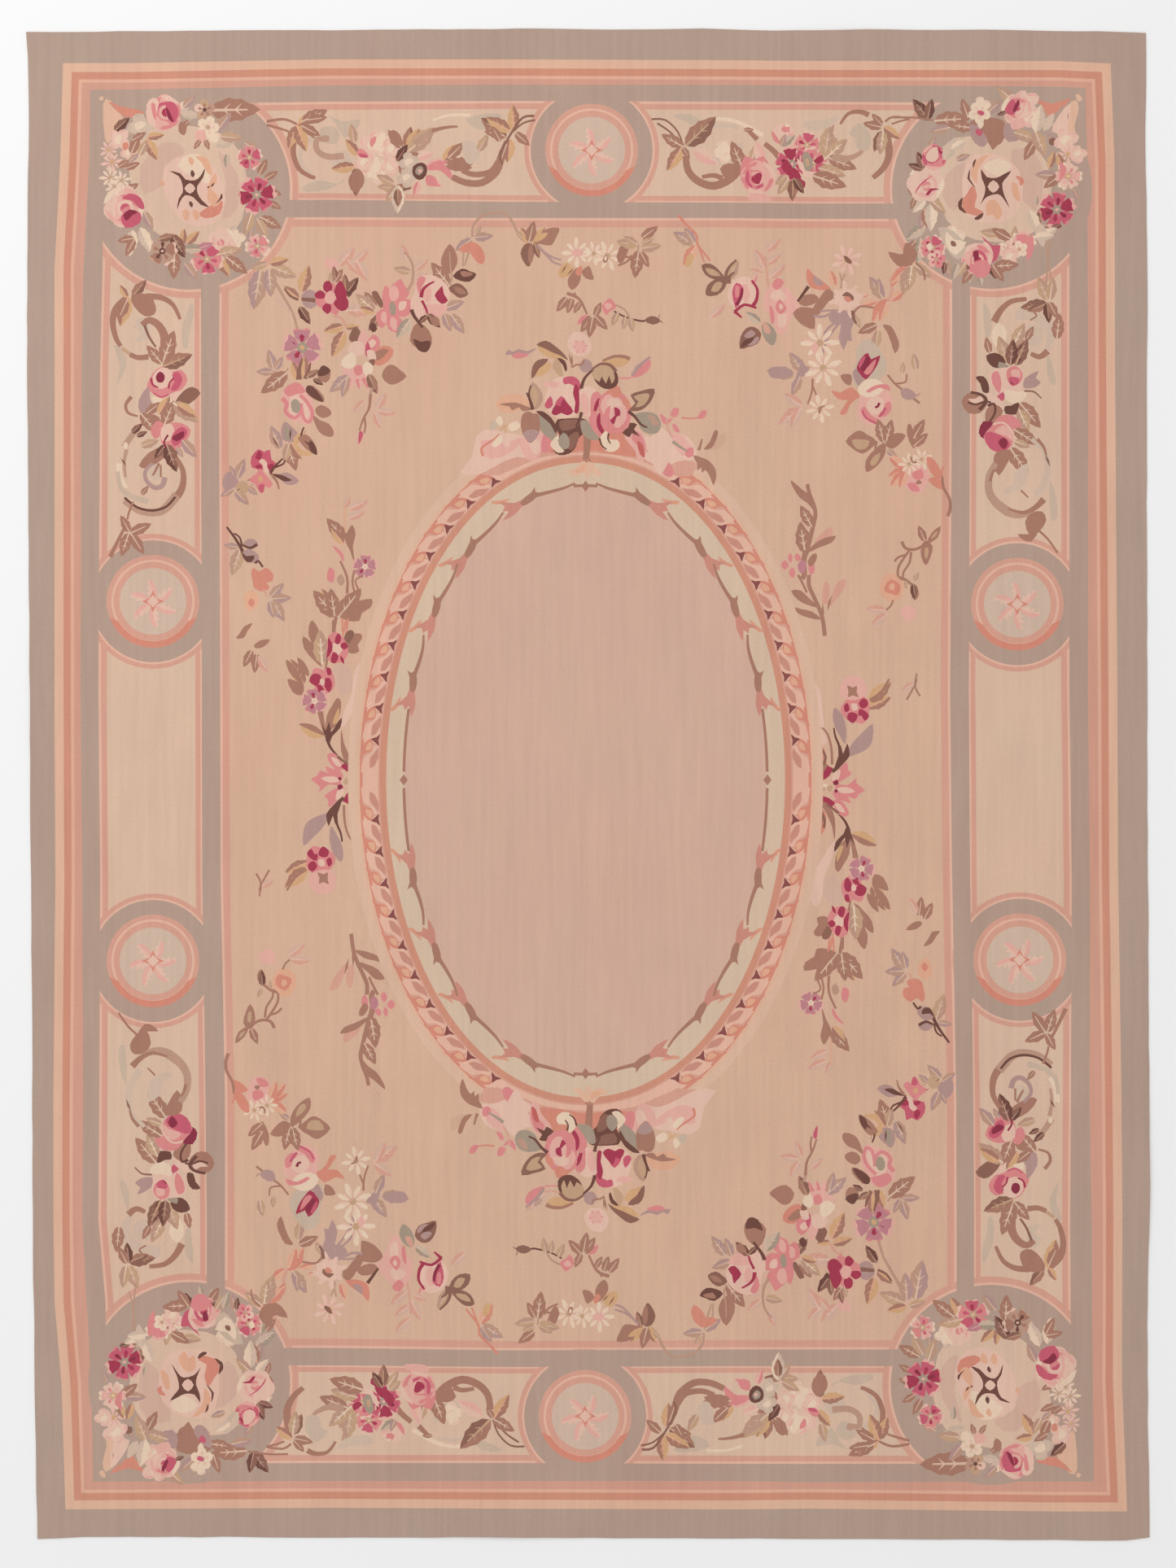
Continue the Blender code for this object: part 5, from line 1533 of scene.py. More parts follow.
    ("leaf", "umber", -39.6, 115.8, 4.8, -46),
    ("leaf", "umber", -39.4, 115.4, 3.2, 220),
    ("patch", "nutmeg", (-39, 114.6), (-37, 115), (-36.4, 113.4), (-37.6, 112.6)),
    ("stem", "umber", 1.0, 0.6, (-43.4, 116.8), (-42.6, 115), (-40.6, 112.4)),
)

FIELD_TOP = (
    ("stem", "fawn", 0.6, 0.7, (-28.4, 134.6), (-28.2, 137.4), (-26, 139.8), (-22.6, 140.6), (-20, 140.2),
     (-18.2, 137.6), (-17, 135), (-15.2, 133.4)),
    ("leaf", "lilac", -28.2, 134.5, 5, 5),
    ("leaf", "lilac", -28.4, 134.2, 5.2, 214),
    ("patch", "coral", (-29.2, 132.9), (-28, 133.4), (-26.2, 132), (-25.3, 129.6), (-26, 127.9),
     (-27.6, 128.8),
     (-29, 131)),
    ("patch", "coral", (-31.8, 131.4), (-30.2, 133), (-28.6, 133), (-29.4, 130.8)),
    ("stem", "fawn", 0.5, 0.4, (-30.6, 131), (-30.8, 127.4)),
    ("stem", "fawn", 0.5, 0.4, (-29.2, 131), (-30.4, 127.6)),
    ("leaf", "fawn", -27.8, 135.2, 2.8, 55),
    ("leaf", "gold", -14.4, 133, 4.6, 118),
    ("leaf", "fawn", -16.2, 134.4, 2.6, 130),
    ("leaf", "gold", -13.8, 133, 5.2, 50),
    ("leaf", "nutmeg", -14.6, 133.2, 5.6, 76),
    ("patch", "nutmeg", (-13, 133.2), (-11, 135.8), (-9.6, 136.8), (-7, 136.8), (-7.8, 134.6), (-9, 132.6),
     (-11.6, 132.9)),
    ("patch", "gold", (-13.6, 133.4), (-11.8, 135.4), (-9.8, 135.6), (-11.4, 133.9)),
    ("patch", "brown", (-15.6, 132.8), (-13.8, 133), (-13.2, 130.4), (-14.4, 127.4), (-15.6, 128.2),
     (-16.6, 130.6)),
    ("patch", "nutmeg", (-14.2, 132.8), (-13.2, 130.6), (-14.2, 127.8), (-14.8, 130)),
    ("leaf", "brown", -13.2, 133.2, 4, -72),
    ("stem", "lilac", 0.7, 0.5, (-12.4, 132.6), (-10, 130), (-8.4, 128.4), (-6.6, 127.8)),
    ("stem", "lilac", 0.5, 0.5, (-11.6, 131.6), (-9, 129.8), (-6.6, 129)),
    ("daisy", "cream", 1.4, 130.6, 3.0, 10),
    ("daisy", "cream", -2.8, 130.8, 3.8, 0),
    ("daisy", "cream", 4.8, 130, 3.8, 20),
    ("patch", "blush", (-4, 131), (-2.6, 131.8), (-1, 131), (-2, 129.8), (-3.6, 130)),
    ("patch", "nutmeg", (3.6, 129), (4.4, 130.4), (5, 129.2), (4.2, 128.2)),
    ("patch", "cream", (4, 129.6), (4.6, 130), (4.6, 129), (4.1, 128.9)),
    ("patch", "gold", (-7.4, 126), (-6, 128.2), (-4.4, 128), (-3.6, 126), (-6.4, 124.4)),
    ("stroke", "brown", -6.6, 125.6, 2.8, 50),
    ("stroke", "brown", -5.2, 125.2, 2.6, 38),
    ("patch", "nutmeg", (-4.6, 125), (-2.6, 127.2), (-1.7, 125.4), (-2.3, 123), (-4, 121.6), (-5, 123.2)),
    ("patch", "coral", (-3.2, 126), (-1.9, 127.6), (-1.2, 126.4), (-2.2, 125)),
    ("patch", "nutmeg", (-1.6, 126), (0.2, 127.6), (1, 125.8), (1.4, 124.2), (-0.4, 124.4)),
    ("patch", "nutmeg", (7, 130), (8.6, 133.4), (10.2, 133), (9.4, 130), (8, 128)),
    ("leaf", "nutmeg", -5, 120, 4.6, 234),
    ("leaf", "nutmeg", -3.8, 119.8, 4.2, 252),
    ("leaf", "nutmeg", -1.8, 118.8, 3.4, 240),
    ("stem", "nutmeg", 0.9, 0.5, (-5.2, 120.8), (-3, 120), (-1.6, 118.6), (-0.2, 115.6)),
    ("stem", "nutmeg", 0.5, 0.4, (-3.4, 121), (-2.8, 119.8)),
    ("patch", "pink", (-2.7, 113.2), (-1.6, 115.2), (0, 115.3), (-0.6, 113.8)),
    ("leaf", "nutmeg", 1, 115.4, 5, 236),
    ("leaf", "nutmeg", 1.2, 115.2, 5.4, 260),
    ("leaf", "nutmeg", 1.6, 115.4, 4.8, -48),
    ("leaf", "nutmeg", 1.6, 115, 4, 66),
)

SPRAY_RIGHT = (
    ("leaf", "fawn", 12.4, 132.6, 5.6, 170),
    ("leaf", "fawn", 12.2, 132.8, 4, 150),
    ("leaf", "nutmeg", 13, 134.2, 5.2, 36),
    ("leaf", "fawn", 12.8, 131.8, 5.4, 8),
    ("leaf", "fawn", 13, 133, 3.4, 20),
    ("leaf", "nutmeg", 12.5, 131.6, 7.2, 262),
    ("leaf", "nutmeg", 12.8, 131.2, 4.6, -62),
    ("stem", "nutmeg", 0.5, 0.5, (10.8, 130.2), (9.6, 128.6), (7.4, 127.6)),
    ("stem", "nutmeg", 0.6, 0.4, (10.4, 129.6), (8.6, 129.8), (7.8, 128.8)),
    ("stem", "fawn", 0.5, 0.4, (12.4, 132.8), (12.2, 130.8)),
    ("leaf", "lilac", 26.2, 132.8, 6.2, 150),
    ("leaf", "lilac", 26.2, 133, 4.8, 122),
    ("leaf", "coral", 26.6, 132.6, 6, 238),
    ("patch", "gold", (25, 130.6), (26, 130), (25.2, 127.6), (24, 127.4), (24, 129)),
    ("stem", "coral", 0.7, 0.5, (22.2, 140), (24.4, 137.4), (26.6, 135.2), (26.9, 132.8), (28.6, 130.6),
     (30, 128.8)),
    ("stem", "coral", 0.6, 0.4, (26.9, 133), (27.8, 130.6), (28.6, 128.4)),
    ("patch", "brown", (27.9, 127.7), (30, 128.1), (32, 126.7), (34, 124), (31, 124.2), (28.8, 125.4)),
    ("patch", "tan", (28.8, 127), (31, 126.6), (32.6, 125.1), (30, 125.3)),
    ("patch", "brown", (29, 120.3), (29.3, 122.7), (31.4, 124.3), (34, 124.2), (33.6, 122), (31.6, 120.3)),
    ("patch", "tan", (30.2, 121.4), (31.4, 123.5), (33, 123.3), (32, 121.3)),
    ("leaf", "fawn", 34.2, 124, 5.6, 60),
    ("stem", "brown", 1.0, 0.5, (34.4, 123.6), (33.9, 125.4), (34.8, 127.4), (36.5, 129)),
    ("stem", "brown", 1.1, 0.4, (34.6, 123.2), (34.8, 125), (36, 126)),
    ("stem", "umber", 0.4, 0.5, (6.4, 116.4), (9.4, 114.9), (13, 114), (14.4, 114.2)),
    ("patch", "brown", (13.8, 114.1), (15.4, 115.2), (17, 114.9), (17.8, 113.9), (16, 113.1)),
    ("stroke", "brown", 17.2, 114.4, 1.8, -42),
    ("stroke", "brown", 17.2, 114.4, 1.6, 62),
    ("stem", "fawn", 0.5, 0.5, (6.6, 118), (9, 116.8), (10.4, 114.4)),
    ("leaf", "fawn", 7.4, 116.2, 3.8, 246),
    ("leaf", "fawn", 9.2, 115.2, 3.4, 262),
    ("leaf", "fawn", 10.4, 115, 3.8, -80),
    ("patch", "pink", (3.4, 117.6), (4.4, 118.9), (5.4, 119.6), (6.4, 118.6), (6.9, 117.3), (5.4, 116.4),
     (4.4, 115.4)),
    ("patch", "blush", (4, 118.2), (5.4, 118.4), (6, 117.6), (4.8, 116.8)),
    ("leaf", "faint", 10.6, 100.2, 6.6, 46),
    ("leaf", "lilac", 11.4, 101.4, 3, 50),
    ("stem", "salmon", 0.4, 0.4, (7.2, 100.2), (9, 99.8), (11, 100.2)),
    ("leaf", "faint", 43.6, 131.2, 5, 40),
    ("leaf", "faint", 43.4, 126.8, 5.4, 116),
    ("leaf", "faint", 43.8, 128, 4.6, 35),
    ("leaf", "faint", 44.6, 124.6, 5.2, 40),
    ("leaf", "faint", 43, 125.4, 3.6, 160),
    ("stem", "salmon", 0.5, 0.4, (44.6, 121), (44, 125), (43.6, 130)),
    ("leaf", "faint", 30, 115, 5, 40),
    ("patch", "petal", (35.6, 123.8), (38.6, 125), (40.4, 124), (41.8, 121), (41, 117.8), (38.4, 117.6),
     (36, 117), (34.2, 120)),
    ("patch", "blush", (37.6, 122.4), (39, 123), (39.8, 120), (38.4, 118.4)),
    ("patch", "rose", (36, 118), (35.4, 121), (36.4, 123.4), (38.2, 122.2), (37.8, 119.4), (36.4, 117.2)),
    ("patch", "pink", (36.2, 120), (36.2, 122.6), (37.2, 122.4), (37, 120)),
    ("stem", "wine", 0.6, 0.9, (37.9, 122), (37.6, 120), (36.5, 117.9)),
    ("leaf", "pink", 40, 123, 2.8, 55),
    ("stem", "crimson", 0.5, 1.0, (40.2, 124), (41.6, 121.8), (41.4, 119.2), (40.4, 117.6)),
    ("stem", "crimson", 0.8, 0.6, (36, 116.2), (38.4, 118), (41.4, 117.2)),
    ("stem", "crimson", 0.9, 0.4, (36, 116.4), (37.8, 114.8)),
    ("patch", "blush", (43.6, 121), (46, 123.8), (48.6, 122.4), (50.8, 120), (51.8, 117.6), (49.6, 114.6),
     (48.2, 110.8), (46.4, 111.4), (45.4, 115), (43.2, 117)),
    ("patch", "petal", (44.6, 120), (47, 122), (48.6, 120), (47.6, 118.6)),
    ("patch", "petal", (46.6, 115.6), (48.6, 115.8), (48.6, 113), (47, 112.4)),
    ("patch", "pink", (45.2, 122.8), (46.4, 124.6), (48.2, 123.6), (46.6, 121.6)),
    ("patch", "pink", (46.2, 118), (47, 119.4), (48, 118.4), (48.8, 117), (47.4, 115.6), (46.2, 116.8)),
    ("patch", "petal", (46.9, 117.9), (47.5, 118.3), (48, 117.4), (47.3, 116.7)),
    ("patch", "pink", (44.6, 117.8), (45.6, 116.6), (45.8, 114), (45, 113.4)),
    ("leaf", "sage", 42.4, 113.4, 4.6, 142),
    ("patch", "brown", (37.5, 110.2), (39, 112.3), (41, 112.5), (42.6, 110.8), (41.6, 108.4), (39.4, 107.6),
     (37.3, 107.2)),
    ("patch", "lilac", (38.3, 110.3), (40, 111.8), (41.2, 110.8), (39.6, 109.8)),
    ("patch", "lilac", (39.2, 108.2), (41.6, 110.2), (42, 109.4), (40.8, 108.1)),
    ("patch", "umber", (37.5, 107.4), (38.4, 109.2), (40.8, 110), (40.2, 108.8), (38.8, 108)),
    ("patch", "sage", (43, 113.6), (44.8, 113.2), (46.4, 110.6), (45.6, 108), (43.8, 109), (42.7, 111.4)),
    ("patch", "salmon", (43, 113.7), (44.4, 112.8), (44.9, 111), (43.4, 111.2)),
    ("patch", "coral", (53.9, 127), (55.4, 125.4), (57.4, 124), (59.8, 121.8), (57, 121.6), (54.6, 122.4),
     (53.7, 124.4)),
    ("patch", "lilac", (55.4, 125.2), (57.2, 124), (57.8, 122.8), (55.8, 123)),
    ("patch", "nutmeg", (51.6, 118.8), (53, 120.3), (55.6, 120.6), (56.8, 119.2), (54.8, 117.9),
     (52.8, 117.7)),
    ("stem", "umber", 0.5, 0.9, (51.5, 118.8), (52.8, 120.6), (54.2, 122.5)),
    ("patch", "nutmeg", (60.2, 121.2), (58.6, 121.8), (57, 119.8), (55.2, 117), (57, 116.2), (58.8, 118.4),
     (60.2, 119.4)),
    ("patch", "nutmeg", (50.4, 116), (52.2, 117.4), (55, 117.2), (57.6, 116.4), (55.8, 114.8), (55.7, 112),
     (53, 112.8), (51.4, 114.2)),
    ("stem", "lilac", 0.7, 0.5, (55.4, 115.2), (58, 115.1), (60, 116.1), (61.6, 116.8)),
    ("stem", "lilac", 0.6, 0.4, (57, 116.4), (59.4, 116.6), (61.4, 116.6)),
    ("leaf", "coral", 60.6, 122.4, 4.2, 104),
    ("daisy", "blush", 63.6, 129, 4, 20),
    ("patch", "brown", (62.8, 129.9), (63.6, 129.9), (64.9, 128.6), (64.4, 128), (63.4, 128.6)),
    ("stem", "fawn", 0.4, 0.5, (61.8, 125.8), (62.3, 124), (62.2, 122)),
    ("stem", "fawn", 0.4, 0.4, (63.2, 125.6), (62.4, 123.8)),
    ("patch", "lilac", (59, 115), (61.6, 116.6), (64.4, 116.2), (65.6, 114.6), (64.6, 111.6), (64.9, 109),
     (63.8, 109.2), (62.8, 106.8), (61.6, 110), (62.2, 113), (60.6, 113)),
    ("stem", "lilac", 0.6, 0.5, (62, 113.8), (59.4, 110.4), (57, 105.6)),
    ("stem", "lilac", 0.6, 0.5, (60.6, 113.6), (58.2, 111.2), (58.4, 108.6), (57.4, 105)),
    ("daisy", "blush", 63.8, 119.4, 4.8, 10),
    ("patch", "petal", (60.6, 120), (62.6, 121.8), (65.6, 121.6), (67, 119.6), (65.6, 117.4), (62.4, 117)),
    ("patch", "brown", (62.4, 120.1), (63.6, 121.2), (65.3, 120), (65, 118.9), (64, 120)),
    ("patch", "coral", (62.8, 119.7), (64, 120.1), (64.8, 119.1), (63.8, 118.6)),
    ("leaf", "coral", 67.4, 119.9, 1.6, 20),
    ("leaf", "coral", 67.2, 118, 4, 12),
    ("leaf", "fawn", 65.2, 115.6, 3.8, -62),
    ("stem", "brown", 1.0, 0.5, (65.1, 116.6), (65.3, 114.6), (66, 113.4)),
    ("stem", "nutmeg", 0.6, 0.5, (65.4, 116.2), (67, 117.6), (70.4, 117.2)),
    ("leaf", "lilac", 72.6, 119.4, 6.6, 122),
    ("leaf", "lilac", 71.6, 120.6, 4, 92),
    ("leaf", "coral", 73.8, 119, 6.6, 232),
    ("leaf", "coral", 73.4, 118.6, 5, 250),
    ("stem", "coral", 0.7, 0.5, (74.2, 119.2), (72, 118.8), (70.4, 117), (70.2, 114.2)),
    ("leaf", "coral", 74.2, 119, 4.8, 36),
    ("stem", "salmon", 0.7, 0.6, (73.8, 119), (74.8, 121.6), (74.4, 124), (76, 126.6), (77.8, 127.6)),
    ("stem", "coral", 0.6, 0.5, (74.6, 122.6), (76.4, 124.4), (77.6, 126.6)),
    ("patch", "nutmeg", (79.8, 127.8), (78, 130.4), (76.6, 130.4), (73.8, 131), (75, 128.6), (77, 127.2)),
    ("patch", "nutmeg", (79.8, 128.2), (81, 130.6), (79.4, 132.6), (78, 133.2), (77.4, 130.6), (78.6, 128.6)),
    ("leaf", "coral", 78.8, 127.4, 5.8, 222),
    ("leaf", "fawn", 79.2, 127.6, 7.4, 256),
    ("leaf", "tan", 79.6, 127.6, 6.2, 262),
    ("leaf", "tan", 80, 128, 5.6, -36),
    ("stem", "nutmeg", 0.7, 0.4, (80.6, 128.2), (82.4, 126.4), (82.8, 124)),
    ("leaf", "nutmeg", 71.2, 113.2, 5.4, 204),
    ("leaf", "fawn", 71.4, 112, 5.4, 260),
    ("patch", "nutmeg", (72.4, 113), (74.4, 112.8), (75.8, 110.4), (76.5, 108), (75.4, 106), (74.4, 109),
     (73.4, 111.4)),
    ("patch", "mist", (66, 107.4), (69, 109.6), (72.4, 106), (73.4, 102), (71.6, 99.6), (67, 97.6),
     (64.8, 100),
     (66, 104)),
    ("patch", "lilac", (65, 101.4), (66.4, 102.4), (67.4, 100), (68.8, 98.8), (67, 97.8), (65.8, 99)),
    ("patch", "crimson", (66, 102.6), (67.2, 105), (68.8, 106.2), (69.6, 104.6), (71.8, 105.6), (71, 103),
     (69.6, 101), (68.2, 99.6), (66.8, 101)),
    ("patch", "wine", (67.2, 103.6), (68.6, 105.4), (69.4, 104.2), (68.4, 102), (67.2, 101.8)),
    ("patch", "rose", (66.4, 103), (67.4, 105.2), (68.2, 105), (67, 102.6)),
    ("patch", "pink", (67.8, 101.4), (69.4, 103.4), (70.8, 104.6), (70, 102), (68.8, 100.8)),
    ("leaf", "lilac", 50.8, 100.8, 7, 172),
    ("patch", "lilac", (44.3, 102), (46, 102.8), (49, 102.2), (50.6, 101), (48.6, 100), (45.2, 100)),
    ("leaf", "lilac", 52.8, 101.4, 6, 124),
    ("patch", "lilac", (52.4, 104.8), (53.4, 103), (54.6, 102.6), (53, 100.4), (51, 99.8), (51.8, 102.4)),
    ("leaf", "lilac", 52.2, 100.4, 5.2, 246),
    ("daisy", "cream", 57, 108.6, 4.8, 0),
    ("daisy", "cream", 57.8, 102.4, 4.8, 20),
    ("patch", "blush", (54.8, 107.4), (55.8, 108.8), (56.6, 107.6), (55.8, 105.8)),
    ("stroke", "blush", 57.4, 101.2, 1.8, 40),
    ("stem", "nutmeg", 0.6, 0.4, (55.2, 99.8), (55, 96.6), (54, 93.6)),
    ("stem", "nutmeg", 0.5, 0.4, (55.2, 98), (56.2, 95.6), (57, 93.6)),
    ("patch", "nutmeg", (62, 100.6), (63.6, 101), (64.8, 100.6), (64.6, 98.2), (63, 98.8)),
    ("stem", "nutmeg", 0.5, 0.6, (73.6, 100.8), (75.4, 98.6), (77.4, 97), (79.4, 95.4), (81.5, 93.8)),
    ("patch", "lilac", (76.8, 97), (78.6, 97.5), (80.8, 95.8), (79.4, 94.6), (77.4, 95)),
    ("stem", "nutmeg", 0.5, 0.4, (75.6, 98.6), (78, 99), (78.3, 101)),
    ("stroke", "nutmeg", 80.6, 95.2, 1.8, 40),
    ("leaf", "fawn", 77.2, 101, 3, 85),
    ("leaf", "tan", 80.7, 101.8, 4.4, 100),
)

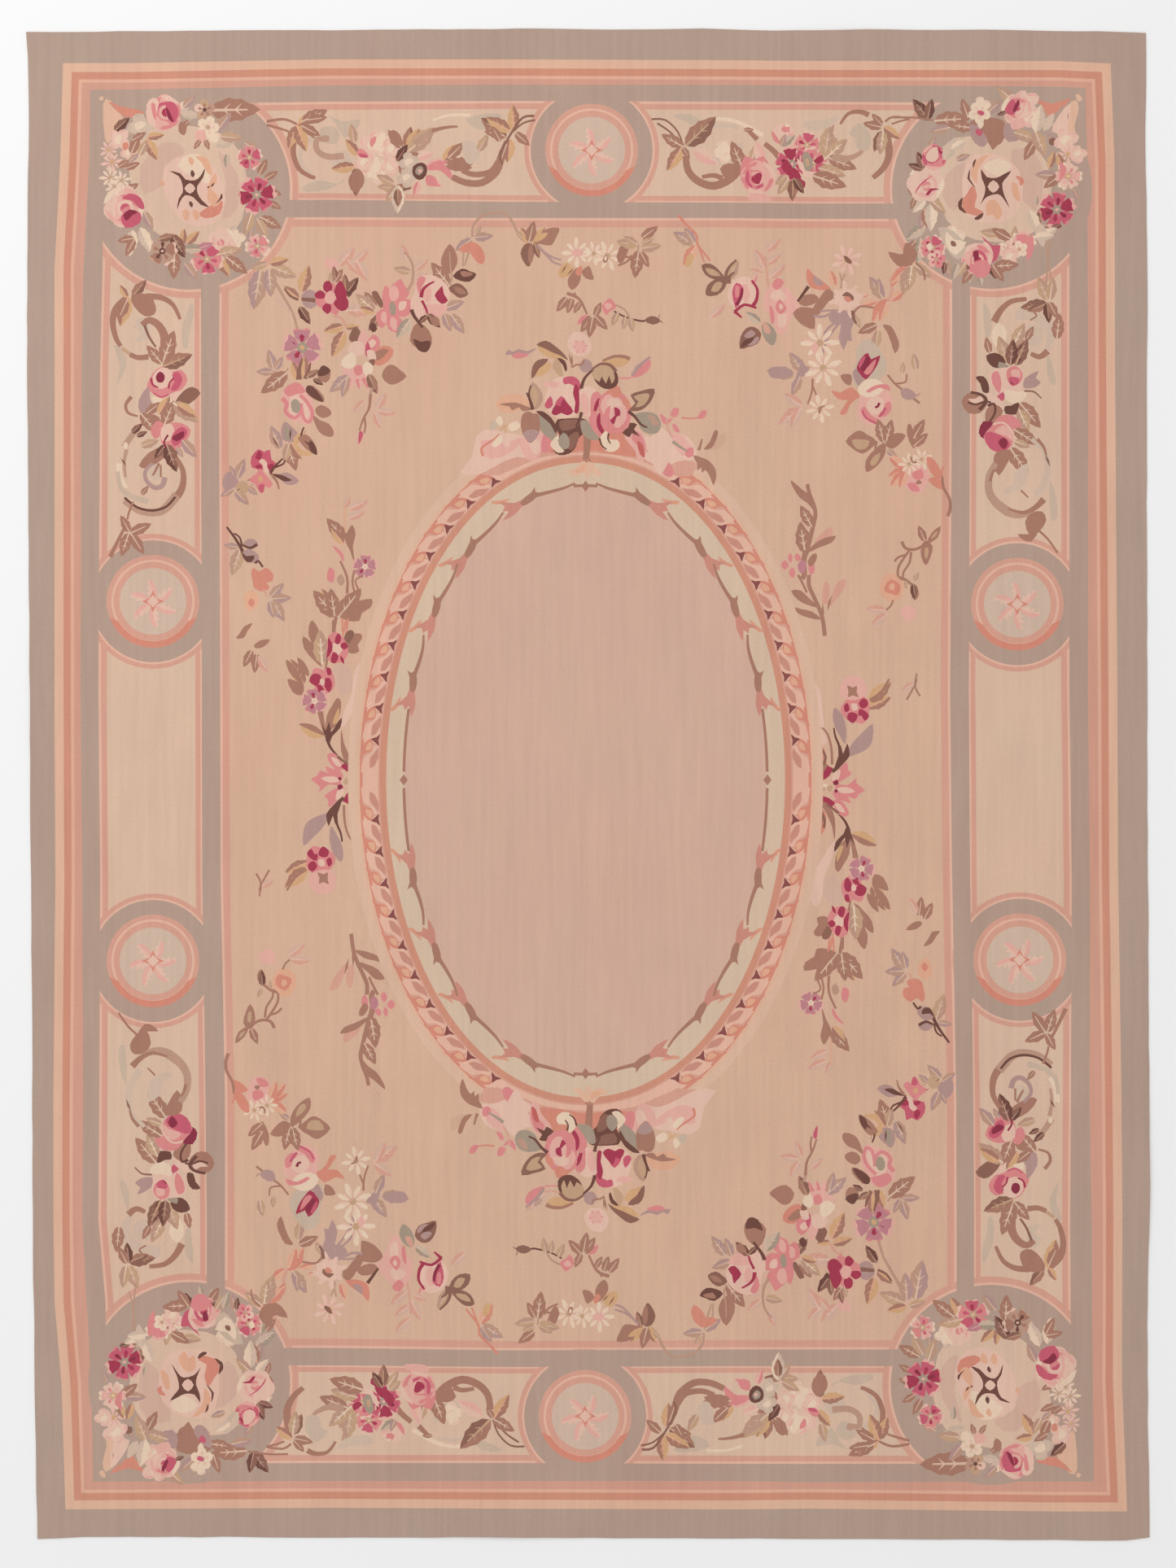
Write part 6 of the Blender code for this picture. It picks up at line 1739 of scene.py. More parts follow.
SIDE_LEFT_UP = (
    ("patch", "blush", (-75.4, 96), (-73, 98.6), (-70, 98.4), (-68.2, 95.6), (-67.2, 92), (-68.4, 88.4),
     (-71, 89.2), (-74, 90.2), (-75, 93.4)),
    ("patch", "petal", (-73.6, 92), (-73, 95.6), (-70.8, 96.4), (-69.4, 94), (-68.4, 91), (-69.8, 89.6),
     (-70.2, 92.4), (-72, 91)),
    ("patch", "pink", (-74.8, 97), (-73, 98.6), (-71, 98.8), (-69.4, 96.6), (-71.6, 96), (-73.6, 95.4)),
    ("stem", "pink", 1.2, 0.8, (-75.2, 95), (-74, 93.6), (-74.4, 92), (-73.4, 90.6)),
    ("stem", "pink", 0.9, 0.7, (-73.6, 90.8), (-72, 90.2), (-70.6, 91.6), (-70.4, 93.8)),
    ("stem", "pink", 0.9, 0.8, (-70.8, 95.8), (-69, 94), (-67.7, 91.4), (-68.4, 89.2), (-69.8, 90),
     (-70.4, 92.6)),
    ("patch", "sage", (-73, 94), (-71.8, 94.9), (-70.6, 93.4), (-71.2, 91.4), (-72.6, 91.8)),
    ("patch", "nutmeg", (-69.4, 96.6), (-69, 98), (-67.4, 98), (-65, 95.6), (-65, 94), (-67.4, 94.8)),
    ("patch", "umber", (-69.2, 96.6), (-69, 98.1), (-67.6, 97.8), (-65.8, 95.8), (-65.1, 94.1), (-67.4, 95)),
    ("patch", "nutmeg", (-67, 92.4), (-65.6, 93.4), (-63.6, 92.4), (-63.1, 91), (-65, 90.1), (-66.6, 91)),
    ("patch", "nutmeg", (-67.6, 90.8), (-65.8, 89.6), (-63.8, 88.8), (-62.5, 87), (-62.9, 85.5),
     (-65.4, 86.1),
     (-66.8, 88)),
    ("leaf", "faint", -52, 92.4, 4.8, 60),
    ("leaf", "faint", -51.8, 92, 4.8, -8),
    ("leaf", "faint", -52.4, 91.6, 4.4, -70),
    ("leaf", "faint", -54.6, 94.4, 4.2, 222),
    ("stem", "nutmeg", 0.7, 0.4, (-53.4, 96), (-53.8, 92.6), (-55.2, 90), (-56.2, 87)),
    ("stem", "nutmeg", 0.6, 0.4, (-55, 90.4), (-54.7, 88.4), (-55, 86.4)),
    ("patch", "rose", (-56.3, 86.6), (-55.6, 86.9), (-55.3, 85.8), (-56.4, 83.6)),
    ("leaf", "nutmeg", -74, 84.2, 7.4, -72),
    ("leaf", "fawn", -73.4, 84, 5, 255),
    ("leaf", "gold", -73, 84.2, 5, -58),
    ("patch", "lilac", (-75.5, 87), (-74.6, 89.3), (-73, 88.2), (-71.4, 86.6), (-71.8, 84.6), (-73.6, 84.2),
     (-75, 85)),
    ("patch", "sage", (-74.6, 88.2), (-73.4, 87.6), (-73, 85), (-74.4, 85)),
    ("stroke", "umber", -73.2, 84.6, 3.2, 80),
    ("leaf", "lilac", -75.6, 82.4, 6.4, 112),
    ("stroke", "brown", -75.6, 82.6, 3.8, 118),
    ("patch", "gold", (-72.4, 85.2), (-70.4, 86.6), (-69, 85.4), (-71.6, 83.6), (-70.4, 82.4), (-67.6, 81.4),
     (-69.6, 80.8), (-71.6, 82.2)),
    ("patch", "nutmeg", (-71.2, 85.4), (-69.4, 86.2), (-67.6, 84.6), (-66.6, 82.4), (-67, 81.2),
     (-69.4, 82.6),
     (-70.8, 84.4)),
    ("stroke", "umber", -70, 84.8, 4, -46),
    ("patch", "umber", (-68.2, 84.8), (-66.8, 82.8), (-66.6, 81.1), (-67.8, 81.6), (-68.6, 83)),
    ("stem", "umber", 0.5, 0.4, (-70.5, 85.8), (-70.2, 87), (-69.8, 87.9)),
    ("stroke", "umber", -69.7, 86.3, 1.0, 60),
    ("patch", "rose", (-82.7, 80.6), (-81, 82.5), (-79.6, 81.8), (-78.2, 82.4), (-77.8, 80), (-76.6, 79),
     (-77.6, 77.4), (-79.6, 77.4), (-82.6, 78)),
    ("patch", "crimson", (-81.8, 80.4), (-80.8, 82.2), (-80.1, 81.2), (-80.6, 79.8)),
    ("patch", "crimson", (-81.8, 78.2), (-80.8, 78.8), (-80, 78.2), (-80.8, 77.5)),
    ("patch", "crimson", (-79.3, 78.2), (-77.6, 79), (-77, 78), (-78, 76), (-78.6, 77.4)),
    ("patch", "petal", (-80.9, 79.4), (-80, 80.2), (-78.9, 79.2), (-78.8, 78), (-78, 76.4), (-79.6, 77),
     (-80, 78.6)),
    ("patch", "pink", (-83.5, 75), (-81.6, 76.4), (-80.6, 77.8), (-79, 76), (-77.5, 74), (-78.4, 72.9),
     (-79.6, 73.4), (-80, 71.6), (-81.4, 73), (-82, 74)),
    ("patch", "rose", (-81, 73.6), (-79.5, 73.8), (-79.8, 71.9), (-80.7, 72)),
    ("patch", "gold", (-81, 75.6), (-80.2, 75.9), (-80, 74.8), (-80.8, 74.5)),
    ("stem", "umber", 0.8, 0.4, (-78.2, 76.6), (-76.6, 78.6), (-75, 80.2)),
    ("stem", "umber", 0.5, 0.4, (-77, 78), (-75, 78.8), (-74.4, 79.8)),
    ("patch", "lilac", (-76, 76.2), (-74, 76.8), (-72.4, 76), (-71, 74.6), (-73, 73.6), (-75, 74.4)),
    ("patch", "umber", (-78, 76.4), (-75.8, 76.3), (-74, 75.6), (-72.8, 74.8), (-74.6, 74.6), (-76.2, 75.4)),
    ("stem", "nutmeg", 0.8, 0.3, (-77.6, 76), (-76.4, 74.4), (-75.9, 72.6)),
    ("leaf", "lilac", -86.4, 75.2, 5.4, 68),
    ("leaf", "lilac", -86.8, 75.4, 3.4, 112),
    ("patch", "lilac", (-89.8, 75), (-88.4, 77), (-87, 76), (-85.8, 74.6), (-87, 72.8), (-89.4, 72.6)),
    ("leaf", "lilac", -87, 73, 4, 214),
    ("leaf", "lilac", -86.8, 72.4, 5, -46),
    ("leaf", "lilac", -83.8, 73.4, 3.4, -40),
    ("patch", "tan", (-86.4, 73.8), (-84.6, 74.8), (-83.4, 73.2), (-84.4, 71.2), (-86, 71.8)),
    ("stroke", "umber", -86.5, 72.2, 1.4, 24),
    ("stroke", "umber", -85.4, 72.2, 0.8, -40),
    ("stroke", "umber", -83.9, 74.6, 1.2, 20),
    ("stroke", "umber", -83, 74, 1.0, -40),
    ("leaf", "lilac", -85.8, 58.4, 3.8, 172),
    ("leaf", "fawn", -85.4, 58, 7, 252),
    ("stem", "umber", 0.9, 0.5, (-84.8, 57.2), (-85.6, 58.8), (-87, 61), (-88.8, 63.4)),
    ("stem", "umber", 0.5, 0.4, (-85, 58.6), (-85.6, 60.8), (-87, 61.8)),
    ("patch", "lilac", (-84.8, 59.2), (-83.6, 60.4), (-82, 60.3), (-81.1, 59.2), (-82, 58.2), (-84, 58.2)),
    ("stem", "umber", 0.5, 0.8, (-84.8, 58.9), (-83, 58.2), (-81.3, 59.1)),
    ("patch", "lilac", (-84.8, 57.4), (-82.8, 57.9), (-81, 56.4), (-81.1, 54.9), (-83, 54.5), (-84.4, 56)),
    ("patch", "umber", (-85.2, 57.4), (-84, 56.2), (-82, 56.4), (-82.4, 55), (-83.8, 54.7), (-84.8, 56)),
    ("stem", "umber", 0.6, 0.5, (-81.8, 54.4), (-81, 55), (-79.9, 53.5)),
    ("patch", "coral", (-82.8, 52), (-82.2, 53.4), (-80.8, 52.4), (-79.2, 53.4), (-77.4, 51.9), (-77.6, 50),
     (-79, 49.7), (-78.2, 48.4), (-80, 47.5), (-82, 48.3), (-82.4, 50)),
    ("stem", "salmon", 0.5, 0.4, (-79.8, 48), (-78.8, 46.2)),
    ("patch", "apricot", (-84.6, 46), (-83, 48), (-81, 46.4), (-81.6, 43.4), (-83.6, 42.6)),
    ("patch", "coral", (-83.6, 44.7), (-82.8, 45.9), (-81.9, 44.8), (-82.6, 43.7)),
    ("leaf", "lilac", -78.2, 46, 5, 46),
    ("leaf", "lilac", -78, 45.7, 5.2, 3),
    ("leaf", "lilac", -77.8, 45.4, 6.2, -58),
    ("leaf", "lilac", -78.2, 45.4, 4.6, -78),
    ("leaf", "faint", -58.8, 67.8, 5.4, 24),
    ("leaf", "faint", -59, 65.4, 4.8, 24),
    ("leaf", "faint", -60, 68, 3.4, 62),
    ("stem", "apricot", 0.5, 0.4, (-59.8, 61), (-59.8, 69)),
    ("leaf", "nutmeg", -59.6, 60, 7.2, 130),
    ("leaf", "gold", -60, 59.2, 5, 128),
    ("patch", "nutmeg", (-59.8, 60.4), (-58.9, 62.6), (-57.9, 63.9), (-57.1, 61.6), (-57.8, 58.6),
     (-57.3, 54.4),
     (-58.6, 57.8)),
    ("patch", "pink", (-62.9, 58.7), (-61.4, 58.1), (-60.1, 56.4), (-60.1, 54.6), (-61, 56.4)),
    ("stem", "nutmeg", 0.5, 0.7, (-60.9, 55), (-59.2, 51), (-59.2, 47)),
    ("patch", "pink", (-64.2, 50.6), (-63.6, 53.4), (-62.3, 52.6), (-62.6, 49.8)),
    ("patch", "fawn", (-61.8, 50.6), (-60.6, 51.8), (-59.8, 50), (-60.8, 48.8)),
    ("bloom", "mauve", -54.8, 53.6, 3.2, 14, 1, 5),
    ("stem", "nutmeg", 0.5, 0.5, (-57.4, 52.8), (-57.9, 50), (-57.4, 47.4)),
    ("stem", "nutmeg", 0.4, 0.5, (-55.4, 51.4), (-57.2, 50.2), (-56.4, 48)),
    ("patch", "nutmeg", (-68.7, 37), (-68.3, 39.6), (-67.7, 40.4), (-66.4, 38.6), (-65.9, 36.4), (-68, 35.8)),
    ("leaf", "gold", -62.4, 42.4, 6.6, 118),
    ("leaf", "nutmeg", -62, 41.2, 8.6, 130),
    ("leaf", "nutmeg", -62.2, 41, 7.4, 98),
    ("leaf", "nutmeg", -61.4, 41, 9.2, 52),
    ("patch", "nutmeg", (-61, 41.4), (-59, 43.6), (-58, 45), (-56, 45.3), (-53.1, 45.7), (-53.4, 43.6),
     (-55.6, 42.2), (-56.2, 40.3), (-58.8, 40.3)),
    ("stem", "nutmeg", 0.9, 0.6, (-61.9, 41.4), (-62.4, 38), (-62.4, 34.6)),
    ("stem", "coral", 0.5, 0.4, (-60.4, 41), (-60.3, 37.6)),
    ("stem", "coral", 0.5, 0.4, (-59, 41), (-59.4, 37)),
)

SIDE_RIGHT_UP = (
    ("patch", "coral", (59.8, 97), (62, 96.4), (64.8, 97.8), (66.9, 95.2), (64, 94.6), (61.4, 94.8)),
    ("patch", "coral", (66.4, 95.4), (64, 94.6), (62.8, 92.8), (61.8, 91.2), (63.4, 91.1), (64.4, 93.4)),
    ("leaf", "faint", 52.6, 92.6, 7.2, 215),
    ("leaf", "faint", 52, 92.2, 5, 245),
    ("leaf", "faint", 52.6, 93, 5.6, 145),
    ("daisy", "cream", 57, 92.4, 3.6, 10),
    ("stem", "nutmeg", 0.4, 0.6, (58.2, 93.1), (57, 92.6), (56.9, 91.3)),
    ("patch", "blush", (66.4, 94), (67.4, 97), (70, 97.4), (73, 97), (74.9, 94.6), (74, 91.4), (71.6, 89.2),
     (68.6, 88.4), (66.2, 91)),
    ("patch", "cream", (66.2, 96.8), (67.6, 99.2), (70.6, 99.8), (72.8, 98.2), (71.6, 96), (68.4, 95.2)),
    ("patch", "pink", (69.2, 96.4), (71.6, 97.6), (74.2, 96.8), (73.6, 98.4), (70.6, 98.2), (68.4, 96.8)),
    ("patch", "pink", (67, 92), (68, 90), (70.4, 88.8), (71.6, 89.6), (69.6, 90.8), (68, 93)),
    ("patch", "pink", (72.6, 93.4), (74.2, 94.2), (74.5, 92), (72.8, 90.4), (71.6, 91.2)),
    ("patch", "petal", (68.6, 94), (70.6, 95.6), (72.8, 94.4), (72.4, 92), (70.4, 91), (68.8, 92)),
    ("stem", "rose", 0.4, 0.5, (67.4, 92), (68.4, 90.2), (70.8, 88.8)),
    ("stem", "rose", 0.7, 0.6, (73.1, 92.7), (72.4, 91.4), (71.5, 90.4)),
    ("stem", "wine", 0.5, 0.7, (70.5, 92.8), (71.2, 93), (71.6, 93.9)),
    ("patch", "nutmeg", (63.3, 84.4), (65, 86.3), (66.8, 87.1), (68.6, 86.1), (71, 84.4), (69.2, 82.4),
     (67.8, 81.5), (66.6, 81.6), (64.8, 82.8)),
    ("patch", "tan", (64.8, 84.7), (67, 84.9), (69.2, 84.5), (68.2, 82.6), (66, 82.6)),
    ("leaf", "nutmeg", 72.8, 84, 6.2, 105),
    ("leaf", "nutmeg", 73.2, 84, 6, 76),
    ("patch", "nutmeg", (73.1, 84), (74.6, 85.9), (76.2, 86.5), (78.1, 85.9), (76.8, 84), (75, 82.6),
     (73.6, 83)),
    ("patch", "nutmeg", (72.8, 84.2), (73.1, 81.6), (71.6, 79), (69.6, 77.3), (68.3, 77), (68.2, 79.4),
     (69.6, 81.6)),
    ("patch", "tan", (70.4, 80.8), (71.8, 81.7), (71.3, 79.5), (69.9, 78.3), (69.3, 79.3)),
    ("stem", "nutmeg", 0.6, 0.5, (71, 84.4), (70.6, 82.6), (71.4, 81.4)),
    ("leaf", "lilac", 73.4, 82.4, 3.4, -38),
    ("leaf", "coral", 74.2, 80.8, 5, -40),
    ("patch", "nutmeg", (79.8, 82.8), (78.4, 86), (78.6, 88.5), (79.4, 88.5), (80.2, 86), (80.5, 83.4)),
    ("leaf", "nutmeg", 80, 85.2, 5.4, 60),
    ("leaf", "nutmeg", 80, 83.2, 4.8, 42),
    ("patch", "blush", (78, 77), (80, 78.6), (82.4, 78.4), (84, 76.6), (83.4, 74), (81.8, 71.7), (79.6, 72),
     (77.8, 73.6)),
    ("patch", "pink", (79.6, 76.6), (82, 77.6), (82.4, 75.4), (80.4, 75)),
    ("patch", "pink", (78.4, 74), (80.4, 74.2), (81.6, 72.2), (79.6, 72.2)),
    ("patch", "nutmeg", (80.6, 74.4), (81.3, 75), (82.1, 74.2), (81, 73.8)),
    ("leaf", "coral", 78.2, 77.6, 4.8, 202),
    ("leaf", "coral", 78.2, 77.2, 5.4, 224),
    ("leaf", "coral", 78.2, 77, 4.4, 248),
    ("daisy", "cream", 78.9, 78.8, 2.8, 0),
    ("daisy", "cream", 82, 80, 2.8, 20),
    ("stem", "nutmeg", 0.4, 0.6, (79.3, 80.7), (79.8, 79.3), (80.8, 79.4)),
    ("patch", "coral", (83.3, 80.7), (85.2, 79.8), (86.8, 77), (87, 75.2), (85, 75.8), (83.5, 78.2)),
    ("patch", "coral", (83.5, 75), (85.4, 75.7), (87.2, 74.4), (87.6, 72.6), (85.6, 73)),
    ("stem", "nutmeg", 0.6, 0.9, (87, 76), (87.4, 73), (88.8, 70.4), (89, 68), (88.4, 66)),
    ("stem", "coral", 0.6, 0.4, (86.8, 75.6), (87, 77.4), (87.6, 78.3)),
    ("stem", "nutmeg", 1.1, 0.9, (53.6, 56.6), (54.6, 60.6), (55.4, 64), (55.9, 66.6), (55.4, 69),
     (54.4, 71.6),
     (53.9, 73.9)),
    ("patch", "nutmeg", (49.9, 74.9), (50.3, 73.2), (52, 70.6), (54, 69.2), (55.6, 67.4), (54.8, 70.8),
     (52.6, 72.6)),
    ("leaf", "nutmeg", 55, 63.4, 6, 118),
    ("leaf", "nutmeg", 53.4, 56.8, 8, 99),
    ("patch", "salmon", (55.4, 59.4), (57.4, 61.8), (59.8, 63.5), (60, 61.4), (58, 60.4)),
    ("patch", "nutmeg", (53.4, 56.8), (55.6, 59.2), (58, 60.6), (60.9, 61.2), (59.8, 59.5), (57, 58.4)),
    ("stem", "nutmeg", 1.4, 1.2, (53.6, 57.6), (53, 55), (53.2, 52), (52.6, 50.6)),
    ("patch", "pink", (47.4, 54), (48.4, 55.2), (49.4, 54), (48.4, 52.8)),
    ("patch", "pink", (49.1, 55.8), (49.7, 57), (50.3, 55.8), (49.8, 54.5)),
    ("patch", "pink", (50.7, 56), (51.4, 56.9), (52.5, 55.6), (51.5, 54.9)),
    ("patch", "pink", (49.3, 52.2), (50.2, 53.5), (51, 52), (50.2, 50.8)),
    ("patch", "mauve", (51.5, 54), (52.6, 55.3), (53.7, 54.4), (53.2, 52.3), (52, 52.2)),
    ("patch", "pink", (54.3, 54.9), (55.4, 54.7), (55.7, 52.8), (54.8, 51.5), (54.1, 53)),
    ("patch", "nutmeg", (53.9, 54.8), (55.2, 56.7), (56.3, 56.6), (56, 55), (54.8, 53.6)),
    ("stem", "nutmeg", 1.0, 1.0, (54.3, 51.6), (54.3, 49), (55.4, 46.4), (56.6, 43.8), (57.6, 41),
     (58.2, 36.6)),
    ("stem", "nutmeg", 0.6, 0.6, (51.6, 51.6), (52.8, 49.4), (53.8, 47.2)),
    ("patch", "nutmeg", (49.9, 47.7), (52.2, 47.8), (54, 46.2), (56.6, 43.6), (54, 44.2), (51.6, 45.4)),
    ("patch", "nutmeg", (50.3, 43.7), (52.4, 43.2), (55, 42.6), (57.4, 40.6), (54.4, 41), (51.8, 42)),
    ("patch", "salmon", (57.6, 44.6), (57.6, 48), (58.4, 50.1), (59.4, 48.4), (59, 44.8)),
    ("patch", "salmon", (59, 43.4), (60, 47), (61.4, 49.8), (63.5, 50.5), (62.6, 47.6), (60.6, 45)),
    ("stroke", "nutmeg", 58.8, 42.6, 4.2, 68),
    ("stroke", "nutmeg", 57.8, 40, 4.8, 84),
    ("stem", "nutmeg", 0.8, 0.6, (77.1, 59.8), (78, 58.2), (80, 57.8), (82, 58.6), (83, 60)),
    ("leaf", "nutmeg", 82.9, 59.7, 4.4, 113),
    ("patch", "nutmeg", (83.4, 59.4), (84.4, 61.9), (86.7, 63.6), (85.9, 60.7)),
    ("patch", "tan", (84.2, 60.5), (85, 61.8), (85.9, 62.3), (85.3, 61)),
    ("patch", "nutmeg", (81.9, 58.6), (83.2, 60.1), (84.7, 58.6), (84.1, 55.8), (83, 53.9), (81.9, 56)),
    ("patch", "tan", (82.8, 58.2), (83.7, 58.1), (83.5, 56), (82.8, 55.8)),
    ("stem", "nutmeg", 0.6, 0.6, (79, 57.7), (77.4, 55.4), (76.2, 53.2), (76.2, 50.8)),
    ("stem", "nutmeg", 0.6, 0.5, (79.4, 57.2), (79, 54.6), (77.6, 52.4), (77.4, 50.8)),
    ("stem", "nutmeg", 0.6, 0.5, (75.3, 54.9), (76.4, 56), (78.4, 56.6)),
    ("stem", "nutmeg", 0.9, 0.6, (76, 51), (78, 50.4), (79.6, 49.2)),
    ("patch", "nutmeg", (79.3, 49.5), (80.8, 48.9), (81.3, 46.6), (80.2, 45.3), (79.3, 47)),
    ("leaf", "umber", 80, 49.4, 3.8, -86),
    ("leaf", "fawn", 80, 50, 2.6, 60),
    ("leaf", "fawn", 78, 50.2, 2.2, -84),
    ("patch", "apricot", (71.6, 48), (72.6, 51), (74.6, 52.2), (76.6, 50.6), (77.8, 49), (76.8, 46.2),
     (75, 45),
     (72.8, 45.8)),
    ("patch", "coral", (72.8, 48.4), (74.4, 50.6), (76.8, 49), (76.2, 46.6), (74.4, 47), (73.2, 47.4)),
    ("patch", "apricot", (74, 49), (75.2, 49.6), (75.2, 48), (74.2, 48)),
    ("stem", "nutmeg", 0.5, 0.4, (75, 45.4), (74.4, 44), (73.2, 42.9)),
    ("leaf", "faint", 73.2, 42.8, 5, 174),
    ("leaf", "faint", 73.6, 42, 5, 215),
    ("patch", "blush", (76.8, 43.4), (80, 43.8), (80.6, 41.4), (78, 40.2)),
)

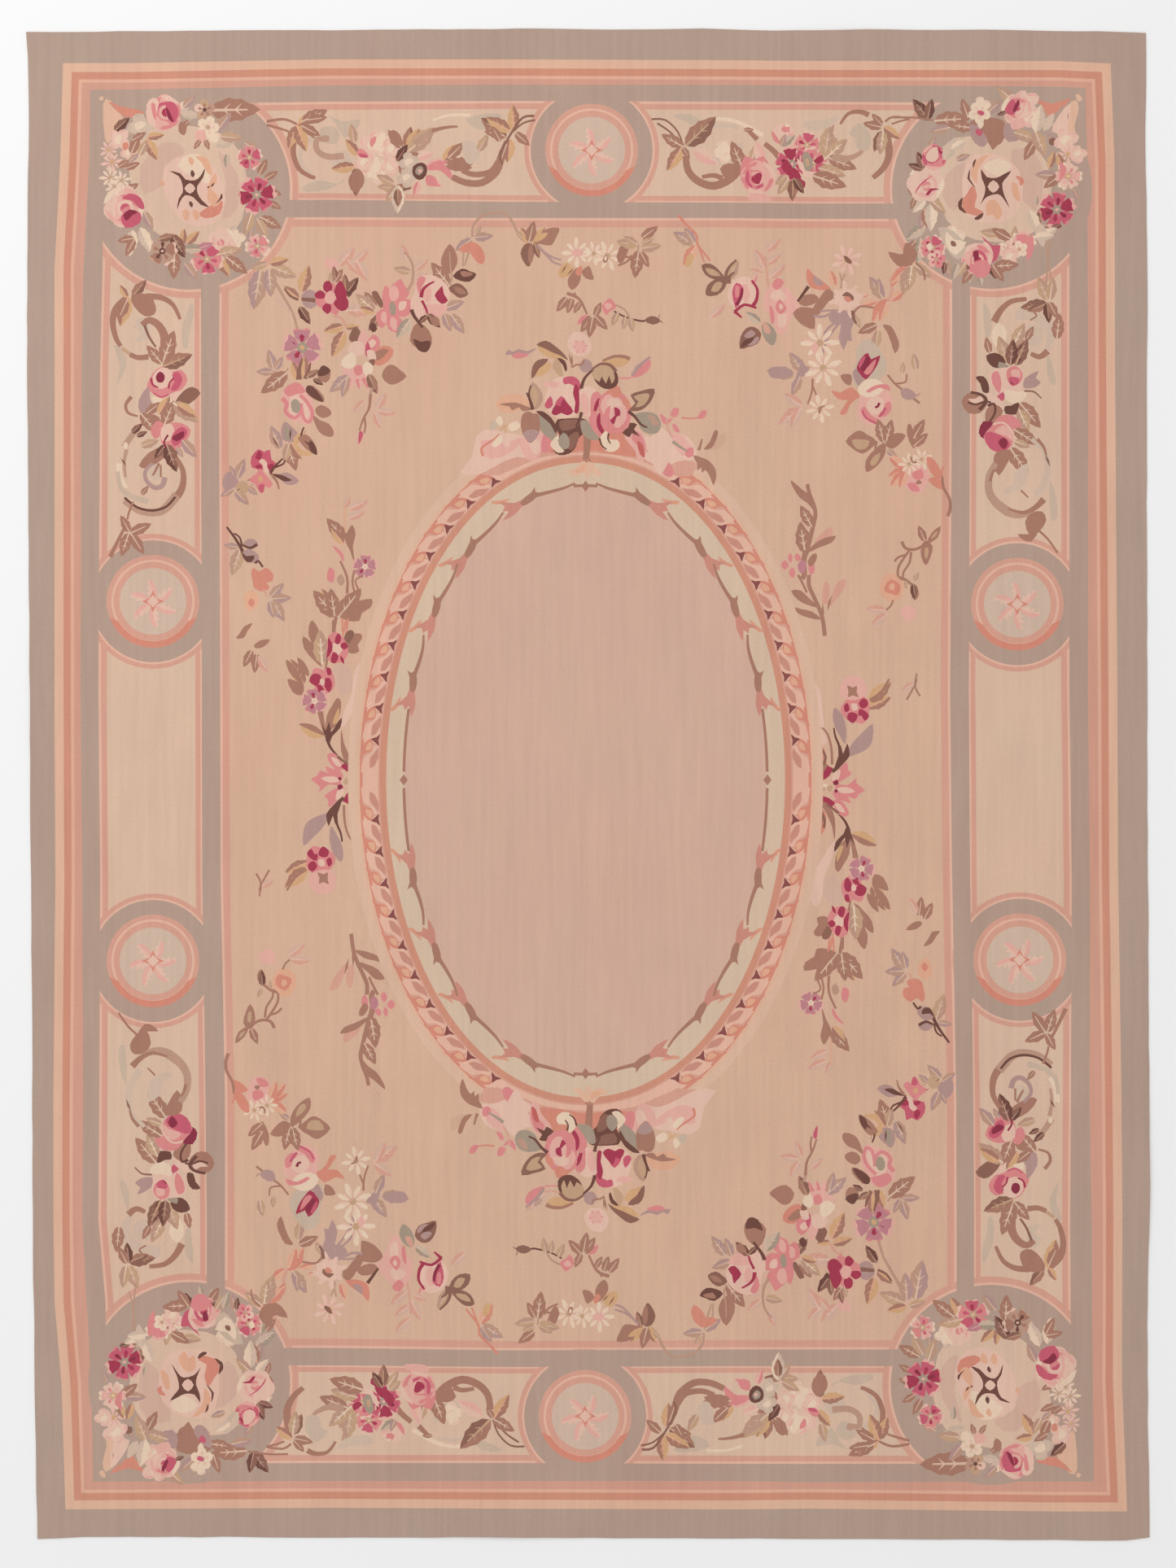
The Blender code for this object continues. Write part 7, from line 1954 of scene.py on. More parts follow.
SIDE_LEFT_MIDDLE = (
    ("patch", "petal", (-56.2, 30), (-54.6, 28), (-54.8, 23), (-57, 19), (-60.6, 13.6), (-60, 18),
     (-58, 22.6),
     (-57.6, 27)),
    ("patch", "wash", (-62.6, 29), (-60, 29.6), (-57.8, 27), (-58.4, 23), (-60.6, 22), (-62, 25)),
    ("patch", "nutmeg", (-82.4, 39.7), (-84.4, 39), (-85.6, 37.2), (-86.5, 36), (-84.6, 36.1), (-83.8, 37.6)),
    ("patch", "nutmeg", (-82.1, 34.2), (-80.6, 35.5), (-78.1, 35.7), (-79.6, 34), (-81.4, 33.5)),
    ("leaf", "nutmeg", -82.5, 33.2, 4.8, 243),
    ("leaf", "nutmeg", -81.3, 32.4, 5, 262),
    ("leaf", "faint", -81, 31.6, 4.6, -60),
    ("patch", "nutmeg", (-68.7, 37), (-68.2, 40.2), (-67.2, 39.8), (-66, 37), (-65.4, 33), (-65, 29.4),
     (-66.8, 32.6)),
    ("patch", "nutmeg", (-70.1, 36.5), (-69.8, 33.6), (-67.8, 31), (-65.4, 29), (-66.4, 32.4), (-68, 35)),
    ("leaf", "tan", -65.3, 29.6, 8.6, 94),
    ("stem", "nutmeg", 0.6, 0.5, (-62.6, 40.4), (-62.7, 37.4)),
    ("stem", "coral", 0.6, 0.4, (-59.5, 40.4), (-60.2, 36.6)),
    ("patch", "nutmeg", (-58.8, 35), (-58, 36.9), (-56, 37.2), (-55.5, 36), (-56.6, 34.4), (-56.2, 32.8),
     (-58, 32.2), (-59.4, 33.2)),
    ("patch", "brown", (-60, 35), (-59.7, 37), (-58.4, 38.1), (-57.4, 37.2), (-58.6, 34.8)),
    ("patch", "pink", (-63.8, 36.6), (-61.4, 37.4), (-59.4, 35), (-58.9, 32.4), (-60.4, 30.2), (-62.8, 30),
     (-64.2, 31.6)),
    ("patch", "petal", (-62.7, 34.6), (-61.4, 35.1), (-60.3, 33.4), (-61.4, 31.9), (-62.7, 32.8)),
    ("patch", "crimson", (-62.3, 35), (-61.6, 37.2), (-60.7, 36.4), (-61.1, 34.6)),
    ("patch", "crimson", (-63.9, 36.2), (-62.9, 34.8), (-62.9, 33), (-64.3, 31), (-63.9, 34)),
    ("patch", "crimson", (-60.9, 34.2), (-59.8, 35.1), (-58.9, 34), (-60, 33.2)),
    ("patch", "crimson", (-63.1, 31.4), (-62.4, 32.7), (-61.3, 31.6), (-62, 29.9), (-63.1, 30.1)),
    ("patch", "crimson", (-60.9, 31.7), (-60.1, 31), (-59.9, 29.7), (-60.7, 30.4)),
    ("stem", "nutmeg", 0.6, 0.5, (-64.1, 31), (-64.5, 28.4)),
    ("leaf", "gold", -69.8, 24.6, 7.2, 118),
    ("patch", "nutmeg", (-74.3, 30.7), (-73.6, 28), (-71.8, 25.8), (-69.8, 24.4), (-71.6, 28.4), (-73, 30)),
    ("patch", "nutmeg", (-73.9, 25.9), (-72, 25.6), (-69.8, 24.4), (-70.4, 22), (-72.6, 22.8)),
    ("patch", "nutmeg", (-71.5, 31.3), (-69.8, 30.2), (-68.6, 28), (-68.8, 26.6), (-70.6, 28.4)),
    ("patch", "pink", (-67.8, 27.6), (-66.8, 28.8), (-65, 28.2), (-63.8, 29), (-62.7, 27.4), (-62.2, 24.6),
     (-63.4, 22.8), (-65.6, 22.2), (-67.2, 24)),
    ("patch", "crimson", (-68.5, 25.4), (-67.9, 27.1), (-66.4, 27.3), (-65.5, 26.4), (-66.4, 24.5),
     (-67.1, 24.4)),
    ("patch", "crimson", (-66.7, 24.3), (-65.6, 24.5), (-64.8, 23), (-65.8, 21.9)),
    ("patch", "crimson", (-64.7, 26), (-63.4, 26.2), (-62.9, 24.4), (-63.6, 22.7), (-64.7, 24)),
    ("patch", "crimson", (-64.3, 28.8), (-63.2, 28.5), (-63.1, 27.1), (-64, 27)),
    ("patch", "petal", (-65.9, 25.9), (-64.8, 26), (-64.8, 24.7), (-65.6, 24.5)),
    ("bloom", "mauve", -67.2, 20.6, 3.5, 30, 1, 5),
    ("stem", "nutmeg", 1.4, 0.7, (-65.8, 18), (-65.2, 15), (-64.2, 11.6)),
    ("patch", "nutmeg", (-64.3, 13), (-64.2, 17), (-62.8, 19.6), (-61.6, 21.4), (-60.7, 20.4), (-60.9, 17.6),
     (-62.2, 14.4)),
    ("patch", "gold", (-62.8, 15), (-61.9, 17.8), (-61.1, 18.8), (-61.5, 15.6)),
    ("patch", "umber", (-65.5, 15.2), (-64.5, 13.2), (-63.6, 15.6), (-63.1, 13), (-61.8, 15), (-60.5, 16.5),
     (-60.9, 14), (-62.8, 12), (-63.5, 10.2), (-64.5, 11.4)),
    ("patch", "gold", (-70.6, 14.3), (-68.4, 13.9), (-65, 11.8), (-67.4, 11.4), (-69.6, 12.6)),
    ("patch", "nutmeg", (-71.1, 14.9), (-69, 15.1), (-66.6, 14.2), (-64.4, 12), (-66.6, 12.7), (-69.4, 14)),
    ("stem", "umber", 0.8, 0.4, (-64.2, 11.4), (-63.4, 9.4), (-62.4, 8), (-61.6, 7.2)),
    ("patch", "pink", (-64.1, 7.4), (-62.4, 7.8), (-60.8, 6), (-60.2, 3.8), (-62, 3.8), (-63.6, 5.6)),
    ("patch", "pink", (-64.6, 4.5), (-63, 4), (-60.8, 3.4), (-60.2, 1.6), (-63, 1.8)),
    ("patch", "pink", (-68.1, 1.3), (-66.6, 2.2), (-65.7, 3.5), (-63, 2.4), (-60.8, 1.2), (-61.2, -0.2),
     (-63.8, 0.1), (-66.1, -1.8), (-65.9, -0.4)),
    ("patch", "pink", (-64.8, -2.8), (-63, -1.4), (-60.8, -0.4), (-59.8, -1.2), (-61.4, -3.6), (-63.6, -5.6),
     (-63.9, -3.6)),
    ("patch", "petal", (-65.7, 1.7), (-62.6, 2.1), (-60.8, 1), (-63.4, 0.5)),
    ("patch", "petal", (-63.2, 6.8), (-61.6, 6.4), (-60.6, 4.6), (-62, 4.8)),
    ("patch", "petal", (-61.6, -1.5), (-60, -1), (-60.2, -2.6), (-62, -3.8)),
    ("patch", "wine", (-61.5, 1.6), (-60.9, 2), (-60.5, 1.4), (-61, 1)),
    ("patch", "wine", (-61.6, -0.2), (-60.6, 0.1), (-60.2, -0.6), (-61.2, -1.3)),
    ("patch", "coral", (-58.6, 8), (-58, 11.4), (-56, 12.8), (-53, 13), (-51, 11), (-50.4, 6), (-51.6, 2.6),
     (-56, 4.6), (-57.8, 6)),
    ("patch", "nutmeg", (-60.6, 13.6), (-60, 10.4), (-59.2, 8.4), (-58, 6), (-56, 3.4), (-58, 4.2),
     (-60.2, 6.6),
     (-60.8, 10)),
    ("stem", "nutmeg", 1.6, 2.0, (-58.6, 5.4), (-56.6, 4), (-54.6, 4.2), (-53.6, 6), (-54.2, 7.8)),
    ("stem", "nutmeg", 1.6, 1.2, (-57.4, 9), (-57.2, 7.2), (-56, 6), (-54.8, 6.4), (-54.8, 7.8),
     (-55.8, 8.3)),
    ("patch", "nutmeg", (-56.4, 8.2), (-55.2, 9), (-54, 8.2), (-54.8, 6.6), (-56, 6.8)),
    ("stem", "brown", 0.7, 0.5, (-58, 10.6), (-58.1, 8.4), (-57, 6.4), (-55.6, 5.7), (-54.8, 6.2)),
    ("stem", "brown", 1.0, 0.6, (-56.6, 2.8), (-54.4, 3), (-52.9, 4.8), (-52.8, 6.8), (-54.2, 8.5),
     (-55.8, 8.3)),
    ("stem", "crimson", 1.4, 1.3, (-60.3, 5), (-58.8, 3.8), (-57, 3.3)),
    ("stem", "brown", 0.7, 0.5, (-61.6, 7), (-59.8, 5.6), (-58.6, 4.9)),
    ("patch", "petal", (-56.2, 6.8), (-55.6, 7.4), (-54.9, 6.8), (-55.6, 6.2)),
    ("patch", "coral", (-52, -2), (-50.4, -6), (-50.6, -12), (-52.6, -14.4), (-55.6, -10.4), (-58, -9),
     (-58.6, -5), (-56, -1)),
    ("stem", "brown", 1.9, 1.2, (-56.4, -1.7), (-54.4, -2.4), (-53.5, -4.8), (-54, -7.2), (-55.6, -8.2)),
    ("stem", "nutmeg", 1.3, 1.5, (-58.8, -5), (-57, -3.5), (-55.2, -3.8), (-54.6, -5.6), (-55.4, -7.4)),
    ("stem", "brown", 0.9, 0.5, (-54.7, -6.6), (-55.8, -4.7), (-57.4, -4.6), (-58.4, -6.6), (-57.6, -8.6)),
    ("stem", "crimson", 1.5, 2.2, (-59.5, -4.4), (-58.7, -2.8), (-57, -1.9), (-55.6, -2)),
    ("patch", "nutmeg", (-56.6, -6.2), (-55.6, -6.6), (-55, -7.6), (-56, -8.2), (-56.6, -7.4)),
    ("stroke", "brown", -56.4, -8.2, 1.8, -70),
    ("patch", "petal", (-57.2, -6.6), (-56.6, -5.6), (-56, -6.2), (-56.8, -7.2)),
    ("patch", "tan", (-60.2, 0.6), (-59.4, 1.8), (-58.6, 0.8), (-59.4, 0)),
    ("patch", "tan", (-58.4, 1), (-57.6, 1.8), (-56.8, 0.9), (-57.6, 0)),
    ("patch", "tan", (-56.6, 1), (-55.8, 1.8), (-54.9, 0.9), (-55.8, 0.1)),
    ("patch", "cream", (-59.1, 0.2), (-57.9, 0.6), (-56.6, 0.1), (-55.2, 0.5), (-54, 0), (-57, -0.6)),
    ("patch", "brown", (-54.2, 0.5), (-53.2, 2.1), (-51.6, 3.2), (-51.2, 2), (-51.6, 0.2), (-53, 0.8)),
    ("patch", "petal", (-51.6, 0.6), (-50, 2), (-48.6, 2.4), (-47.4, 0.8), (-49, 1), (-50.6, -0.4)),
    ("stem", "nutmeg", 0.7, 0.4, (-60, -5), (-59.8, -9), (-58.8, -12.6), (-56.8, -14.8)),
    ("patch", "petal", (-58.8, -10.6), (-56.4, -9.6), (-54.4, -11.4), (-52.2, -15), (-55, -14.6),
     (-57.4, -13.6)),
    ("patch", "petal", (-58, -14), (-55.4, -15.4), (-53.6, -19), (-54.6, -26), (-57, -23), (-57.6, -18)),
    ("stem", "umber", 0.9, 0.9, (-60, -3.2), (-61.6, -4.6), (-62.8, -6.6)),
    ("patch", "lilac", (-63.8, -7), (-66, -7.5), (-68.6, -8.8), (-69.9, -11), (-70, -15), (-68, -13.4),
     (-65.6, -11), (-64.2, -9)),
    ("patch", "lilac", (-63.2, -10), (-62, -11.8), (-60.6, -14.4), (-60.1, -17), (-60.7, -19), (-62.6, -17),
     (-63.5, -13.6)),
    ("patch", "umber", (-60.4, -3.4), (-62.4, -4.8), (-64.1, -6.8), (-64.3, -8), (-63.7, -10.2),
     (-62.7, -7.6),
     (-62.1, -9.8), (-61.5, -7)),
    ("stem", "umber", 0.7, 0.4, (-61.9, -7), (-61.7, -9.6), (-60.8, -11.8), (-60.4, -14)),
    ("leaf", "gold", -68.8, -19, 6.2, 204),
    ("leaf", "gold", -69, -20.4, 7.4, 222),
    ("stem", "nutmeg", 0.7, 0.4, (-69.2, -18.8), (-72, -19.2), (-74, -21.6)),
    ("stem", "nutmeg", 0.7, 0.5, (-69.2, -20.8), (-72, -22.8), (-74, -26)),
    ("patch", "pink", (-68.8, -16.6), (-67.6, -15), (-65.8, -15.4), (-63.6, -16), (-62, -18.2),
     (-63.2, -20.6),
     (-66, -22.2), (-68.8, -21), (-69.2, -18.6)),
    ("patch", "crimson", (-69.1, -16.8), (-68, -15.7), (-67.2, -17), (-66.4, -17), (-66.7, -18.7),
     (-68.3, -18)),
    ("patch", "crimson", (-66.3, -16.8), (-65.2, -15.1), (-63.7, -16.2), (-64.1, -17.7), (-65.6, -17.7)),
    ("patch", "crimson", (-68.7, -19.4), (-67.4, -18.7), (-66.5, -20), (-67.6, -21.3), (-68.7, -20.6)),
    ("patch", "crimson", (-64.3, -18.4), (-63.2, -17.9), (-62.9, -19.4), (-63.8, -20.1)),
    ("patch", "petal", (-66.3, -18.5), (-65, -18.3), (-64.7, -19.9), (-66, -19.9)),
    ("patch", "blush", (-68.5, -22.4), (-66.6, -21.2), (-64.8, -20.8), (-62.4, -21.6), (-61.9, -23.8),
     (-63, -26.2), (-66, -26.8), (-68.2, -25)),
    ("patch", "nutmeg", (-66.5, -21.5), (-65, -22), (-63.9, -21.5), (-64, -23), (-63.7, -24.5), (-65, -23.9),
     (-66.1, -24.3), (-66, -22.8)),
    ("stem", "nutmeg", 0.5, 0.4, (-81.6, -21.8), (-80.4, -24), (-80.8, -26)),
    ("stem", "nutmeg", 0.5, 0.4, (-78.3, -20.9), (-80, -24), (-80.8, -27.4)),
    ("leaf", "faint", -80.2, -25, 3.6, 30),
)

CREST = (
    ("patch", "salmon", (-28, 77.4), (-22, 79.8), (-16, 83.6), (-10, 87), (0, 88.4), (10, 87), (15, 83.6),
     (20, 79.6), (26, 76.6), (22, 75.8), (12, 80), (0, 81.6), (-12, 80.4), (-22, 76)),
    ("patch", "coral", (-9.5, 81.6), (-8, 87), (0, 88), (9, 86.6), (12.5, 83.6), (11.5, 80.6), (2, 82),
     (-2, 82)),
    ("patch", "petal", (-31.5, 76.6), (-28.5, 80.6), (-27.5, 85.6), (-24.5, 87.4), (-20, 86.4), (-16.6, 86),
     (-14.4, 83), (-13.2, 80.2), (-17.5, 80.6), (-22, 78.8), (-26.5, 76.4)),
    ("patch", "blush", (-26.4, 84.6), (-25.4, 80.6), (-21.6, 80.4), (-17.4, 83), (-16.6, 85.4), (-20, 84),
     (-23.4, 84.6)),
    ("stem", "coral", 0.7, 0.4, (-25.8, 80.8), (-26.2, 82.6), (-24.6, 84), (-23, 85), (-21.8, 86.2)),
    ("patch", "blush", (-16.8, 85.4), (-14.2, 84.8), (-12.2, 86.6), (-10.8, 87.6), (-10.2, 85.4),
     (-11.6, 81.6),
     (-13.6, 79.4), (-16.2, 81.6)),
    ("patch", "pink", (-11.4, 84.6), (-10.4, 86.8), (-8.9, 85), (-9.4, 82), (-11.4, 81.8)),
    ("patch", "petal", (-14.6, 83.6), (-12.8, 85.2), (-11.6, 83.2), (-12.8, 81)),
    ("patch", "petal", (12.4, 85.6), (15.6, 85.6), (17.4, 88.2), (19.8, 86.6), (23.4, 86), (25.6, 84.4),
     (26.8, 81), (24.6, 79.4), (21.4, 78.6), (18, 79.4), (15.4, 81.4), (13.4, 84)),
    ("patch", "salmon", (20.2, 78.6), (24, 79.8), (26.8, 78.8), (25.4, 76.4), (21.2, 76)),
    ("patch", "pink", (17.6, 77.8), (19.6, 79.6), (21.2, 76.6), (19.6, 75.6)),
    ("patch", "petal", (13.4, 80.6), (17.2, 83.4), (21, 82.6), (19.4, 78.6), (17.6, 76.2), (15.8, 79)),
    ("patch", "blush", (20.4, 86.4), (23.4, 85.6), (25.8, 82), (23.4, 80.8), (21.4, 83)),
    ("patch", "pink", (24.4, 82.6), (25.8, 82.9), (25.9, 81), (24.6, 80.4), (23.8, 81.4)),
    ("patch", "blush", (8.8, 86), (11, 88), (13.2, 86.6), (14.4, 83.8), (13.8, 79.8), (12.4, 79.4),
     (11.6, 82),
     (10, 84)),
    ("patch", "pink", (10.6, 85.4), (12, 87), (13.6, 85), (14.2, 82.2), (12.8, 82.8), (11.6, 84)),
    ("patch", "rose_shade", (12, 84.4), (13.4, 83.6), (14, 80.6), (12.8, 81.2)),
    ("patch", "umber", (8.4, 86.6), (9.8, 87.8), (10.3, 89), (12.1, 88.6), (11.3, 87.4), (12.8, 85.6),
     (10.8, 86.4), (10.2, 85.4)),
    ("stem", "nutmeg", 2.0, 1.5, (-0.2, 88), (-0.2, 84), (-0.5, 80)),
    ("stroke", "nutmeg", -0.5, 81, 3.2, 240),
    ("stroke", "nutmeg", -0.5, 81, 3.0, 265),
    ("stroke", "nutmeg", -0.5, 81, 3.2, 295),
    ("patch", "peach", (-4.9, 77.4), (-3, 77.8), (-1.4, 79.6), (-0.4, 79.2), (0.8, 79.4), (2.4, 77.6),
     (3.5, 76.4), (2.2, 75.8), (0.9, 77), (0.3, 75.6), (-0.7, 75.5), (-1, 77.2), (-2.4, 75.9), (-3.9, 76.1)),
    ("patch", "apricot", (-3.4, 77), (-1.6, 78.4), (-0.6, 78.8), (-0.8, 77), (-2.2, 76.6)),
    ("leaf", "sage", -11.8, 91.2, 7.6, 300),
    ("patch", "sage", (-12.2, 89), (-11.6, 92), (-9.6, 90.6), (-8, 88.5), (-7.6, 86), (-8, 84.4),
     (-9.6, 85.2),
     (-11.4, 86.8)),
    ("patch", "umber", (-12.8, 91.8), (-11, 91.7), (-9, 90.2), (-7.6, 87.6), (-8, 86.4), (-9.2, 88.6),
     (-11, 90.2)),
    ("patch", "nutmeg", (-16.5, 88), (-16.2, 90.8), (-14.8, 91.8), (-13.4, 91.2), (-12.2, 91.2),
     (-11.8, 88.6),
     (-12, 86.4), (-14, 84), (-15.6, 85.4)),
    ("patch", "lilac", (-15.8, 86.6), (-13.8, 87.4), (-12, 86.6), (-14, 84.2), (-15.4, 85.2)),
    ("patch", "apricot", (-22.8, 93.4), (-20, 96), (-16, 95.6), (-14, 93), (-17, 92), (-20, 91.4)),
    ("patch", "nutmeg", (-21.9, 93.5), (-18, 94), (-15, 93), (-13.8, 92.3), (-16, 91.8), (-17, 92.8),
     (-18.6, 92), (-19.4, 93)),
    ("patch", "fawn", (-14.7, 96.6), (-13.6, 99), (-11.6, 97), (-11.1, 94.6), (-12.4, 92.4), (-13.8, 92.6),
     (-14.2, 95)),
    ("patch", "tan", (-14.4, 96.4), (-13.4, 98), (-12.2, 95.6), (-13, 93)),
    ("stem", "umber", 0.9, 0.4, (-13.6, 92.2), (-14.2, 94.4), (-15.1, 96.4)),
    ("stem", "umber", 0.5, 0.3, (-14.2, 94.2), (-14.5, 96.4), (-14, 98.2)),
    ("patch", "gold", (-12.6, 100.2), (-10, 101.2), (-9, 103), (-9.8, 103.9), (-11.8, 102.6), (-13.4, 100.4)),
    ("patch", "brown", (-13.9, 99.9), (-13.7, 102.6), (-12.4, 104.4), (-9.8, 104.7), (-10.6, 103.4),
     (-12, 102.3), (-13, 100.6)),
    ("patch", "gold", (-12.5, 107.7), (-10, 107), (-7.4, 105.8), (-5.4, 104.8), (-8, 104.6), (-11, 105.7)),
    ("patch", "brown", (-12.7, 108.2), (-10.4, 109.2), (-8, 107.8), (-5.8, 105.8), (-4.9, 104.3),
     (-6.6, 105.4),
     (-9, 106.4), (-11, 107.4)),
    ("patch", "tan", (-8.4, 104), (-7.4, 104.9), (-6.4, 102.6), (-6.2, 100), (-7.8, 101.2), (-8.7, 102.6)),
    ("patch", "umber", (-7.6, 104.9), (-5.7, 104.3), (-5.1, 102.2), (-5.6, 101.6), (-6.2, 103.2)),
    ("patch", "pink", (-19, 105.8), (-17.6, 106.2), (-15.8, 106.2), (-14.4, 105.6), (-16.6, 104.8),
     (-18, 104.9)),
    ("patch", "lilac", (-20.3, 105.7), (-19.5, 107), (-18.6, 106.4), (-17, 107.1), (-15, 106.6),
     (-12.6, 107.4),
     (-14.6, 105.9), (-17, 106.3), (-18.6, 105.8)),
    ("patch", "umber", (-7.5, 89.8), (-4, 90.1), (-1, 90), (0, 89), (0, 87), (-1.2, 86.2), (-2.4, 85),
     (-3, 83),
     (-4.6, 81.4), (-7, 81), (-8.5, 82.2), (-8, 84), (-7, 86), (-8, 87.8)),
    ("patch", "brown", (-7, 89.4), (-4, 89.8), (-1.4, 89.6), (-3, 87.8), (-6.4, 87)),
    ("patch", "sage", (-1.8, 89.4), (0, 89.4), (1.4, 87), (3, 84.9), (0.4, 84.9), (-1.4, 86.4)),
    ("patch", "brown", (-2.4, 86.8), (-2.4, 84.6), (-4, 82.2), (-5.4, 83.4), (-4.6, 85.8)),
    ("patch", "cream", (-9.2, 84), (-7.2, 86.2), (-7.2, 83.8), (-5.8, 82), (-7.4, 81.6), (-8.8, 82.8)),
    ("patch", "sage", (-7.4, 84.6), (-6, 86.6), (-4.6, 85), (-4.8, 82.8), (-6.4, 82.6)),
    ("stem", "umber", 0.5, 0.9, (-3, 88), (-2, 90), (-1.6, 91.6)),
    ("patch", "petal", (-10.4, 96), (-8.4, 99.6), (-5, 100.4), (-2.4, 98.6), (-2, 94), (-3, 90.8), (-6, 90),
     (-9, 91), (-10.6, 93.4)),
    ("patch", "blush", (-11.1, 98.2), (-9.6, 99.2), (-7, 98.8), (-8, 97.6)),
    ("patch", "rose", (-6.1, 100), (-3.6, 100.4), (-2, 99), (-1.7, 96.6), (-2.8, 97.6), (-4.6, 98.6),
     (-5.8, 98.4)),
    ("patch", "rose", (-10.7, 93.4), (-9.2, 95.6), (-8.6, 93.4), (-9.8, 92.4)),
    ("patch", "rose", (-8.2, 93.4), (-6.6, 95.6), (-5.2, 94), (-6.4, 92.8)),
    ("patch", "crimson", (-9, 91.4), (-8, 93.4), (-6.8, 93), (-6.2, 94.8), (-5, 93.8), (-3.6, 91.8),
     (-5, 90.8), (-6.6, 91.4), (-7.8, 90.8)),
    ("patch", "crimson", (-3.2, 98.4), (-2.3, 97.6), (-2.1, 94), (-2.4, 91.4), (-3.4, 91.6), (-3.1, 94),
     (-3.7, 96.2)),
    ("patch", "petal", (-2, 97), (0, 98), (1.8, 97.2), (3, 95.6), (2.4, 93), (0.6, 90.6), (-1, 91),
     (-1.8, 94)),
    ("patch", "blush", (-1.9, 95.6), (-0.6, 96.4), (0.2, 94), (0, 91), (-1.2, 91.6)),
    ("patch", "pink", (0.8, 95.6), (2.2, 96.8), (3.4, 95.2), (2.6, 92.6), (0.8, 90.8), (0.6, 93)),
    ("patch", "crimson", (1.6, 93.4), (2.5, 95), (3.3, 94.6), (2.3, 92.6), (2.2, 91.2), (1.4, 91.6)),
    ("patch", "pink", (2.6, 93), (3.2, 95.6), (6, 97.2), (9, 95.8), (10.7, 92.6), (10, 88.2), (7.4, 86.4),
     (4.6, 86.8), (2.8, 89.6)),
    ("patch", "blush", (3, 93), (4.4, 95.8), (7, 95.6), (9.2, 93.2), (9.4, 90), (7.6, 87.8), (5.6, 88.4),
     (4.2, 90.6)),
    ("patch", "petal", (4.6, 94.4), (7, 95), (8.6, 93), (6.6, 93), (5.2, 92.2)),
    ("patch", "coral", (4.2, 96.4), (7, 98.4), (8.2, 96.6), (8, 95.4), (6.4, 95.2), (5.4, 96)),
    ("patch", "coral", (8.8, 95.2), (10.2, 94.2), (10.6, 92), (9.4, 92.8), (8.4, 94)),
    ("patch", "pink", (4.2, 92), (5.6, 93.2), (5.2, 90.4), (6.6, 88), (5, 88.4), (4, 90)),
    ("patch", "crimson", (6.4, 92.8), (7.8, 92.2), (7.9, 90.8), (7, 90.4), (6.4, 88.6), (5.4, 89.6),
     (6.6, 90.8)),
    ("patch", "pink", (0.2, 90.2), (2, 92), (3.4, 89), (4.1, 86.6), (3, 85.5), (1, 87.6)),
    ("patch", "crimson", (2.2, 90.4), (3, 91.4), (3.1, 88.8), (4.1, 86.8), (3.4, 86.2), (2.2, 88.2)),
    ("patch", "cream", (2.8, 85), (4.2, 87), (5.1, 86.2), (5.2, 84.9), (7.2, 84.8), (7.8, 83.2), (6.4, 81.9),
     (4.6, 82), (3.2, 83.4)),
    ("stem", "umber", 0.5, 0.3, (2.8, 85.2), (3.4, 83.4), (4.6, 82.4)),
    ("stem", "umber", 0.5, 0.3, (5.1, 86.4), (4.9, 85), (5.6, 83.8)),
    ("patch", "sage", (11.2, 91), (14.6, 91.7), (17, 90.8), (18, 88.6), (17.2, 86.6), (15, 86.2), (13, 87.4),
     (12.2, 89.4)),
    ("patch", "fawn", (14.6, 91), (16.6, 90.4), (17.4, 88.6), (16, 88.4)),
    ("stem", "umber", 0.9, 0.4, (9.9, 91.8), (11.4, 90.6), (13, 88.6), (14.6, 87.8)),
    ("patch", "brown", (10.4, 95.8), (13, 96.8), (16.3, 97.4), (15.9, 95), (14.2, 92.8), (12, 91.8),
     (10, 92.2), (11.6, 93.8)),
    ("patch", "tan", (11.2, 95.4), (13.8, 96.2), (15.2, 95.8), (13.8, 93.4), (11.6, 92.8), (12.4, 94.2)),
    ("patch", "tan", (0.6, 101.6), (2.6, 102.8), (5, 103.2), (7, 101.6), (7.4, 99.2), (6, 97.7), (4, 97.6),
     (2.2, 99)),
    ("patch", "umber", (1.4, 100), (2.4, 98.4), (4.2, 97.3), (6.2, 97.5), (7.4, 98.8), (7.2, 101),
     (6.2, 102.2),
     (6.6, 100), (5.8, 98.6), (5.2, 100.6), (4.4, 98.6), (3.4, 100.4), (2.8, 99)),
    ("stem", "umber", 0.5, 0.9, (1.2, 102), (-0.8, 100), (-1.7, 97.4)),
    ("patch", "gold", (3.2, 103.8), (5.2, 105.2), (8, 105.8), (10.2, 105), (9.6, 103.4), (7, 102.6)),
    ("stem", "nutmeg", 0.6, 1.0, (3.6, 104.2), (6.4, 105.3), (9, 105.2), (10.3, 104.6)),
    ("stem", "brown", 0.5, 0.9, (0.8, 102), (3, 103.4), (5.4, 103.2), (6.9, 101.6)),
    ("patch", "lilac", (-2.3, 103), (-0.7, 104.7), (0.9, 103.8), (0.8, 102), (-1, 101.3)),
    ("stem", "nutmeg", 0.5, 0.4, (-3.9, 102.6), (-3, 103.2), (-1.4, 103.4), (-1, 104.6)),
    ("patch", "petal", (-5, 109), (-3.6, 111.2), (-1, 111), (0.6, 109), (0.8, 106.8), (-1, 105.4),
     (-3.6, 105.8), (-4.8, 107.4)),
    ("patch", "blush", (-3.4, 109), (-1, 109), (-0.2, 107.4), (-1.4, 106), (-3.2, 106.6)),
    ("stroke", "mauve", -2.9, 107.4, 1.2, 150),
    ("stroke", "mauve", -2.6, 108.4, 1.2, 110),
    ("stroke", "mauve", -1.4, 108.4, 1.2, 70),
    ("stroke", "mauve", -1.0, 107.6, 1.2, 20),
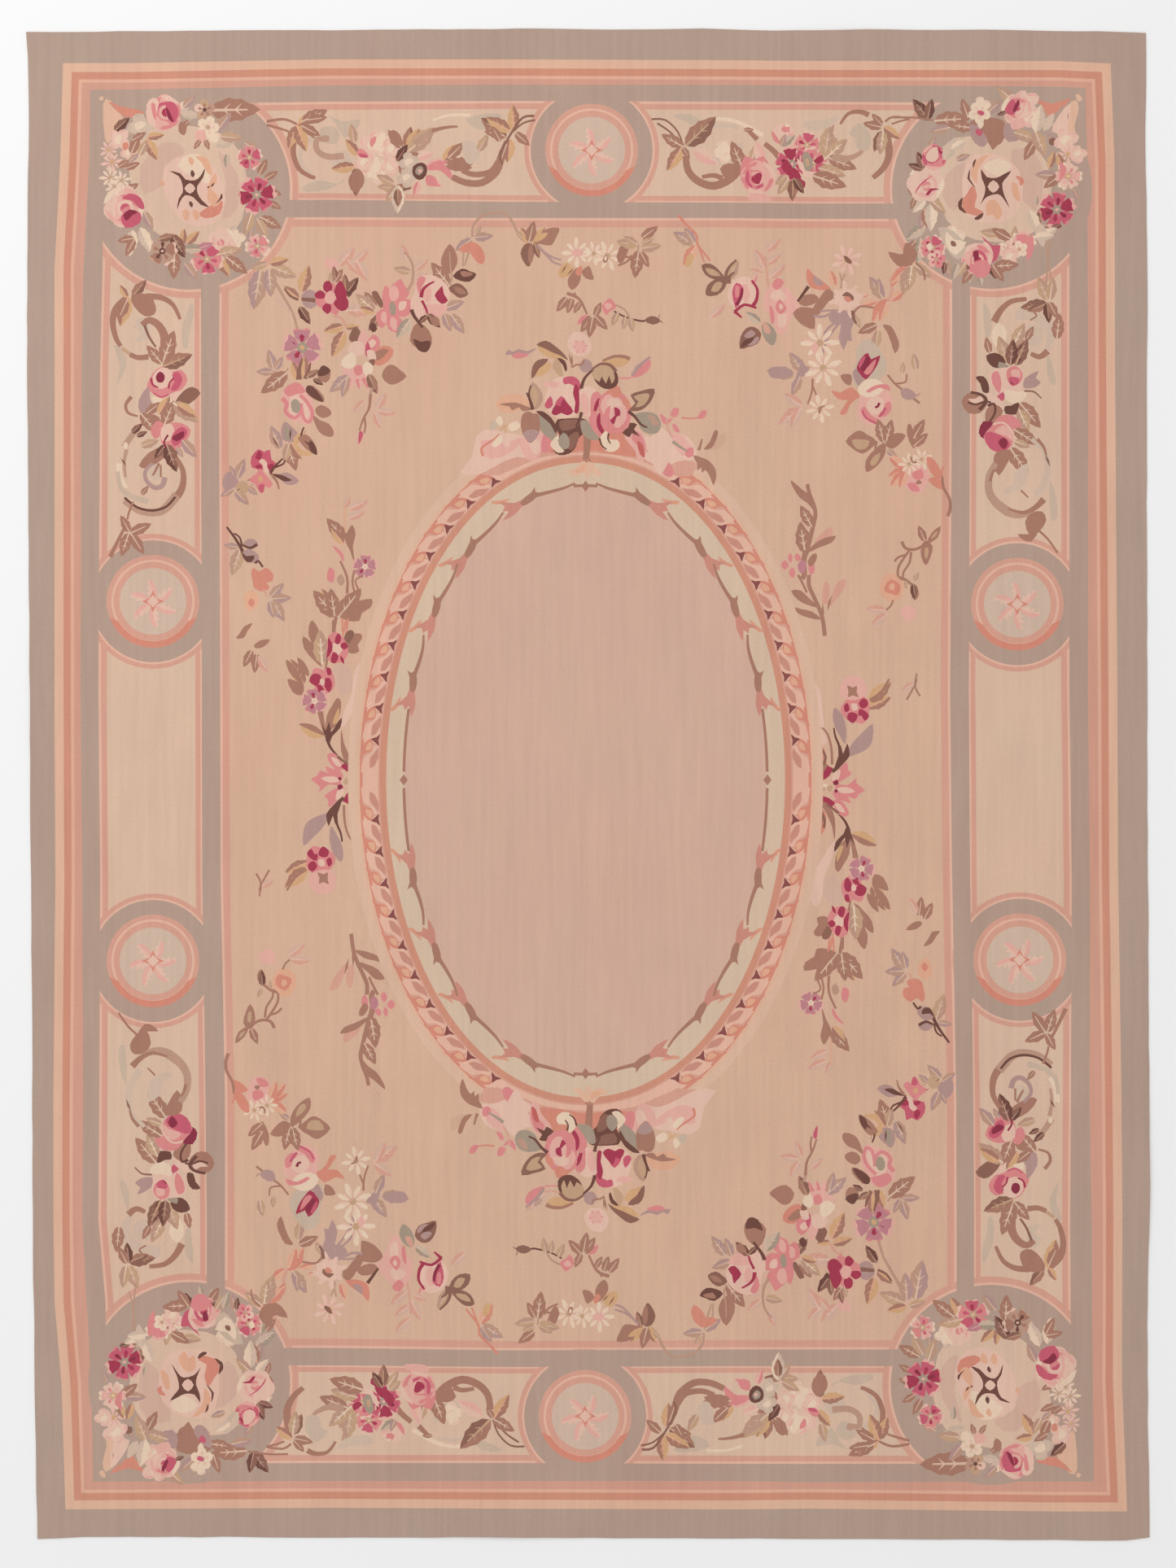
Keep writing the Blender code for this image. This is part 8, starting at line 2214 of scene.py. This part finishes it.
    ("stroke", "mauve", -1.4, 106.9, 1.2, -60),
    ("stroke", "mauve", -2.4, 106.9, 1.2, -120),
    ("stroke", "nutmeg", -4.7, 106.2, 3.8, -85),
    ("stroke", "nutmeg", -3.9, 105.8, 3.6, -100),
    ("patch", "pink", (10.5, 100.2), (11.6, 102), (13.2, 103.2), (14.8, 104.6), (15.5, 103.6), (14.6, 101.6),
     (12.6, 100.4)),
    ("stem", "lilac", 0.9, 0.5, (10.9, 100.6), (12.3, 102.6), (14, 104.2), (15.3, 105.2)),
    ("stem", "pink", 0.4, 0.3, (10.5, 100), (7.6, 100)),
    ("patch", "pink", (20.2, 90.8), (21, 92.6), (22.4, 92.4), (21.8, 90.4)),
    ("patch", "pink", (20.7, 88.6), (21.6, 88.6), (22.6, 86.6), (21.2, 87)),
    ("patch", "pink", (17.8, 91.4), (19.6, 89.8), (21, 90.4), (19.4, 88.4), (18, 89.6)),
    ("stem", "coral", 0.5, 0.3, (23, 90.2), (25.4, 90), (27.2, 90.3)),
    ("patch", "pink", (26.8, 90), (28, 92), (29.2, 91.8), (28.6, 90.2)),
    ("stem", "salmon", 0.4, 0.5, (19.4, 90), (19.6, 87.4), (20.8, 85.4)),
    ("stem", "sage", 0.9, 0.4, (20.8, 84.4), (22.4, 83.2), (24.4, 82)),
    ("patch", "faint_leaf", (28.5, 82.6), (31, 84.6), (33.4, 86.6), (33.8, 84), (31.6, 82.4)),
    ("patch", "nutmeg", (28.4, 82.4), (30, 84.4), (31, 87), (32, 86.8), (31.4, 84.6), (30.4, 82.8)),
    ("stem", "nutmeg", 0.8, 0.4, (27.2, 82.2), (27.6, 83.4), (28, 85)),
    ("patch", "nutmeg", (25.8, 81), (28, 80.4), (29.7, 79.6), (31.2, 77.8), (31.5, 75.6), (30.8, 73.6),
     (30, 75.6), (28.9, 77.4), (28, 76.6), (27.8, 78), (26.8, 77.2), (26.8, 79)),
    ("patch", "cream", (-22.8, 89.4), (-21.6, 90.8), (-20.9, 89.4), (-21.4, 88.2)),
    ("patch", "cream", (-19.6, 88.4), (-17.6, 89.4), (-16.6, 88), (-18.8, 86.8)),
    ("patch", "mist", (-24.2, 89), (-22.8, 89.6), (-22.2, 88), (-23.8, 87)),
    ("patch", "cream", (-23.7, 83.6), (-21.7, 86), (-20.7, 84.8), (-22.6, 83)),
    ("patch", "petal", (-21, 85.8), (-19.6, 86.2), (-19.2, 83.4), (-20.6, 83.2)),
    ("stroke", "gold", -22, 87, 3.4, 25),
    ("stroke", "gold", -20.8, 88.8, 2.6, -80),
)


# The charts in the order they are laid, each with how far its half-turned copy wandered on the loom
CHARTS = (
    (PANEL_TOP_LEFT, (0.0, 1.0)),
    (PANEL_TOP_RIGHT, (0.0, 1.0)),
    (WREATH_LEFT, (1.0, -1.0)),
    (WREATH_RIGHT, (1.3, -0.5)),
    (PANEL_LEFT_UP, (0.0, 1.0)),
    (PANEL_RIGHT_UP, (0.0, 1.0)),
    (SPRAY_LEFT, (0.0, 0.0)),
    (FIELD_TOP, (0.0, 0.0)),
    (SPRAY_RIGHT, (0.0, 0.0)),
    (SIDE_LEFT_UP, (0.0, 0.0)),
    (SIDE_RIGHT_UP, (0.0, 0.0)),
    (SIDE_LEFT_MIDDLE, (0.0, 0.0)),
)
CREST_WANDERED = (0.0, 1.4)


def lay_cartoon():
    """Borders and roundels first, then the charts and their copies, then the medallion and its crests."""
    lay_borders()
    lay_roundels()
    for chart, wandered in CHARTS:
        weave(chart)
        weave(chart, True, wandered)
    lay_medallion()
    weave(CREST)
    weave(CREST, True, CREST_WANDERED)


# The cartoon ends here

# The loom: the cartoon becomes one sheet of small faces. Places here are whole steps of 0.01 mm, so that
# neighbouring tiles share their points exactly.

STEPS_PER_CM = 1000
TILE = 9 * STEPS_PER_CM
TILE_START = (-144130, -193370)

# Low swells that lift the cloth off the floor, as in the part's source. Columns: middle across, middle
# along, half width, half length, turn in degrees, height; metres but for the turn.
SWELLS = (
    (0.26, 0.98, 0.10, 0.62, 2.0, 0.0022),
    (-0.52, -0.30, 0.12, 0.85, -3.0, 0.0016),
    (0.78, -0.70, 0.12, 0.60, 4.0, 0.0018),
    (-0.95, 0.90, 0.11, 0.50, -2.0, 0.0014),
    (-0.20, -1.84, 0.30, 0.12, 0.0, 0.0030),
    (0.62, 1.84, 0.26, 0.11, 0.0, 0.0028),
    (-1.37, 0.20, 0.10, 0.34, 0.0, 0.0026),
    (1.37, -0.95, 0.11, 0.30, 0.0, 0.0032),
)
THICKNESS = 0.003
RIM_ROUND = 0.0006


def inside(points, edge):
    """Which points lie in a closed outline, by counting the outline's crossings to their right."""
    x = points[:, 0]
    y = points[:, 1]
    a = edge[:, None, :]
    b = np.roll(edge, -1, axis=0)[:, None, :]
    crosses = (a[..., 1] > y) != (b[..., 1] > y)
    rise = b[..., 1] - a[..., 1]
    rise = np.where(rise == 0, 1, rise)
    meet = a[..., 0] + (y - a[..., 1]) * (b[..., 0] - a[..., 0]) / rise
    return np.count_nonzero(crosses & (x < meet), axis=0) % 2 == 1


def split_at_tiles(edge):
    """Each piece of a closed outline with the tile that it lies in, cut where it crosses tiles' sides."""
    for a, b in zip(edge, np.roll(edge, -1, axis=0)):
        cuts = [(0.0, None, 0), (1.0, None, 0)]
        for axis in (0, 1):
            low, high = sorted((a[axis], b[axis]))
            for number in range(-(-(low - TILE_START[axis]) // TILE), (high - TILE_START[axis]) // TILE + 1):
                line = TILE_START[axis] + number * TILE
                if low < line < high:
                    cuts.append(((line - a[axis]) / (b[axis] - a[axis]), axis, line))
        cuts.sort(key=lambda cut: cut[0])
        places = []
        for share, axis, line in cuts:
            place = [round(a[0] + (b[0] - a[0]) * share), round(a[1] + (b[1] - a[1]) * share)]
            if axis is not None:
                place[axis] = line
            places.append(tuple(place))
        for start, end in zip(places, places[1:]):
            if start != end:
                column = (start[0] + end[0] - 2 * TILE_START[0]) // (2 * TILE)
                row = (start[1] + end[1] - 2 * TILE_START[1]) // (2 * TILE)
                yield (column, row), start, end


def corner_of(tile):
    return TILE_START[0] + tile[0] * TILE, TILE_START[1] + tile[1] * TILE


def triangulate(tile, edges, on_lines, extra=()):
    """Cuts a tile into triangles along its edges and its own four sides."""
    x0, y0 = corner_of(tile)
    number = {}

    def index(place):
        return number.setdefault(place, len(number))

    pairs = {(index(start), index(end)) for start, end in edges}
    for axis, line in ((0, x0), (0, x0 + TILE), (1, y0), (1, y0 + TILE)):
        low = (y0, x0)[axis]
        ends = {low, low + TILE, low + TILE // 2}
        ends.update(place for place in on_lines.get((axis, line), ()) if low < place < low + TILE)
        chain = [index((line, place) if axis == 0 else (place, line)) for place in sorted(ends)]
        pairs.update(zip(chain, chain[1:]))
    for place in extra:
        index(place)
    points = [Vector(((x - x0) / STEPS_PER_CM, (y - y0) / STEPS_PER_CM)) for x, y in number]
    found = delaunay_2d_cdt(points, list(pairs), [], 0, 1e-5, False)
    corners = np.rint(np.array([(v[0], v[1]) for v in found[0]]) * STEPS_PER_CM).astype(np.int64)
    return corners + (x0, y0), np.array(found[2])


def colour(corners, faces, drawn, order):
    """The top yarn at each triangle's middle, or -1 outside the rug."""
    middles = corners[faces].mean(axis=1)
    yarns = np.full(len(faces), -1)
    for place in order:
        edge, low, high, yarn, over = drawn[place]
        near = np.nonzero(np.all((middles >= low) & (middles <= high), axis=1))[0]
        if over is not None:
            near = near[np.isin(yarns[near], over)]
        if len(near):
            yarns[near[inside(middles[near], edge)]] = yarn
    return yarns


def seams(faces, yarns):
    """The edges where two yarns meet, as pairs of corner numbers."""
    ends = np.concatenate([faces[:, (0, 1)], faces[:, (1, 2)], faces[:, (2, 0)]])
    ends.sort(axis=1)
    owner = np.tile(yarns, 3)
    order = np.lexsort((ends[:, 1], ends[:, 0]))
    ends = ends[order]
    owner = owner[order]
    same = np.all(ends[1:] == ends[:-1], axis=1)
    differ = same & (owner[1:] != owner[:-1])
    return ends[1:][differ]


def weave_sheet():
    """Cuts the cartoon into triangles twice: once to see which edges show, once with only those."""
    drawn = []
    by_tile = {}
    edges_in = {}
    on_lines = {}
    for number, (points, yarn, over) in enumerate(shapes):
        edge = np.rint(points * STEPS_PER_CM).astype(np.int64)
        low = edge.min(axis=0)
        high = edge.max(axis=0)
        allowed = None if over is None else [YARN_NAMES.index(name) for name in over]
        drawn.append((edge, low, high, YARN_NAMES.index(yarn), allowed))
        first = (low - TILE_START) // TILE
        last = (high - TILE_START) // TILE
        for column in range(first[0], last[0] + 1):
            for row in range(first[1], last[1] + 1):
                by_tile.setdefault((column, row), []).append(number)
        for tile, start, end in split_at_tiles([(int(x), int(y)) for x, y in edge]):
            edges_in.setdefault(tile, []).append((start, end))
            for axis in (0, 1):
                for place in (start, end):
                    if (place[axis] - TILE_START[axis]) % TILE == 0:
                        on_lines.setdefault((axis, place[axis]), set()).add(place[1 - axis])
    needed = {}
    kept = {}
    for tile, order in by_tile.items():
        corners, faces = triangulate(tile, edges_in.get(tile, ()), on_lines)
        ends = corners[seams(faces, colour(corners, faces, drawn, order))]
        kept[tile] = [(tuple(map(int, start)), tuple(map(int, end))) for start, end in ends]
        for pair in kept[tile]:
            for place in pair:
                for axis in (0, 1):
                    if (place[axis] - TILE_START[axis]) % TILE == 0:
                        needed.setdefault((axis, place[axis]), set()).add(place[1 - axis])
    number = {}
    triangles = []
    yarns = []
    for tile, order in by_tile.items():
        x0, y0 = corner_of(tile)
        middle = [(x0 + TILE // 2, y0 + TILE // 2)]
        edges = [pair for pair in kept[tile] if pair[0] != pair[1]]
        corners, faces = triangulate(tile, edges, needed, middle)
        found = colour(corners, faces, drawn, order)
        own = [number.setdefault(tuple(map(int, corner)), len(number)) for corner in corners]
        for face, yarn in zip(faces, found):
            a, b, c = (own[corner] for corner in face)
            if yarn >= 0 and a != b and b != c and a != c:
                triangles.append((a, b, c))
                yarns.append(yarn)
    return np.array(list(number)) / STEPS_PER_CM, triangles, yarns


def lift_at(x, y):
    """How far the cloth stands off the floor there, in metres."""
    lift = 0.0
    for middle_x, middle_y, half_width, half_length, turn, height in SWELLS:
        cosine = math.cos(math.radians(turn))
        sine = math.sin(math.radians(turn))
        dx = x - middle_x
        dy = y - middle_y
        reach = math.hypot((dx * cosine + dy * sine) / half_width, (dy * cosine - dx * sine) / half_length)
        if reach < 1.0:
            lift = max(lift, height * (0.5 + 0.5 * math.cos(math.pi * reach)))
    return lift


def linear(hex_colour):
    """An sRGB hex colour as linear red, green and blue, with full alpha."""
    parts = [int(hex_colour[i : i + 2], 16) / 255 for i in (1, 3, 5)]
    return (*((p / 12.92 if p <= 0.04045 else ((p + 0.055) / 1.055) ** 2.4) for p in parts), 1.0)


def make_rug(middle):
    """The woven sheet with its yarns' colours, its rim and its plain underside."""
    lay_cartoon()
    places, triangles, yarns = weave_sheet()
    xs = places[:, 0] / 100 - middle[0]
    ys = places[:, 1] / 100 - middle[1]
    points = [(x, y, THICKNESS + lift_at(x, y)) for x, y in zip(xs, ys)]
    mesh = bpy.data.meshes.new("woven_rug")
    mesh.from_pydata(points, [], triangles)
    dyes = [linear(YARNS[name]) for name in YARN_NAMES]
    layer = mesh.attributes.new("yarn", "FLOAT_COLOR", "CORNER")
    layer.data.foreach_set("color", np.repeat([dyes[yarn] for yarn in yarns], 3, axis=0).ravel())
    mesh.update()
    rug = bpy.data.objects.new("woven_rug", mesh)
    bpy.context.scene.collection.objects.link(rug)
    finish_rim(rug)
    return rug


def finish_rim(rug):
    """Turns the open sheet's rim down to the floor, rounds it, and closes the underside."""
    work = bmesh.new()
    work.from_mesh(rug.data)
    yarn = work.loops.layers.float_color["yarn"]
    loose = [vertex for vertex in work.verts if not vertex.link_faces]
    bmesh.ops.delete(work, geom=loose, context="VERTS")
    rim = [edge for edge in work.edges if edge.is_boundary]
    for outward, height in ((RIM_ROUND, 0.65 * THICKNESS), (0.0, 0.3 * THICKNESS), (-RIM_ROUND, 0.0)):
        turned = bmesh.ops.extrude_edge_only(work, edges=rim)["geom"]
        rim = [item for item in turned if isinstance(item, bmesh.types.BMEdge)]
        for vertex in (item for item in turned if isinstance(item, bmesh.types.BMVert)):
            across = vertex.co.x / (WIDTH / 2)
            along = vertex.co.y / (LENGTH / 2)
            axis = 0 if abs(across) > abs(along) else 1
            vertex.co[axis] += math.copysign(outward, vertex.co[axis])
            vertex.co.z = height
    back = linear(YARNS["fawn"])
    for face in bmesh.ops.contextual_create(work, geom=rim)["faces"]:
        for loop in face.loops:
            loop[yarn] = back
    bmesh.ops.recalc_face_normals(work, faces=work.faces)
    work.to_mesh(rug.data)
    work.free()
    rug.data.shade_smooth()
    rug.data.set_sharp_from_angle(angle=math.radians(35))


def unfold(rug):
    """Lays the rug out on one square map: its face and rim fill nearly all of it, its back a strip."""
    layer = rug.data.uv_layers.new(name="OFBake")
    strip = 0.03
    for face in rug.data.polygons:
        under = face.normal.z < -0.5
        for loop in face.loop_indices:
            place = rug.data.vertices[rug.data.loops[loop].vertex_index].co
            u = 0.5 + place.x / 2.80
            v = 0.5 + place.y / 3.76
            if under:
                layer.data[loop].uv = (u, 0.002 + (strip - 0.006) * v)
            else:
                layer.data[loop].uv = (u, strip + (1.0 - strip) * v)


def node(tree, kind, settings=(), links=()):
    """Adds a node with its settings, and joins sockets to its inputs."""
    made = tree.nodes.new(kind)
    for name, value in dict(settings).items():
        if isinstance(name, int) or name in made.inputs:
            made.inputs[name].default_value = value
        else:
            setattr(made, name, value)
    for name, socket in dict(links).items():
        tree.links.new(socket, made.inputs[name])
    return made


# Sizes in the weave, in metres
RIB_PITCH = 0.0024
PICK_PITCH = 0.0009
ABRASH_WIDTH = 0.012
MOTTLE_SIZE = 0.16


def tapestry_wool():
    """Dyed wool in a weft-faced tapestry weave: quite matt, ribbed along the warps, faintly streaked.

    The dye took unevenly, so each colour has fine streaks along its wefts, a slow drift from warm to grey
    over a hand's breadth, and a heather grain. The ribs are drawn at their own pitch.
    """
    material = bpy.data.materials.new("dyed_wool_tapestry_weave")
    material.use_nodes = True
    tree = material.node_tree
    shader = tree.nodes["Principled BSDF"]
    shader.inputs["Roughness"].default_value = 0.93
    shader.inputs["Specular IOR Level"].default_value = 0.22
    shader.inputs["Sheen Weight"].default_value = 0.06
    shader.inputs["Sheen Roughness"].default_value = 0.6
    place = node(tree, "ShaderNodeTexCoord").outputs["Object"]
    dyed = node(tree, "ShaderNodeAttribute", {"attribute_name": "yarn"}).outputs["Color"]

    def grain(scale, detail, stretch, roughness=0.55):
        """Noise drawn out by stretch along the rug's length."""
        stretched = (scale, scale / stretch, scale)
        spread = node(tree, "ShaderNodeMapping", {"Scale": stretched}, {"Vector": place})
        made = node(
            tree,
            "ShaderNodeTexNoise",
            {"Scale": 1.0, "Detail": detail, "Roughness": roughness},
            {"Vector": spread.outputs["Vector"]},
        )
        return made.outputs["Fac"]

    def between(factor, low, high):
        """Spreads a factor's middle range over low to high."""
        made = node(
            tree,
            "ShaderNodeMapRange",
            {"From Min": 0.3, "From Max": 0.7, "To Min": low, "To Max": high},
            {"Value": factor},
        )
        return made.outputs["Result"]

    def multiply(first, second):
        made = node(tree, "ShaderNodeMath", {"operation": "MULTIPLY"}, {0: first, 1: second})
        return made.outputs["Value"]

    streaks = between(grain(1 / ABRASH_WIDTH, 3.0, 22.0), 0.965, 1.035)
    heather = between(grain(1 / (3 * PICK_PITCH), 2.0, 2.5), 0.965, 1.035)
    mottle = between(grain(1 / MOTTLE_SIZE, 3.0, 1.6), 0.975, 1.03)
    value = multiply(multiply(streaks, heather), mottle)
    aged = node(tree, "ShaderNodeHueSaturation", {}, {"Color": dyed, "Value": value})
    tint = node(
        tree,
        "ShaderNodeMix",
        {"data_type": "RGBA", "blend_type": "MULTIPLY", "B": (1.0, 0.955, 0.955, 1.0)},
        {"Factor": between(grain(1 / (2.2 * MOTTLE_SIZE), 2.0, 1.3), 0.0, 1.0), "A": aged.outputs["Color"]},
    )
    tree.links.new(tint.outputs["Result"], shader.inputs["Base Color"])
    across = node(
        tree,
        "ShaderNodeTexWave",
        {
            "wave_type": "BANDS",
            "bands_direction": "Y",
            "wave_profile": "SIN",
            "Scale": math.tau / 20 / RIB_PITCH,
            "Distortion": 0.6,
            "Detail": 1.0,
            "Detail Scale": 0.4,
        },
        {"Vector": place},
    )
    fuzz = grain(1 / PICK_PITCH, 2.0, 3.0)
    height = multiply(across.outputs["Fac"], fuzz)
    bump = node(
        tree,
        "ShaderNodeBump",
        {"Strength": 0.35, "Distance": 0.0006},
        {"Height": height},
    )
    tree.links.new(bump.outputs["Normal"], shader.inputs["Normal"])
    return material


def floor_material():
    """White studio paper: even and matt."""
    material = bpy.data.materials.new("studio_paper")
    material.use_nodes = True
    shader = material.node_tree.nodes["Principled BSDF"]
    shader.inputs["Base Color"].default_value = (0.93, 0.93, 0.93, 1.0)
    shader.inputs["Roughness"].default_value = 0.9
    shader.inputs["Specular IOR Level"].default_value = 0.1
    return material


# The photo's frame, in pixels, and how many of them make a metre of rug
PHOTO_WIDE = 1445
PHOTO_HIGH = 1927
PHOTO_PX_PER_M = 500.0
MIDDLE_PX = (722.5, 964.5)
CAMERA_HEIGHT = 10.0


def set_camera(middle):
    """Straight above the rug, as far off as a room's ceiling rig, framed as the photo is."""
    data = bpy.data.cameras.new("camera")
    data.sensor_fit = "VERTICAL"
    data.sensor_height = 36.0
    high = PHOTO_HIGH / PHOTO_PX_PER_M
    data.lens = 36.0 * (CAMERA_HEIGHT - THICKNESS) / high
    camera = bpy.data.objects.new("camera", data)
    camera.location = (
        (PHOTO_WIDE / 2 - MIDDLE_PX[0]) / PHOTO_PX_PER_M - middle[0],
        (MIDDLE_PX[1] - PHOTO_HIGH / 2) / PHOTO_PX_PER_M - middle[1],
        CAMERA_HEIGHT,
    )
    bpy.context.scene.collection.objects.link(camera)
    bpy.context.scene.camera = camera


def set_studio():
    """White paper floor, an even sky and one wide soft lamp from the far left."""
    bpy.ops.object.select_all(action="DESELECT")
    bpy.ops.mesh.primitive_plane_add(size=30.0, location=(0.0, 0.0, 0.0))
    floor = bpy.context.active_object
    floor.name = "floor"
    floor.data.materials.append(floor_material())
    world = bpy.data.worlds.new("studio")
    world.use_nodes = True
    world.node_tree.nodes["Background"].inputs["Color"].default_value = (1.0, 1.0, 1.0, 1.0)
    world.node_tree.nodes["Background"].inputs["Strength"].default_value = 0.80
    bpy.context.scene.world = world
    lamp = bpy.data.lights.new("soft_lamp", "AREA")
    lamp.shape = "RECTANGLE"
    lamp.size = 5.0
    lamp.size_y = 5.0
    lamp.energy = 170.0
    holder = bpy.data.objects.new("soft_lamp", lamp)
    holder.location = (-4.5, 4.5, 5.5)
    holder.rotation_euler = (Vector((0.0, 0.0, 0.0)) - holder.location).to_track_quat("-Z", "Y").to_euler()
    bpy.context.scene.collection.objects.link(holder)
    bpy.context.scene.view_settings.view_transform = "Standard"


def box_middle():
    """The middle of the outline's box, which the part's source moves to the origin."""
    edge = np.array([edge_point(a, b) for a in (-1, 1) for b in np.linspace(-1, 1, 41)]
                    + [edge_point(b, a) for a in (-1, 1) for b in np.linspace(-1, 1, 31)]) / 100
    return (edge.min(axis=0) + edge.max(axis=0)) / 2


middle = box_middle()
set_camera(middle)
set_studio()
rug = make_rug(middle)
unfold(rug)
rug.data.materials.append(tapestry_wool())
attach(rug, "root")
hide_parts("rug")
